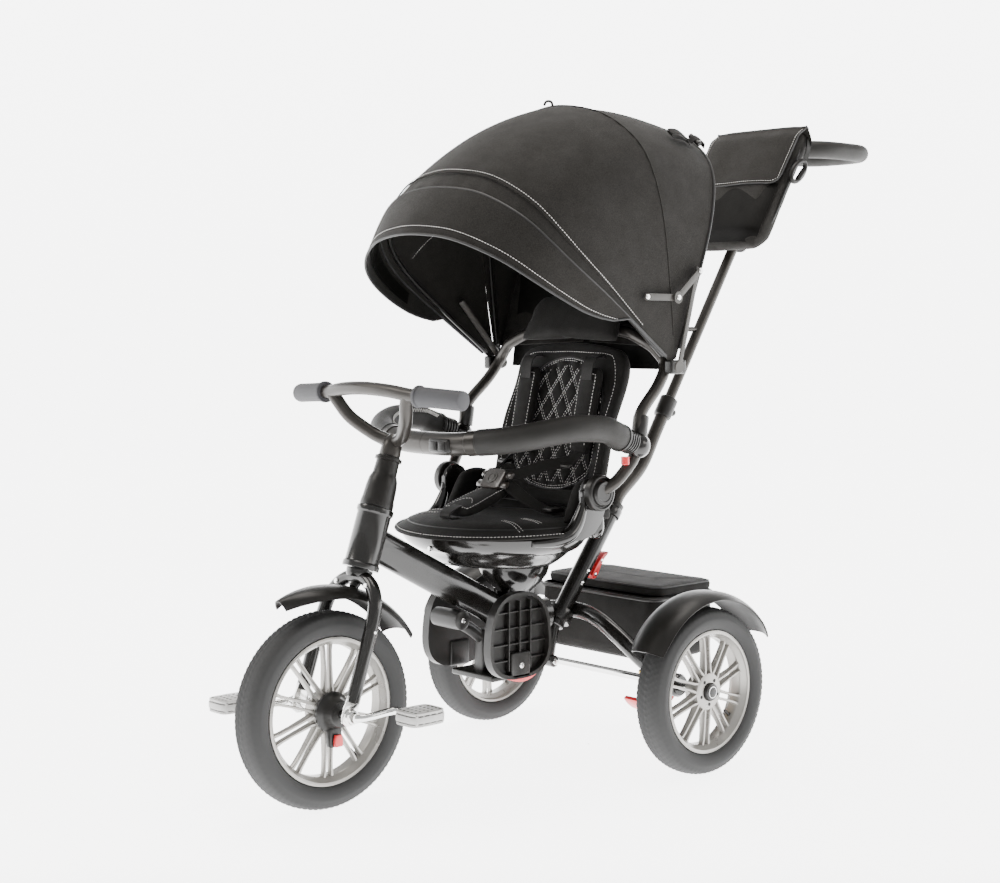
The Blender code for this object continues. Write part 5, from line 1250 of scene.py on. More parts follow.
@dataclass
class Basket:
    """The cloth basket and its soft lid."""

    half_x: float = 0.128
    from_y: float = 0.012
    to_y: float = 0.164
    floor_z: float = 0.145
    top_z: float = 0.252

    def build(self) -> None:
        """Makes the tub, its rim wire and the lid."""
        tub = dress(self.tub(), MESH_CLOTH, "frame", "basket")
        loop = self.outline(0.0005, self.top_z - 0.004, 0.022, 40)
        dress(Form.tube("basket_rim", loop, 0.0030, 12, 1, True), BLACK, "frame")
        self.lid()

    def outline(self, grow: float, z: float, corner: float, count: int) -> list[Vector]:
        """A level rounded rectangle round the basket.

        Args:
            grow: How far it lies outside the tub's plan.
            z: Its height.
            corner: Corner radius.
            count: Points in all, a multiple of four.

        Returns:
            The outline's points.
        """
        middle_y = (self.from_y + self.to_y) / 2.0
        half_y = (self.to_y - self.from_y) / 2.0 + grow - corner
        half_x = self.half_x + grow - corner
        points = []
        quarter = count // 4
        for index, (sx, sy) in enumerate(((1, 1), (-1, 1), (-1, -1), (1, -1))):
            for step in range(quarter):
                turn = math.pi / 2.0 * (index + step / (quarter - 1))
                points.append(Vector((sx * half_x + corner * math.cos(turn), middle_y + sy * half_y + corner * math.sin(turn), z)))
        return points

    def tub(self) -> bpy.types.Object:
        """Walls that belly slightly and a floor that sags, with real thickness."""
        rings = []
        outer = [(0.0, 0.0), (0.2, 0.0010), (0.5, 0.0014), (0.8, 0.0), (0.93, -0.004), (0.99, -0.012)]
        for share, grow in outer:
            rings.append(self.outline(grow - 0.0015, self.top_z - (self.top_z - self.floor_z - 0.001) * share, 0.020, 48))
        middle = Vector((0.0, (self.from_y + self.to_y) / 2.0, 0.0))
        floor = self.floor_z + 0.0012
        for shrink in (0.7, 0.35, 0.02):
            rings.append([Vector((middle.x + (p.x - middle.x) * shrink, middle.y + (p.y - middle.y) * shrink, floor)) for p in rings[5]])
        inside = []
        for index, ring in enumerate(rings):
            lift = 0.0016 if index > 4 else 0.0
            inside.append([Vector((p.x * 0.987, middle.y + (p.y - middle.y) * 0.978, p.z + lift)) for p in ring])
        return Form.loft("basket_tub", rings + list(reversed(inside)), closed=True)

    def lid(self) -> None:
        """A flat soft cover, slightly crowned, with a piped edge."""
        low_y, high_y = 0.0240, self.to_y
        z = self.top_z + 0.0006
        rings = []
        for height, inset in ((0.0, 0.004), (0.0018, 0.0010), (0.0095, 0.0), (0.0135, 0.0020), (0.0152, 0.0070), (0.0158, 0.0200), (0.0160, 0.0450), (0.0160, 0.0680)):
            ring = []
            for corner in range(64):
                turn = TAU * corner / 64
                x = math.copysign(abs(math.cos(turn)) ** 0.22, math.cos(turn)) * (self.half_x - inset)
                y = math.copysign(abs(math.sin(turn)) ** 0.22, math.sin(turn)) * max(0.001, (high_y - low_y) / 2.0 - inset)
                wave = 0.0006 * math.sin(turn * 5.0) * min(1.0, height / 0.0135)
                ring.append(Vector((x, (low_y + high_y) / 2.0 + y, z + height - abs(wave))))
            rings.append(ring)
        cover = dress(Form.loft("basket_cover", rings), MESH_CLOTH, "basket_lid", "basket_lid")
        seam = [p + Vector((0, 0, 0.0004)) for p in rings[4]]
        piping = Form.tube("basket_cover_edge", rings[3], 0.0013, 8, 1, True)
        dress(piping, PIPING, "basket_lid")
        log.debug("seam of %d points left plain", len(seam))


@dataclass
class SafetySeat:
    """Moulded pan, padded cover with its front lip, crotch pad, buckle and lock pin."""

    middle_y: float = -0.2000
    half_x: float = 0.158
    front: float = 0.148
    rear: float = 0.118

    def build(self) -> None:
        """Makes the seat from the pan up."""
        self.pan()
        self.cushion()
        self.crotch_pad()
        self.buckle()
        pin = [(-0.010, 0.0), (-0.010, 0.0026), (0.003, 0.0026), (0.0034, 0.0038), (0.0056, 0.0038), (0.0060, 0.0032), (0.0060, 0.0)]
        dress(Form.lathe("swivel_pull", pin, (0.0, -0.3328, 0.3500), (0, -1, 0), 28), CHROME, "swivel_pin", "swivel_pin")

    def ring(self, z: float, scale: float, dip: float = 0.0, count: int = 96) -> list[Vector]:
        """A level outline of the seat.

        Args:
            z: Its height.
            scale: Its size as a share of the whole seat.
            dip: How far its front hangs below z.
            count: How many points.

        Returns:
            The outline's points.
        """
        points = []
        for step in range(count):
            turn = TAU * step / count
            ahead = math.cos(turn)
            reach = (self.front if ahead > 0 else self.rear) * scale
            y = self.middle_y - ahead * reach
            wide = abs(math.sin(turn)) * self.half_x * scale
            free = 1.0 - eased(y, -0.245, -0.192)
            wide = min(wide, 0.1475 + free * 0.05)
            x = math.copysign(wide, math.sin(turn))
            points.append(Vector((x, y, z - dip * max(0.0, ahead) ** 2)))
        return points

    def pan(self) -> None:
        """A glossy stepped bowl whose rim sweeps up into the hinge cheeks."""
        levels = [(0.3190, 0.56), (0.3200, 0.605), (0.3265, 0.675), (0.3345, 0.745), (0.3415, 0.800), (0.3440, 0.845), (0.3475, 0.885), (0.3530, 0.925)]
        levels += [(0.3590, 0.955), (0.3640, 0.972), (0.3680, 0.978), (0.3700, 0.970), (0.3702, 0.900)]
        rings = []
        for z, scale in levels:
            ring = []
            for step in range(96):
                turn = TAU * step / 96
                ahead = math.cos(turn)
                reach = (self.front if ahead > 0 else self.rear) * scale
                ring.append(Vector((math.sin(turn) * self.half_x * scale, self.middle_y - ahead * reach, z)))
            rings.append(ring)
        parts = [Form.loft("bowl", rings)]
        disc = [(0.3124, 0.0), (0.3124, 0.0575), (0.3135, 0.0590), (0.3232, 0.0600), (0.3244, 0.0592), (0.3244, 0.0)]
        parts.append(Form.lathe("turntable", disc, (0.0, -0.1665, 0.0), (0, 0, 1), 64))
        for side in (1, -1):
            outline = [(-0.2300, 0.3655), (-0.2100, 0.3720), (-0.1930, 0.3840), (-0.1810, 0.4020), (-0.1765, 0.4200), (-0.1765, 0.4360)]
            outline += [(-0.1700, 0.4480), (-0.1600, 0.4555), (-0.1480, 0.4562), (-0.1370, 0.4510), (-0.1300, 0.4410), (-0.1290, 0.4250), (-0.1320, 0.4040), (-0.1400, 0.3860), (-0.1540, 0.3720), (-0.1750, 0.3640)]
            face = [Vector((0.1495 * side, y, z)) for y, z in outline]
            parts.append(Form.plate("cheek", face, (0.0122 * side, 0, 0), 0.0022))
            sweep = flipped([(0.1380, -0.2600, 0.3640), (0.1500, -0.2300, 0.3660), (0.1555, -0.2050, 0.3720), (0.1560, -0.1880, 0.3860), (0.1560, -0.1760, 0.4080), (0.1560, -0.1720, 0.4260)], side)
            parts.append(Form.tube("sweep", sweep, lambda share: 0.0060 + 0.0052 * math.sin(math.pi * min(1.0, share * 1.1)), 22, 8))
            tail = flipped([(0.1200, -0.1150, 0.3655), (0.1360, -0.1280, 0.3690), (0.1500, -0.1360, 0.3780), (0.1560, -0.1380, 0.3960)], side)
            parts.append(Form.tube("tail", tail, lambda share: 0.0055 + 0.0045 * math.sin(math.pi * share), 20, 8))
        dress(Form.join(parts, "seat_bowl"), SHELL_GLOSS, "seat", "seat_pan")

    def cushion(self) -> None:
        """The padded cover: a thin stitched lip round a raised middle."""
        levels = [(0.3708, 0.90, 0.0), (0.3712, 1.000, 0.003), (0.3722, 1.036, 0.005), (0.3742, 1.043, 0.0055), (0.3762, 1.036, 0.005), (0.3788, 0.985, 0.003)]
        levels += [(0.3815, 0.930, 0.001), (0.3855, 0.880, 0.0), (0.3895, 0.820, 0.0), (0.3916, 0.740, 0.0), (0.3922, 0.600, 0.0), (0.3918, 0.400, 0.0), (0.3912, 0.150, 0.0)]
        pad = Form.loft("seat_cover", [self.ring(z, scale, dip) for z, scale, dip in levels])
        dress(pad, MESH_CLOTH, "seat", "seat_cushion")
        for word, side in SIDES:
            self.bolster(word, side)
        rows = [laid_on(pad, self.ring(0.40, 1.018), (0, 0, -1))]
        rows.append(laid_on(pad, self.ring(0.40, 0.905), (0, 0, -1)))
        for side in (1, -1):
            for y in (-0.262, -0.222):
                for shift in (0.0, 0.006):
                    seam = [Vector((side * (0.074 + 0.055 * k / 10), y + shift - 0.012 * k / 10, 0.40)) for k in range(11)]
                    rows.append(laid_on(pad, seam, (0, 0, -1)))
        rows[0].append(rows[0][0])
        threads = [Form.stitches("seam", row) for row in (rows[0], *rows[2:])]
        dress(Form.join(threads, "seat_cover_stitching"), THREAD, "seat")
        self.skirt()
        piping = Form.tube("seat_cover_piping", laid_on(pad, self.ring(0.40, 0.905, count=60), (0, 0, -1), 0.0001), 0.0011, 8, 1, True)
        dress(piping, PIPING, "seat")

    def skirt(self) -> None:
        """The cloth that closes the gap between the cushion and the backrest's foot."""
        rows = []
        for step in range(13):
            share = step / 12
            row = []
            for column in range(33):
                u = -1.0 + column / 16.0
                row.append(Vector((u * 0.1330, -0.0820 + 0.0050 * share - 0.0160 * u * u, 0.3740 + 0.0700 * share)))
            rows.append(row)
        cloth = dress(Form.cloth("seat_skirt", rows, 0.0016), MESH_CLOTH, "seat")

    def bolster(self, word: str, side: int) -> None:
        """The soft hip wing that rises beside the cushion to the backrest."""

        def spot(u: float, v: float, face: int) -> Vector:
            """A place on the wing's skin."""
            share = (v + 1.0) / 2.0
            y = -0.1420 + u * (0.050 - 0.018 * share) + 0.012 * share
            x = 0.1330 - 0.004 * share + face * 0.0115 * full(u, v, 4.0)
            return Vector((x * side, y, 0.3860 + 0.066 * share - 0.010 * u * u * share))

        wing = puffed(Form.pillow(f"hip_wing_{word}", spot, 28, 24), 0.004)
        dress(wing, MESH_CLOTH, "seat")

    def crotch_pad(self) -> None:
        """A soft stitched pad that slopes up from the cushion to the buckle."""
        foot = Vector((0.0, -0.2920, 0.3990))
        head = Vector((0.0, -0.1980, 0.4290))

        def spot(u: float, v: float, face: int) -> Vector:
            """A place on the pad's skin."""
            share = (v + 1.0) / 2.0
            wide = 0.0345 - 0.0060 * eased(share, 0.55, 1.0) - 0.0070 * (1.0 - eased(share, 0.0, 0.14))
            middle = foot.lerp(head, share)
            normal = Vector((0.0, -0.30, 0.954))
            thick = 0.0080 * full(u, v, 6.0) * (1.0 + 0.12 * math.cos(u * 3.0))
            return middle + Vector((u * wide, 0, 0)) + normal * (thick * face)

        pad = puffed(Form.pillow("crotch_cushion", spot, 28, 44), 0.004)
        dress(pad, MESH_CLOTH, "seat", "crotch_pad")
        border = []
        for u, v in [(-0.78, 0.80), (-0.78, -0.70), (-0.45, -0.86), (0.45, -0.86), (0.78, -0.70), (0.78, 0.80)]:
            border.append(spot(u, v, 1) + Vector((0, 0, 0.01)))
        seam = laid_on(pad, smooth_route(border, 14), (0.0, 0.30, -0.954))
        flap = smooth_route([spot(-0.62, -0.62, 1), spot(-0.3, -0.36, 1), spot(0.0, -0.28, 1), spot(0.3, -0.36, 1), spot(0.62, -0.62, 1)], 10)
        arc = laid_on(pad, [p + Vector((0, 0, 0.01)) for p in flap], (0.0, 0.30, -0.954))
        dress(Form.join([Form.stitches("seam", seam), Form.stitches("arc", arc)], "crotch_stitching"), THREAD, "seat")
        loop = [(0.0, -0.262, 0.4135), (0.0, -0.287, 0.4090), (0.0, -0.3060, 0.4010), (0.0, -0.3050, 0.3935), (0.0, -0.288, 0.3925)]
        dress(Form.ribbon("crotch_loop", loop, (0, -0.4, 0.9), 0.024, 0.0020), WEBBING, "seat")

    def buckle(self) -> None:
        """A rounded square buckle with a ringed button, and its lap straps."""
        centre = Vector((0.0, -0.2060, 0.4440))
        across = Vector((1.0, 0.0, 0.0))
        up = Vector((0.0, 0.62, 0.785)).normalized()
        out = across.cross(up)
        half = 0.0205
        corners = []
        for index, (sx, sy) in enumerate(((1, 1), (-1, 1), (-1, -1), (1, -1))):
            for step in range(5):
                turn = math.pi / 2.0 * (index + step / 4.0)
                corners.append(centre + across * (sx * (half - 0.006) + 0.006 * math.cos(turn)) + up * (sy * (half - 0.009) + 0.006 * math.sin(turn)))
        shell = Form.plate("shell", [corner - out * 0.0065 for corner in corners], out * 0.0130, 0.0024)
        ears = []
        for side in (1, -1):
            for lift in (0.010, -0.008):
                at = centre + across * (side * 0.0225) + up * lift
                ears.append(Form.tube("ear", [at - across * (0.006 * side), at + across * (0.009 * side)], 0.0062, 12, 2, False, 0.55))
        dress(Form.join([shell, *ears], "buckle_shell"), BUCKLE, "seat")
        ring = [(0.0060, 0.0), (0.0060, 0.0096), (0.0078, 0.0092), (0.0080, 0.0076), (0.0070, 0.0070), (0.0072, 0.0060), (0.0084, 0.0050), (0.0084, 0.0)]
        dress(Form.lathe("buckle_button", ring, centre, out, 40), DARK_GREY, "seat")
        for word, side in SIDES:
            lap = [centre + Vector((0.026 * side, 0.001, -0.004)), Vector((0.058 * side, -0.1950, 0.4180)), Vector((0.088 * side, -0.1750, 0.4010)), Vector((0.120 * side, -0.1480, 0.3985)), Vector((0.137 * side, -0.1300, 0.3975))]
            dress(Form.ribbon(f"lap_strap_{word}", lap, (0.0, -0.45, 0.89), 0.023, 0.0017), WEBBING, "seat")
            slide = Vector((0.092 * side, -0.1725, 0.4025))
            frame_bar = Form.block("slide", slide - Vector((0.010, 0.014, 0.0020)), slide + Vector((0.010, 0.014, 0.0035)), 0.0014)
            frame_bar.name = f"lap_slide_{word}"
            dress(frame_bar, BLACK, "seat")
        stem = [Vector((0.0, -0.2000, 0.4260)), Vector((0.0, -0.2040, 0.4340)), centre - up * 0.012]
        dress(Form.ribbon("buckle_stem", stem, (0, -0.8, 0.6), 0.026, 0.0022), WEBBING, "seat")


@dataclass
class Backrest:
    """Bent tube, recline discs, quilted pad, shoulder pads and head pad."""

    foot: Vector = field(default_factory=lambda: Vector((0.0, -0.0950, 0.4130)))
    top: Vector = field(default_factory=lambda: Vector((0.0, -0.0430, 0.6450)))
    half_width: float = 0.120

    def build(self) -> None:
        """Makes the reclining half of the seat."""
        self.tubes()
        self.pad()
        self.head_pad()
        for word, side in SIDES:
            self.shoulder(word, side)

    def tubes(self) -> None:
        """The bent tube with its discs, guard balls and canopy studs."""
        half = [(0.1696, -0.1515, 0.4340), (0.1790, -0.1400, 0.4430), (0.1860, -0.1260, 0.4560), (0.1940, -0.1045, 0.4860), (0.1942, -0.0965, 0.5200), (0.194, -0.0900, 0.5500), (0.1900, -0.0480, 0.5900), (0.184, -0.0265, 0.6200), (0.1680, -0.0270, 0.6400), (0.150, -0.0285, 0.6520), (0.095, -0.0250, 0.6700)]
        route = flipped(half, 1) + [Vector((0.0, -0.0240, 0.6750))] + flipped(list(reversed(half)), -1)
        dress(Form.tube("backrest_tube", route, 0.0090, 24, 5), GUNMETAL, "backrest", "backrest_frame")
        studs = []
        for word, side in SIDES:
            disc = [(0.0, 0.0), (0.0, 0.0255), (0.0015, 0.0270), (0.0105, 0.0270), (0.0128, 0.0262), (0.0140, 0.0245), (0.0140, 0.0232), (0.0118, 0.0222), (0.0112, 0.0205)]
            disc += [(0.0120, 0.0192), (0.0172, 0.0182), (0.0188, 0.0166), (0.0188, 0.0128), (0.0178, 0.0120), (0.0176, 0.0)]
            hub = Form.lathe("disc", disc, (0.1626 * side, -0.1525, 0.4330), (side, 0, 0), 72)
            marks = []
            for number in range(6):
                turn = TAU * number / 6 + 0.3
                at = Vector((0.1790 * side, -0.1525 + math.cos(turn) * 0.0060, 0.4330 + math.sin(turn) * 0.0060))
                marks.append(Form.lathe("mark", [(0.0, 0.0), (0.0, 0.0014), (0.0014, 0.0012), (0.0014, 0.0)], at, (side, 0, 0), 8))
            dress(Form.join([hub, *marks], f"recline_disc_{word}"), BLACK, "backrest")
            dome = [(-0.0120, 0.0), (-0.0120, 0.0120), (-0.0060, 0.0174), (0.0, 0.0186), (0.0065, 0.0180), (0.0122, 0.0150), (0.0160, 0.0105), (0.0182, 0.0055), (0.0188, 0.0)]
            joint = Vector((0.1970 * side, -0.1005, 0.5020))
            cap = Form.lathe("dome", [(d, r) for d, r in dome], joint, (0.55 * side, -0.20, 0.02), 56)
            ball = [(-0.0182, 0.0), (-0.0165, 0.0080), (-0.0120, 0.0138), (-0.0060, 0.0172), (0.0, 0.0184), (0.0060, 0.0172), (0.0120, 0.0138), (0.0165, 0.0080), (0.0182, 0.0)]
            dress(Form.join([cap, Form.lathe("ball", ball, joint, (0, 0, 1), 40)], f"guard_ball_{word}"), SHELL_GLOSS, "backrest")
            sleeve = [(0.0, 0.0), (0.0, 0.0112), (0.0010, 0.0118), (0.0300, 0.0118), (0.0330, 0.0106), (0.0335, 0.0)]
            dress(Form.lathe(f"guard_sleeve_{word}", sleeve, joint + Vector((-0.0030 * side, 0.0060, 0.0120)), (0.0, 0.16, 0.99), 36), BLACK, "backrest")
            stud = [(0.0, 0.0), (0.0, 0.0080), (0.0260, 0.0080), (0.0270, 0.0105), (0.0310, 0.0105), (0.0325, 0.0090), (0.0325, 0.0)]
            studs.append(Form.lathe("stud", stud, (0.178 * side, -0.0225, 0.6170), (side, 0, 0), 32))
            foot = Vector((0.2075 * side, -0.0225, 0.6170))
            radial = Vector((0.0, math.sin(math.radians(15.4)), math.cos(math.radians(15.4))))
            tangent = Vector((0.0, radial.z, -radial.y)) * 0.0042
            head = foot + radial * 0.156
            studs.append(Form.plate("strip", [foot - tangent, foot + tangent, head + tangent, head - tangent], (0.0026 * side, 0, 0), 0.0006))
        dress(Form.join(studs, "canopy_brackets"), DARK_GREY, "backrest")

    def place(self, x: float, rise: float, ahead: float) -> Vector:
        """A point by its distance across, up and in front of the pad's plane."""
        lean = (self.top - self.foot).normalized()
        out = Vector((0.0, -lean.z, lean.y))
        return self.foot + lean * rise + Vector((x, 0, 0)) + out * ahead

    @staticmethod
    def inside(x: float, rise: float, grow: float = 0.0) -> bool:
        """Whether a point lies within the arched quilted middle."""
        wide = 0.078 + grow
        if not 0.020 - grow < rise < 0.212 + grow:
            return False
        if rise > 0.150:
            return (x / wide) ** 2 + ((rise - 0.150) / (0.062 + grow)) ** 2 < 1.0
        if rise < 0.060:
            return (x / wide) ** 2 + ((0.060 - rise) / (0.050 + grow)) ** 2 < 1.0
        return abs(x) < wide

    def pad(self) -> None:
        """The quilted pad with stitched diamonds inside an arched border."""
        length = (self.top - self.foot).length

        def spot(u: float, v: float, face: int) -> Vector:
            """A place on the pad's skin."""
            share = (v + 1.0) / 2.0
            above = max(0.0, (share - 0.84) / 0.16)
            narrow = 0.26 * (1.0 - math.sqrt(1.0 - min(1.0, above) ** 2)) + 0.10 * (1.0 - eased(share, -0.02, 0.16))
            x = u * self.half_width * (1.0 - narrow)
            rise = share * (length + 0.013) - 0.013 + 0.009 * (1.0 - u * u) * eased(share, 0.75, 1.0)
            wing = 0.016 * eased(abs(u), 0.62, 0.98) * (1.0 - eased(share, 0.45, 0.85))
            thick = 0.0130 * full(u, v, 9.0)
            relief = 0.0
            if face > 0 and self.inside(x, rise, 0.004):
                gap = min(self.line_gap(x, rise, 1.0), self.line_gap(x, rise, -1.0))
                relief = 0.0018 - 0.0040 * math.exp(-((gap / 0.0045) ** 2))
            elif face > 0 and self.inside(x, rise, 0.010):
                relief = -0.0022
            return self.place(x, rise, -0.0130 + wing + thick * face + relief * (1.0 if face > 0 else 0.0) * full(u, v))

        cover = Form.pillow("backrest_cover", spot, 96, 96)
        dress(cover, MESH_CLOTH, "backrest", "backrest_pad")
        inward = self.place(0, 0, 0) - self.place(0, 0, 1)
        threads = []
        for lean in (1.0, -1.0):
            for number in range(-10, 11):
                for shift in (-0.0022, 0.0022):
                    run: list[Vector] = []
                    for step in range(0, 97):
                        rise = length * step / 96
                        x = number * self.pitch + shift + lean * (rise - 0.115) * self.slope
                        if self.inside(x, rise):
                            run.append(self.place(x, rise, 0.02))
                        elif run:
                            break
                    if len(run) > 2:
                        threads.append(Form.stitches("seam", laid_on(cover, run, inward)))
        for grow in (0.0045, 0.0075):
            border = self.border(grow)
            threads.append(Form.stitches("border", laid_on(cover, border, inward)))
        edge = [self.place(x * 0.90, y, 0.02) for x, y in self.rim(length)]
        threads.append(Form.stitches("edge", laid_on(cover, edge, inward)))
        dress(Form.join(threads, "backrest_stitching"), THREAD, "backrest")
        loop = laid_on(cover, self.border(0.0095)[::2], inward, 0.0002)
        dress(Form.tube("backrest_piping", loop, 0.0015, 8, 1, True), PIPING, "backrest")

    pitch: float = 0.0310
    slope: float = 0.62

    def line_gap(self, x: float, rise: float, lean: float) -> float:
        """Distance from the nearest quilting line of one family."""
        along = x - lean * (rise - 0.115) * self.slope
        off = (along / self.pitch + 0.5) % 1.0 - 0.5
        return abs(off) * self.pitch / math.hypot(1.0, self.slope)

    def border(self, grow: float) -> list[Vector]:
        """The arched outline round the quilted middle, grown outwards."""
        wide = 0.078 + grow
        points = []
        for step in range(33):
            turn = math.pi * step / 32
            points.append(self.place(math.cos(turn) * wide, 0.150 + math.sin(turn) * (0.062 + grow), 0.02))
        for step in range(1, 9):
            points.append(self.place(-wide, 0.150 - 0.090 * step / 9, 0.02))
        for step in range(33):
            turn = math.pi + math.pi * step / 32
            points.append(self.place(math.cos(turn) * wide, 0.060 + math.sin(turn) * (0.040 + grow), 0.02))
        for step in range(1, 9):
            points.append(self.place(wide, 0.060 + 0.090 * step / 9, 0.02))
        return points

    def rim(self, length: float) -> list[tuple[float, float]]:
        """The pad's edge from its lower left over the top to its lower right."""
        left = [(0.112, 0.015), (0.118, 0.060), (0.119, 0.120), (0.119, 0.180), (0.108, length - 0.020), (0.090, length - 0.010), (0.040, length - 0.008)]
        whole = left + [(0.0, length - 0.007)] + [(-x, y) for x, y in reversed(left)]
        return [(point.x, point.y) for point in smooth_route([(x, y, 0.0) for x, y in whole], 8)]

    def head_pad(self) -> None:
        """The soft panel between the backrest and the canopy's back."""

        def spot(u: float, v: float, face: int) -> Vector:
            """A place on the panel's skin."""
            share = (v + 1.0) / 2.0
            middle = Vector((0.0, -0.0500, 0.6540)).lerp(Vector((0.0, -0.0210, 0.7300)), share)
            x = u * (0.108 - 0.014 * share - 0.010 * eased(share, 0.75, 1.0))
            droop = 0.006 * u * u * share
            return middle + Vector((x, 0.0, -droop)) + Vector((0.0, -0.93, 0.36)) * (0.0085 * full(u, v, 5.0) * face)

        panel = puffed(Form.pillow("head_panel", spot, 36, 24), 0.005)
        dress(panel, MESH_CLOTH, "backrest")

    def shoulder(self, word: str, side: int) -> None:
        """One shoulder pad with its webbing above, below and through it."""
        lean = 0.068 * side
        start, length = 0.066, 0.138

        def spot(u: float, v: float, face: int) -> Vector:
            """A place on the pad's skin."""
            share = (v + 1.0) / 2.0
            wide = 0.0220 - 0.0020 * (1.0 - share) - 0.0040 * eased(share, 0.90, 1.0) - 0.0030 * (1.0 - eased(share, 0.0, 0.08))
            return self.place(lean + u * wide, start + share * length, 0.0125 + 0.0095 * full(u, v, 5.0) * face)

        pad = puffed(Form.pillow(f"shoulder_cover_{word}", spot, 20, 48), 0.004)
        dress(pad, MESH_CLOTH, "backrest", f"shoulder_pad_{word}")
        inward = self.place(0, 0, 0) - self.place(0, 0, 1)
        corners = [(-0.72, -0.86), (-0.74, 0.0), (-0.74, 0.74), (-0.5, 0.82), (0.5, 0.82), (0.74, 0.74), (0.74, 0.0), (0.72, -0.86)]
        seam = [spot(u, v, 1) - inward.normalized() * 0.01 for u, v in corners]
        dress(Form.stitches(f"shoulder_stitching_{word}", laid_on(pad, smooth_route(seam, 12), inward)), THREAD, "backrest")
        above = [self.place(lean, start + length - 0.022, 0.0225), self.place(lean, start + length - 0.004, 0.0245), self.place(lean, start + length + 0.012, 0.0205), self.place(lean, start + length + 0.018, 0.0060), self.place(lean, start + length + 0.016, -0.0060)]
        dress(Form.ribbon(f"shoulder_loop_{word}", above, self.place(0, 0, 1) - self.place(0, 0, 0), 0.024, 0.0018), WEBBING, "backrest")
        low = self.place(lean, start + 0.008, 0.0125)
        route = [low, self.place(lean * 0.96, start - 0.012, 0.0300), Vector((0.044 * side, -0.1500, 0.4640)), Vector((0.030 * side, -0.1850, 0.4540)), Vector((0.0235 * side, -0.2040, 0.4530))]
        strap = Form.ribbon(f"shoulder_strap_{word}", route, (0.25 * side, -0.85, 0.45), 0.021, 0.0017, 8)
        material = WEBBING.material()
        strap.data.materials.clear()
        strap.data.materials.append(material)
        tuple(route[-1])
        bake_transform(strap)
        slide = self.place(lean * 0.92, start - 0.022, 0.0400)
        bar = Form.tube(f"strap_slide_{word}", [slide - Vector((0.0150, 0, 0)), slide + Vector((0.0150, 0, 0))], 0.0042, 12, 2, False, 0.7)
        dress(bar, BLACK, "backrest")


@dataclass
class GuardRail:
    """The two swinging halves of the guard rail, each with a release button."""

    def build(self) -> None:
        """Makes both halves."""
        for word, side in SIDES:
            self.half(word, side)

    def half(self, word: str, side: int) -> None:
        """One foam arm, its ribbed collar, the front tube and its button."""
        body = f"guard_{word}"
        joint = Vector((0.1970 * side, -0.1005, 0.5020))
        route = flipped([(0.203, -0.1420, 0.5150), (0.2066, -0.1640, 0.5235), (0.207, -0.1850, 0.5300), (0.2005, -0.2325, 0.5330), (0.186, -0.2660, 0.5285), (0.165, -0.2925, 0.5220), (0.134, -0.3145, 0.5160), (0.100, -0.3275, 0.5120)], side)
        foam = Form.tube(f"guard_foam_sleeve_{word}", route, 0.0195, 36, 8)
        dress(foam, FOAM, body, f"guard_foam_{word}")
        away = (route[0] - joint).normalized()
        reach = (route[0] - joint).length
        ribs = [(0.0189, 0.0)]
        at = 0.0189
        while at < reach - 0.001:
            ribs += [(at, 0.0158), (at + 0.0008, 0.0178), (at + 0.0032, 0.0182), (at + 0.0040, 0.0162)]
            at += 0.0052
        ribs += [(reach, 0.0160), (reach + 0.0005, 0.0206), (reach + 0.0050, 0.0208), (reach + 0.0056, 0.0)]
        dress(Form.lathe(f"guard_collar_{word}", ribs, joint, away, 44), SATIN, body)
        front = flipped([(0.0990, -0.3278, 0.5118), (0.084, -0.3325, 0.5102), (0.066, -0.3360, 0.5087), (0.040, -0.3384, 0.5075), (0.018, -0.3388, 0.5070), (0.0004, -0.3388, 0.5070)], side)
        parts = [Form.tube("front", front, 0.0170, 36, 6)]
        parts.append(Form.tube("lip", front[:2], 0.0186, 36, 2))
        dress(Form.join(parts, f"guard_front_{word}"), GUNMETAL, body, f"guard_tube_{word}")
        if side > 0:
            latch = Form.block("guard_latch", (0.020, -0.3575, 0.4955), (0.064, -0.3200, 0.5160), 0.0040)
            keys = [Form.block("key", (0.026, -0.3590, 0.4990), (0.040, -0.3560, 0.5120), 0.0012), Form.block("key", (0.044, -0.3590, 0.4990), (0.058, -0.3560, 0.5120), 0.0012)]
            dress(Form.join([latch, *keys], "guard_latch"), BLACK, body)
        seam = []
        path = smooth_route(route, 10)
        for number in range(int(len(path) * 0.10), int(len(path) * 0.95)):
            ahead = (path[min(number + 1, len(path) - 1)] - path[number - 1]).normalized()
            inner = ahead.cross(Vector((0, 0, 1))).normalized() * side
            if inner.dot(Vector((0.0, -0.2, 0.5)) - path[number]) < 0:
                inner = -inner
            inner = (inner * 0.86 + Vector((0, 0, 0.5))).normalized()
            seam.append((path[number] + inner * 0.0198, ahead))
        crosses = []
        for number in range(0, len(seam) - 1):
            here, ahead = seam[number]
            across = ahead.cross(Vector((0, 0, 1))).cross(ahead).normalized() * 0.0042
            step = ahead * 0.0024
            for flip in (1, -1):
                crosses.append(Form.tube("cross", [here - across * flip - step, here + across * flip + step], 0.00050, 5, 1))
        dress(Form.join(crosses, f"guard_lacing_{word}"), THREAD, body)
        button = [(-0.0120, 0.0), (-0.0120, 0.0050), (-0.0108, 0.0062), (0.0, 0.0062), (0.0, 0.0)]
        under = joint + Vector((0.0, -0.0265, -0.0150))
        dress(Form.lathe(f"guard_release_{word}", button, under, (0, 0, 1), 32), RED, f"guard_button_{word}", f"guard_button_{word}")


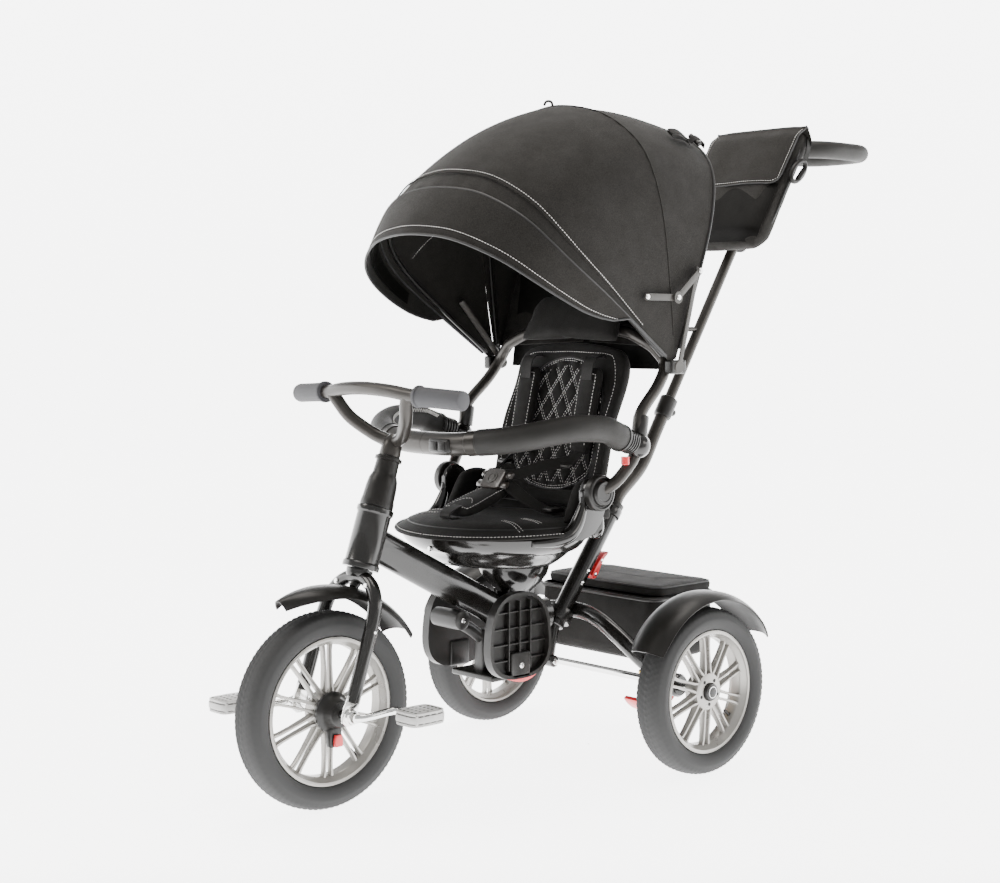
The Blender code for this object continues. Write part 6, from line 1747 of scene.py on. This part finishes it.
@dataclass
class Canopy:
    """Folding hood: rear and front roof panels, visor, back panel and stretcher links."""

    axis: Vector = field(default_factory=lambda: Vector((0.0, -0.0225, 0.6170)))
    half_width: float = 0.206
    wall: float = 0.0025
    layer: float = 0.0037

    def build(self) -> None:
        """Makes the cloth from the back forwards, then its fittings."""
        self.curve = self.profile()
        self.back()
        self.roof()
        self.visor()
        self.fittings()
        for word, side in SIDES:
            self.links(word, side)

    def profile(self) -> list[tuple[float, float]]:
        """The hoop's (x, radius) points from the left side over the top to the right."""
        wide = self.half_width
        half = [(wide - 0.004, 0.012), (wide - 0.0005, 0.120), (wide, 0.205), (wide - 0.006, 0.262), (wide - 0.020, 0.310), (wide - 0.044, 0.345), (0.120, 0.376), (0.070, 0.396)]
        whole = half + [(0.0, 0.406)] + [(-x, r) for x, r in reversed(half)]
        return [(point.x, point.y) for point in smooth_route([(x, r, 0.0) for x, r in whole], 6)]

    def spot(self, share: float, angle: float, lift: float = 0.0) -> Vector:
        """A point on the hood.

        Args:
            share: From 0 on the left over the top to 1 on the right.
            angle: Forward from upright, in degrees.
            lift: How far outside the outer cloth.

        Returns:
            The point.
        """
        last = len(self.curve) - 1
        at = min(last - 0.000001, max(0.0, share * last))
        index = int(at)
        x0, r0 = self.curve[index]
        x1, r1 = self.curve[index + 1]
        part = at - index
        tangent = Vector((x1 - x0, r1 - r0)).normalized()
        x = x0 + (x1 - x0) * part + tangent.y * lift
        r = r0 + (r1 - r0) * part - tangent.x * lift
        turn = math.radians(angle)
        return self.axis + Vector((x, -math.sin(turn) * r, math.cos(turn) * r))

    @staticmethod
    def front_edge(share: float, middle: float, sides: float) -> float:
        """A front line's angle, which runs further forward at the hood's sides."""
        return middle + (sides - middle) * eased(abs(2.0 * share - 1.0), 0.10, 0.72)

    def sag(self, share: float, part: float, deep: float) -> float:
        """How far the cloth hangs in between two hoops, with faint puckers beside them."""
        top = math.sin(math.pi * min(1.0, max(0.0, (share - 0.08) / 0.84)))
        pucker = math.sin(share * 190.0) * 0.0007 * math.exp(-min(part, 1.0 - part) * 14.0)
        ripple = math.sin(share * 23.0 + part * 5.0) * 0.0009 * math.sin(math.pi * part)
        return -deep * math.sin(math.pi * part) * top + (pucker + ripple) * top

    def panel(self, name: str, start: float, end: float, lift: float, deep: float, low: float = 0.0) -> bpy.types.Object:
        """One sheet between two hoop angles.

        Args:
            name: The piece's name.
            start: The rear hoop's angle in degrees.
            end: The front hoop's.
            lift: How far outside the outer cloth it lies.
            deep: How far it sags.
            low: The share of the hoop left off at either side.

        Returns:
            The sheet.
        """
        rows = []
        for step in range(25):
            part = step / 24
            row = []
            for column in range(121):
                share = low + (1.0 - 2.0 * low) * column / 120
                last = self.front_edge(share, end, end + 6.0) if end > 40.0 else end
                row.append(self.spot(share, start + (last - start) * part, lift + self.sag(share, part, deep)))
            rows.append(row)
        return Form.cloth(name, rows, -0.0022)

    def line(self, angle: float, lift: float, low: float, wider: float = 0.0, count: int = 120) -> list[Vector]:
        """Points along one hoop angle, wider by some degrees at the sides."""
        shares = [low + (1.0 - 2.0 * low) * k / count for k in range(count + 1)]
        return [self.spot(share, self.front_edge(share, angle, angle + wider), lift) for share in shares]

    def seam(self, name: str, route: Sequence[Point], pitch: float = 0.0046) -> bpy.types.Object:
        """A row of stitches along a route."""
        return Form.stitches(name, route, pitch, pitch * 0.66, 0.00058)

    def cord(self, name: str, route: Sequence[Point], radius: float) -> bpy.types.Object:
        """A sewn cord along a route."""
        return Form.tube(name, route, radius, 10, 1)

    def back(self) -> None:
        """The flat panel that closes the hood's back."""
        rows = []
        centre = self.spot(0.5, -20.0, -0.010)
        centre = self.axis.lerp(centre, 0.10)
        for step in range(17):
            part = 0.04 + 0.96 * step / 16
            row = []
            for column in range(81):
                edge = self.spot(0.01 + 0.98 * column / 80, -19.8, -0.0058)
                billow = Vector((0.0, math.cos(math.radians(20.0)), -math.sin(math.radians(20.0)) * -1.0)) * (0.006 * math.sin(math.pi * part) * math.sin(math.pi * column / 80))
                row.append(centre.lerp(edge, part) + billow * 0.5)
            rows.append(row)
        panel = dress(Form.cloth("canopy_back_panel", rows, 0.0022), CANVAS, "backrest", "canopy_back")
        curtain = []
        for step in range(13):
            row = []
            for column in range(41):
                x = -0.176 + 0.352 * column / 40
                drop = step / 12
                z = 0.800 - 0.188 * drop
                y = 0.024 - 0.026 * drop - 0.003 * math.cos(x * 60.0) * drop
                row.append(Vector((x, y - 0.004, z)))
            curtain.append(row)
        inner = dress(Form.cloth("canopy_curtain", curtain, 0.0014), SATIN_CLOTH, "backrest")

    def roof(self) -> None:
        """The two nested roof panels with their seams and hoops."""
        rear = dress(self.panel("canopy_rear_panel", -20.0, 8.8, -self.layer, 0.0030), CANVAS, "canopy_ridge", "canopy_rear")
        front = dress(self.panel("canopy_front_panel", 8.2, 50.0, 0.0, 0.0058), CANVAS, "canopy_front", "canopy_front")
        dress(self.cord("canopy_rear_piping", self.line(-20.0, -self.layer + 0.0006, 0.01), 0.0021), PIPING, "canopy_ridge")
        dress(self.cord("canopy_ridge_piping", self.line(8.4, 0.0002, 0.02), 0.0010), CANVAS, "canopy_front")
        dress(self.cord("canopy_front_piping", self.line(49.9, 0.0010, 0.01, 6.0), 0.0026), PIPING, "canopy_front")
        sewn = self.line(44.4, 0.0006, 0.05, 6.4, 200)
        dress(self.seam("canopy_front_stitching", sewn), THREAD, "canopy_front")
        dress(self.cord("canopy_front_fold", self.line(45.2, 0.0000, 0.05, 6.4), 0.0012), CANVAS, "canopy_front")
        dress(self.cord("canopy_ridge_hoop", self.line(5.0, -0.0105, 0.01), 0.0034), BLACK, "canopy_ridge")
        dress(self.cord("canopy_front_hoop", self.line(47.6, -0.0075, 0.01, 6.0), 0.0036), BLACK, "canopy_front")
        for side in (-1, 1):
            inside = [self.spot(0.5 + side * 0.33, 12.0 + 36.0 * k / 40, -0.0040) for k in range(41)]
            dress(self.seam(f"canopy_lining_stitching_{'left' if side < 0 else 'right'}", inside), THREAD, "canopy_front")

    def visor(self) -> None:
        """The stiff peak outside the front hoop, rounded off at its two corners."""
        rows = []
        count = 120
        low = 0.070
        for step in range(17):
            part = step / 16
            row = []
            for column in range(count + 1):
                share = low + (1.0 - 2.0 * low) * column / count
                near = min(column, count - column) / count
                full_round = math.sqrt(1.0 - (1.0 - min(1.0, near / 0.075)) ** 2)
                first = self.front_edge(share, 50.2, 56.2)
                reach = max(0.25, (self.front_edge(share, 61.8, 66.6) - first) * full_round)
                point = self.spot(share, first + reach * part, self.layer + 0.0006 * math.sin(share * 30.0) * part)
                point.x *= 1.0 - 0.075 * part * reach / 11.0
                row.append(point)
            rows.append(row)
        peak = dress(Form.cloth("canopy_visor_panel", rows, -0.0024), CANVAS, "canopy_visor", "canopy_visor")
        edge = rows[-1]
        dress(Form.tube("canopy_visor_piping", edge[::2], 0.0019, 10, 1), PIPING, "canopy_visor")
        sewn = []
        for column in range(1, count):
            sewn.append(rows[-1][column].lerp(rows[-4][column], 0.9) + (rows[-1][column] - self.axis).normalized() * 0.0005)
        dress(Form.stitches("canopy_visor_stitching", sewn, 0.0046, 0.0030, 0.00055), THREAD, "canopy_visor")
        inner = []
        for step in range(9):
            inner.append([rows[4 + step][column] + (self.axis - rows[4 + step][column]).normalized() * 0.0060 for column in range(10, count - 9, 2)])
        lining = dress(Form.cloth("canopy_visor_lining", inner, -0.0012), SATIN_CLOTH, "canopy_visor")

    def fittings(self) -> None:
        """The top hook, the bow strap with its toggle and the rear clips."""
        top = self.spot(0.5, 9.4, 0.0)
        hook = [top + Vector((0.0, 0.004, 0.000)), top + Vector((0.0, 0.002, 0.0060)), top + Vector((0.0, -0.004, 0.0075)), top + Vector((0.0, -0.010, 0.0060)), top + Vector((0.0, -0.014, 0.0008))]
        dress(Form.tube("canopy_hook", hook, 0.0020, 12, 6), BLACK, "canopy_front")
        at = self.spot(0.335, -14.0, -0.002)
        out = (at - self.spot(0.335, -14.0, -0.012)).normalized()
        ahead = (self.spot(0.335, -8.0) - self.spot(0.335, -14.0)).normalized()
        across = (self.spot(0.36, -14.0) - self.spot(0.335, -14.0)).normalized()
        loop = [at - across * 0.004, at + out * 0.006 + ahead * 0.010, at + out * 0.010 + ahead * 0.030, at + out * 0.006 + ahead * 0.046, at + out * 0.001 + ahead * 0.040, at + out * 0.003 + ahead * 0.020, at + out * 0.001 + across * 0.002]
        dress(Form.ribbon("canopy_bow", loop, out, 0.015, 0.0015, 8), WEBBING, "canopy_ridge")
        tail = [at + out * 0.002 - ahead * 0.002, at + out * 0.012 - ahead * 0.008, at + out * 0.010 - ahead * 0.026, at + out * 0.003 - ahead * 0.032]
        dress(Form.ribbon("canopy_bow_tail", tail, out, 0.013, 0.0015, 8), WEBBING, "canopy_ridge")
        toggle = at + out * 0.008 - ahead * 0.010
        dress(Form.tube("canopy_toggle", [toggle - across * 0.013, toggle + across * 0.013], 0.0042, 18, 3), SATIN, "canopy_ridge")
        for word, side in SIDES:
            clip = self.axis + Vector((0.2015 * side, 0.0, 0.0))
            shell = Form.block(f"canopy_foot_{word}", clip + Vector((-0.0075, -0.017, -0.0105)), clip + Vector((0.0075, 0.017, 0.0105)), 0.0030)
            dress(shell, BLACK, "backrest")
            bar = Form.tube(f"canopy_arm_{word}", [clip + Vector((-0.010 * side, 0.002, 0.010)), clip + Vector((-0.012 * side, -0.060, 0.075)), clip + Vector((-0.014 * side, -0.085, 0.100))], 0.0052, 14, 4, False, 0.5)
            dress(bar, DARK_GREY, "canopy_front")
            hub = [(0.0, 0.0), (0.0, 0.0085), (0.0020, 0.0095), (0.0070, 0.0095), (0.0085, 0.0080), (0.0085, 0.0)]
            dress(Form.lathe(f"canopy_hub_{word}", hub, clip + Vector((-0.0130 * side, 0.0, 0.0)), (-side, 0, 0), 32), BLACK, "backrest")
            rivet = [(0.0, 0.0), (0.0, 0.0042), (0.0010, 0.0038), (0.0018, 0.0022), (0.0018, 0.0)]
            dress(Form.lathe(f"canopy_hub_rivet_{word}", rivet, clip + Vector((-0.0214 * side, 0.0, 0.0)), (-side, 0, 0), 20), CHROME, "backrest")

    def on_side(self, angle: float, reach: float, x: float) -> Vector:
        """A point beside the hood from its angle in degrees and distance from the hinge."""
        turn = math.radians(angle)
        return self.axis + Vector((x, -math.sin(turn) * reach, math.cos(turn) * reach))

    def links(self, word: str, side: int) -> None:
        """The two stretcher links on one side with their rivets."""
        knee = Vector((0.0, -0.033326, 0.720888))
        front = self.on_side(36.0, 0.129, 0.0)
        rear = self.on_side(-15.4, 0.150, 0.0)
        for name, start, end, level in (("link_front", knee, front, 0.2110), ("link_rear", rear, knee, 0.2134)):
            along = (end - start).normalized()
            across = Vector((0.0, -along.z, along.y))
            outline = []
            for centre, turn, round_r in ((end, 0.0, 0.0052), (start, math.pi, 0.0052)):
                for step in range(13):
                    angle = turn - math.pi / 2.0 + math.pi * step / 12
                    point = centre + (along * math.cos(angle) + across * math.sin(angle)) * round_r
                    outline.append(Vector((level * side, point.y, point.z)))
            bar = Form.plate(f"{name}_{word}_bar", outline, (0.0022 * side, 0, 0), 0.0005)
            dress(bar, DARK_GREY, f"{name}_{word}", f"{name}_{word}")
        cap = [(0.0, 0.0), (0.0, 0.0058), (0.0008, 0.0066), (0.0016, 0.0060), (0.0020, 0.0030), (0.0022, 0.0)]
        wide = [(0.0, 0.0), (0.0, 0.0088), (0.0006, 0.0092), (0.0014, 0.0086), (0.0016, 0.0)]
        knee_at = Vector((0.2156 * side, knee.y, knee.z))
        dress(Form.lathe(f"link_washer_{word}", wide, knee_at, (side, 0, 0), 32), DARK_GREY, f"link_rear_{word}")
        small = [(distance, radius * 0.62) for distance, radius in cap]
        dress(Form.lathe(f"link_knee_rivet_{word}", small, knee_at + Vector((0.0012 * side, 0, 0)), (side, 0, 0), 24), CHROME, f"link_rear_{word}")
        dress(Form.lathe(f"link_front_rivet_{word}", small, Vector((0.2131 * side, front.y, front.z)), (side, 0, 0), 24), CHROME, "canopy_front")
        dress(Form.lathe(f"link_rear_rivet_{word}", small, Vector((0.2155 * side, rear.y, rear.z)), (side, 0, 0), 24), CHROME, "backrest")


@dataclass
class PushBar:
    """Lower bar, telescopic upper bar, collar, foam handle loop and storage bag."""

    low: Vector = field(default_factory=lambda: Vector((0.0, 0.1225, 0.4470)))
    top: Vector = field(default_factory=lambda: Vector((0.0, 0.1905, 0.5540)))
    ahead: Vector = field(default_factory=lambda: Vector((0.0, 0.5364, 0.8440)))
    side: Vector = field(default_factory=lambda: Vector((0.0, -0.8440, 0.5364)))

    def build(self) -> None:
        """Makes the parent's push bar."""
        self.bars()
        self.handle()
        self.bag()

    def bars(self) -> None:
        """The two tubes, the locking collar and the cross rod."""
        socket = Vector((0.0, 0.6, 0.8))
        foot = Vector((0.0, -0.0790, 0.2040)) + socket * 0.022
        mouth = Vector((0.0, 0.0545, 0.3820))
        route = [foot, foot.lerp(mouth, 0.5), mouth, mouth + socket * 0.010, mouth + socket * 0.030, self.low, self.low.lerp(self.top, 0.5), self.top - self.ahead * 0.010]
        dress(Form.tube("push_tube_lower", route, 0.0112, 32, 6), GUNMETAL, "push_lower", "push_bar_lower")
        collar = [(-0.0340, 0.0112), (-0.0330, 0.0138), (-0.0300, 0.0150), (-0.0040, 0.0152), (0.0010, 0.0150), (0.0022, 0.0136), (0.0022, 0.0091), (-0.0340, 0.0091)]
        cuff = Form.lathe("cuff", collar, self.top, self.ahead, 44)
        strap = Form.lathe("ring", [(0.001, 0.0115), (0.001, 0.0162), (0.008, 0.0162), (0.009, 0.0115)], mouth, socket, 40)
        dress(Form.join([cuff, strap], "push_collar"), BLACK, "push_lower")
        start = self.top - self.ahead * 0.055
        end = start + self.ahead * ((0.978 - start.z) / self.ahead.z)
        parts = [Form.tube("upper", [start, start.lerp(end, 0.5), end], 0.0088, 32, 4)]
        stub = start + self.ahead * ((0.672 - start.z) / self.ahead.z)
        parts.append(Form.tube("stub", [stub, stub - Vector((0, 0.018, 0)), stub - Vector((0, 0.036, 0))], 0.0040, 18, 2))
        dress(Form.join(parts, "push_tube_upper"), GUNMETAL, "push_upper", "push_bar_upper")
        knob = [(0.0, 0.0), (0.0, 0.0058), (0.0035, 0.0058), (0.0048, 0.0050), (0.0052, 0.0036), (0.0052, 0.0)]
        at = self.top - self.ahead * 0.014 - self.side * 0.0178
        dress(Form.lathe("collar_push_button", knob, at, -self.side, 32), BLACK, "collar_button", "collar_button")

    def handle(self) -> None:
        """The foam loop and the moulded hub that joins it to the tube."""
        z = 0.9880
        half = [(0.018, 0.486), (0.034, 0.4915), (0.048, 0.506), (0.060, 0.528), (0.066, 0.556), (0.067, 0.590), (0.066, 0.617), (0.060, 0.637), (0.046, 0.6500), (0.024, 0.6565)]
        route = [Vector((x, y, z)) for x, y in half] + [Vector((0.0, 0.6580, z))] + [Vector((-x, y, z)) for x, y in reversed(half)]
        foam = Form.tube("handle_foam", route, 0.0153, 36, 6)
        dress(foam, FOAM, "push_upper", "handle")
        hub = [Form.block("hub", (-0.024, 0.4630, z - 0.014), (0.024, 0.4880, z + 0.0130), 0.0050)]
        hub.append(Form.lathe("sleeve", [(-0.052, 0.0), (-0.052, 0.0118), (-0.046, 0.0130), (0.006, 0.0135), (0.010, 0.0100), (0.010, 0.0)], Vector((0.0, 0.4602, 0.9780)), self.ahead, 36))
        dress(Form.join(hub, "handle_hub"), BLACK, "push_upper")

    def bag_point(self, x: float, rise: float, out: float) -> Vector:
        """A point by its distance across, up the tube and out from the tube's front."""
        start = self.top - self.ahead * 0.055
        end = start + self.ahead * ((0.978 - start.z) / self.ahead.z)
        return end - self.ahead * 0.221 + self.ahead * rise + self.side * (0.0110 + out) + Vector((x, 0, 0))

    def bag(self) -> None:
        """The storage bag with its rounded flap, pocket, gusset and clip."""

        def body(u: float, v: float, face: int) -> Vector:
            """A place on the bag's body."""
            share = (v + 1.0) / 2.0
            wide = 0.0960 * (1.0 - 0.16 * (1.0 - eased(share, 0.0, 0.16)) ** 2 - 0.05 * eased(share, 0.88, 1.0))
            deep = 0.0205 + 0.0025 * math.sin(math.pi * share)
            crease = 0.0012 * math.sin(u * 7.0 + share * 9.0) * (1.0 - u * u)
            return self.bag_point(u * wide, share * 0.2340, 0.0225 + face * (deep * full(u, v, 7.0) + crease * (1.0 if face > 0 else 0.0)))

        sack = puffed(Form.pillow("bag_body", body, 44, 52), 0.004)
        dress(sack, CANVAS, "push_upper", "bag")
        inward = -self.side
        pocket_rows = []
        for step in range(25):
            share = step / 24
            row = []
            for column in range(41):
                u = -1.0 + column / 20.0
                wide = 0.0900 * (1.0 - 0.14 * (1.0 - eased(share, 0.0, 0.22)) ** 2)
                bulge = 0.0040 * (1.0 - abs(u) ** 5) * math.sin(math.pi * min(1.0, share * 1.05)) ** 0.5
                row.append(self.bag_point(u * wide, 0.006 + share * 0.112, 0.0452 + bulge - 0.0120 * (1.0 - eased(share, 0.0, 0.18)) - 0.008 * abs(u) ** 8))
            pocket_rows.append(row)
        pocket = dress(Form.cloth("bag_pocket", pocket_rows, 0.0016), SATIN_CLOTH, "push_upper")
        dress(Form.tube("bag_pocket_zip", pocket_rows[2][1:-1], 0.0016, 8, 1), PIPING, "push_upper")
        self.flap()
        for word, side in SIDES:
            gusset = [self.bag_point(0.0925 * side, 0.200, 0.026), self.bag_point(0.0962 * side, 0.150, 0.024), self.bag_point(0.0960 * side, 0.080, 0.022), self.bag_point(0.0900 * side, 0.022, 0.020)]
            dress(Form.tube(f"bag_gusset_piping_{word}", gusset, 0.0017, 8, 8), PIPING, "push_upper")
        self.clip()
        for rise in (0.040, 0.170):
            band = [self.bag_point(0.030, rise, 0.004), self.bag_point(0.016, rise, -0.012), self.bag_point(0.0, rise, -0.0215), self.bag_point(-0.016, rise, -0.012), self.bag_point(-0.030, rise, 0.004)]
            strap = Form.ribbon("bag_strap", band, self.ahead, 0.002, 0.022, 6)
            strap.name = f"bag_strap_{int(rise * 1000)}"
            dress(strap, WEBBING, "push_upper")

    def flap(self) -> None:
        """The cover that folds over the bag's top and hangs down its front."""
        rows = []
        for step in range(37):
            share = step / 36
            row = []
            for column in range(49):
                u = -1.0 + column / 24.0
                wide = 0.0985 - 0.004 * share
                corner = 0.022 * (1.0 - math.sqrt(max(0.0, 1.0 - max(0.0, (abs(u) - 0.80) / 0.20) ** 2)))
                if share < 0.30:
                    turn = math.pi * 0.5 * share / 0.30
                    rise = 0.2180 + 0.0210 * math.sin(turn)
                    out = 0.0060 + (1.0 - math.cos(turn)) * 0.0190 + share / 0.30 * 0.0160
                else:
                    down = (share - 0.30) / 0.70
                    rise = 0.2390 - 0.1260 * down + corner * down
                    out = 0.0410 + 0.0100 * eased(down, 0.0, 0.25) + 0.0012 * math.sin(u * 5.0) * down - 0.0055 * abs(u) ** 6
                row.append(self.bag_point(u * wide, rise, out))
            rows.append(row)
        cover = dress(Form.cloth("bag_flap", rows, 0.0020), CANVAS, "push_upper")
        edge = [rows[r][1] for r in range(12, 36)] + [rows[35][c] for c in range(2, 47)] + [rows[r][47] for r in range(35, 11, -1)]
        lifted = [point + self.side * 0.0006 for point in edge]
        dress(Form.stitches("bag_flap_stitching", lifted, 0.0046, 0.0030, 0.0005), THREAD, "push_upper")
        rim = [rows[r][0] for r in range(8, 37)] + rows[36][1:48] + [rows[r][48] for r in range(36, 7, -1)]
        dress(Form.tube("bag_flap_piping", rim, 0.0014, 8, 1), PIPING, "push_upper")

    def clip(self) -> None:
        """The oval carabiner clip on the bag's near side, on its short strap."""
        middle = self.bag_point(0.1040, 0.156, 0.020)
        up = self.ahead * 0.92 - self.side * 0.2
        across = self.side
        loop = [middle + up * (0.0245 * math.sin(TAU * k / 20)) + across * (0.0125 * math.cos(TAU * k / 20)) for k in range(20)]
        ring = Form.tube("ring", loop, 0.0042, 14, 2, True)
        gate = Form.tube("gate", [middle - across * 0.0095 - up * 0.012, middle - across * 0.0095 + up * 0.012], 0.0050, 14, 3)
        dress(Form.join([ring, gate], "bag_clip"), SATIN, "push_upper")
        strap = [middle + up * 0.0245, self.bag_point(0.1010, 0.204, 0.014), self.bag_point(0.0930, 0.226, 0.014)]
        dress(Form.ribbon("bag_clip_strap", strap, (1, 0, 0), 0.012, 0.0016), WEBBING, "push_upper")


@dataclass
class Studio:
    """Pale floor, soft light and the camera."""

    floor_r: float = 4.6
    wall_r: float = 3.2
    bright: float = 5.2
    dim: float = 0.05

    def build(self) -> None:
        """Sets up the room."""
        self.backdrop()
        self.lights()
        self.camera()

    def backdrop(self) -> None:
        """A round pale floor that curves up into a wall on every side."""
        profile = [(0.0, 0.0), (0.0, 1.5), (0.0, self.floor_r)]
        for step in range(1, 13):
            turn = math.pi / 2.0 * step / 12
            profile.append((self.wall_r * (1.0 - math.cos(turn)), self.floor_r + self.wall_r * math.sin(turn)))
        rings = []
        for height, radius in profile[1:]:
            rings.append([Vector((math.cos(TAU * k / 96) * radius, math.sin(TAU * k / 96) * radius, height)) for k in range(96)])
        floor = Form.loft("studio_floor", [[p * 0.001 for p in rings[0]], *rings], caps=False)
        paper = bpy.data.materials.new("studio_paper")
        paper.use_nodes = True
        shader = paper.node_tree.nodes["Principled BSDF"]
        shader.inputs["Base Color"].default_value = (0.60, 0.60, 0.60, 1.0)
        shader.inputs["Roughness"].default_value = 0.9
        shader.inputs["Specular IOR Level"].default_value = 0.1
        shader.inputs["Emission Color"].default_value = (1.0, 1.0, 1.0, 1.0)
        self.glow(paper.node_tree, shader)
        floor.data.materials.append(paper)
        floor.data.shade_smooth()
        floor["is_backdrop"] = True

    def glow(self, tree: bpy.types.NodeTree, shader: bpy.types.Node) -> None:
        """Makes the paper bright behind the trike and dimmer on the side that it faces."""
        place = tree.nodes.new("ShaderNodeTexCoord")
        along = tree.nodes.new("ShaderNodeVectorMath")
        along.operation = "DOT_PRODUCT"
        along.inputs[1].default_value = (-0.734, 0.679, 0.0)
        tree.links.new(place.outputs["Object"], along.inputs[0])
        span = tree.nodes.new("ShaderNodeMapRange")
        span.inputs["From Min"].default_value = -2.2
        span.inputs["From Max"].default_value = -0.6
        span.inputs["To Min"].default_value = self.dim
        span.inputs["To Max"].default_value = self.bright
        tree.links.new(along.outputs["Value"], span.inputs["Value"])
        tree.links.new(span.outputs["Result"], shader.inputs["Emission Strength"])

    def lights(self) -> None:
        """A big soft lamp overhead, a key from the front left and a fill."""
        scene = bpy.context.scene
        world = bpy.data.worlds.new("studio")
        world.use_nodes = True
        world.node_tree.nodes["Background"].inputs["Color"].default_value = (1.0, 1.0, 1.0, 1.0)
        world.node_tree.nodes["Background"].inputs["Strength"].default_value = 0.80
        scene.world = world
        lamps = (("key", (-1.8, -2.4, 3.2), 1.6, 60.0), ("top", (-0.3, 0.3, 3.4), 2.2, 100.0), ("side", (3.2, 1.2, 1.9), 1.4, 24.0), ("back", (-1.2, 3.0, 2.6), 2.0, 12.0))
        for name, place, size, power in lamps:
            data = bpy.data.lights.new(name, "AREA")
            data.shape = "DISK"
            data.size = size
            data.energy = power
            data.color = (1.0, 0.955, 0.90)
            lamp = bpy.data.objects.new(name, data)
            lamp.location = place
            lamp.rotation_euler = (Vector((0.0, 0.0, 0.45)) - Vector(place)).to_track_quat("-Z", "Y").to_euler()
            scene.collection.objects.link(lamp)

    def camera(self) -> None:
        """The camera at the front left of the trike, a little above its middle."""
        data = bpy.data.cameras.new("camera")
        data.sensor_width = 36.0
        data.lens = 61.157
        data.clip_end = 60.0
        camera = bpy.data.objects.new("camera", data)
        camera.location = (1.9007, -1.9528, 0.6864)
        yaw = math.radians(47.249)
        pitch = math.radians(4.068)
        look = Vector((-math.sin(yaw) * math.cos(pitch), math.cos(yaw) * math.cos(pitch), -math.sin(pitch)))
        camera.rotation_euler = look.to_track_quat("-Z", "Y").to_euler()
        bpy.context.scene.collection.objects.link(camera)
        bpy.context.scene.camera = camera


ASSEMBLIES = (
    FrontDrive(),
    RearWheels(),
    Fork(),
    MainFrame(),
    RearFrame(),
    Basket(),
    SafetySeat(),
    Backrest(),
    GuardRail(),
    Canopy(),
    PushBar(),
    Studio(),
)


def main() -> None:
    """Builds the trike piece by piece, then the studio."""
    logging.basicConfig(level=logging.INFO, format="%(message)s")
    for part in ASSEMBLIES:
        log.info("building %s", type(part).__name__)
        part.build()
    corners = {"cad": CAD_BOX, "visual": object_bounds()}
    {name: [list(corner) for corner in box] for name, box in corners.items()}


if __name__ == "__main__":
    main()
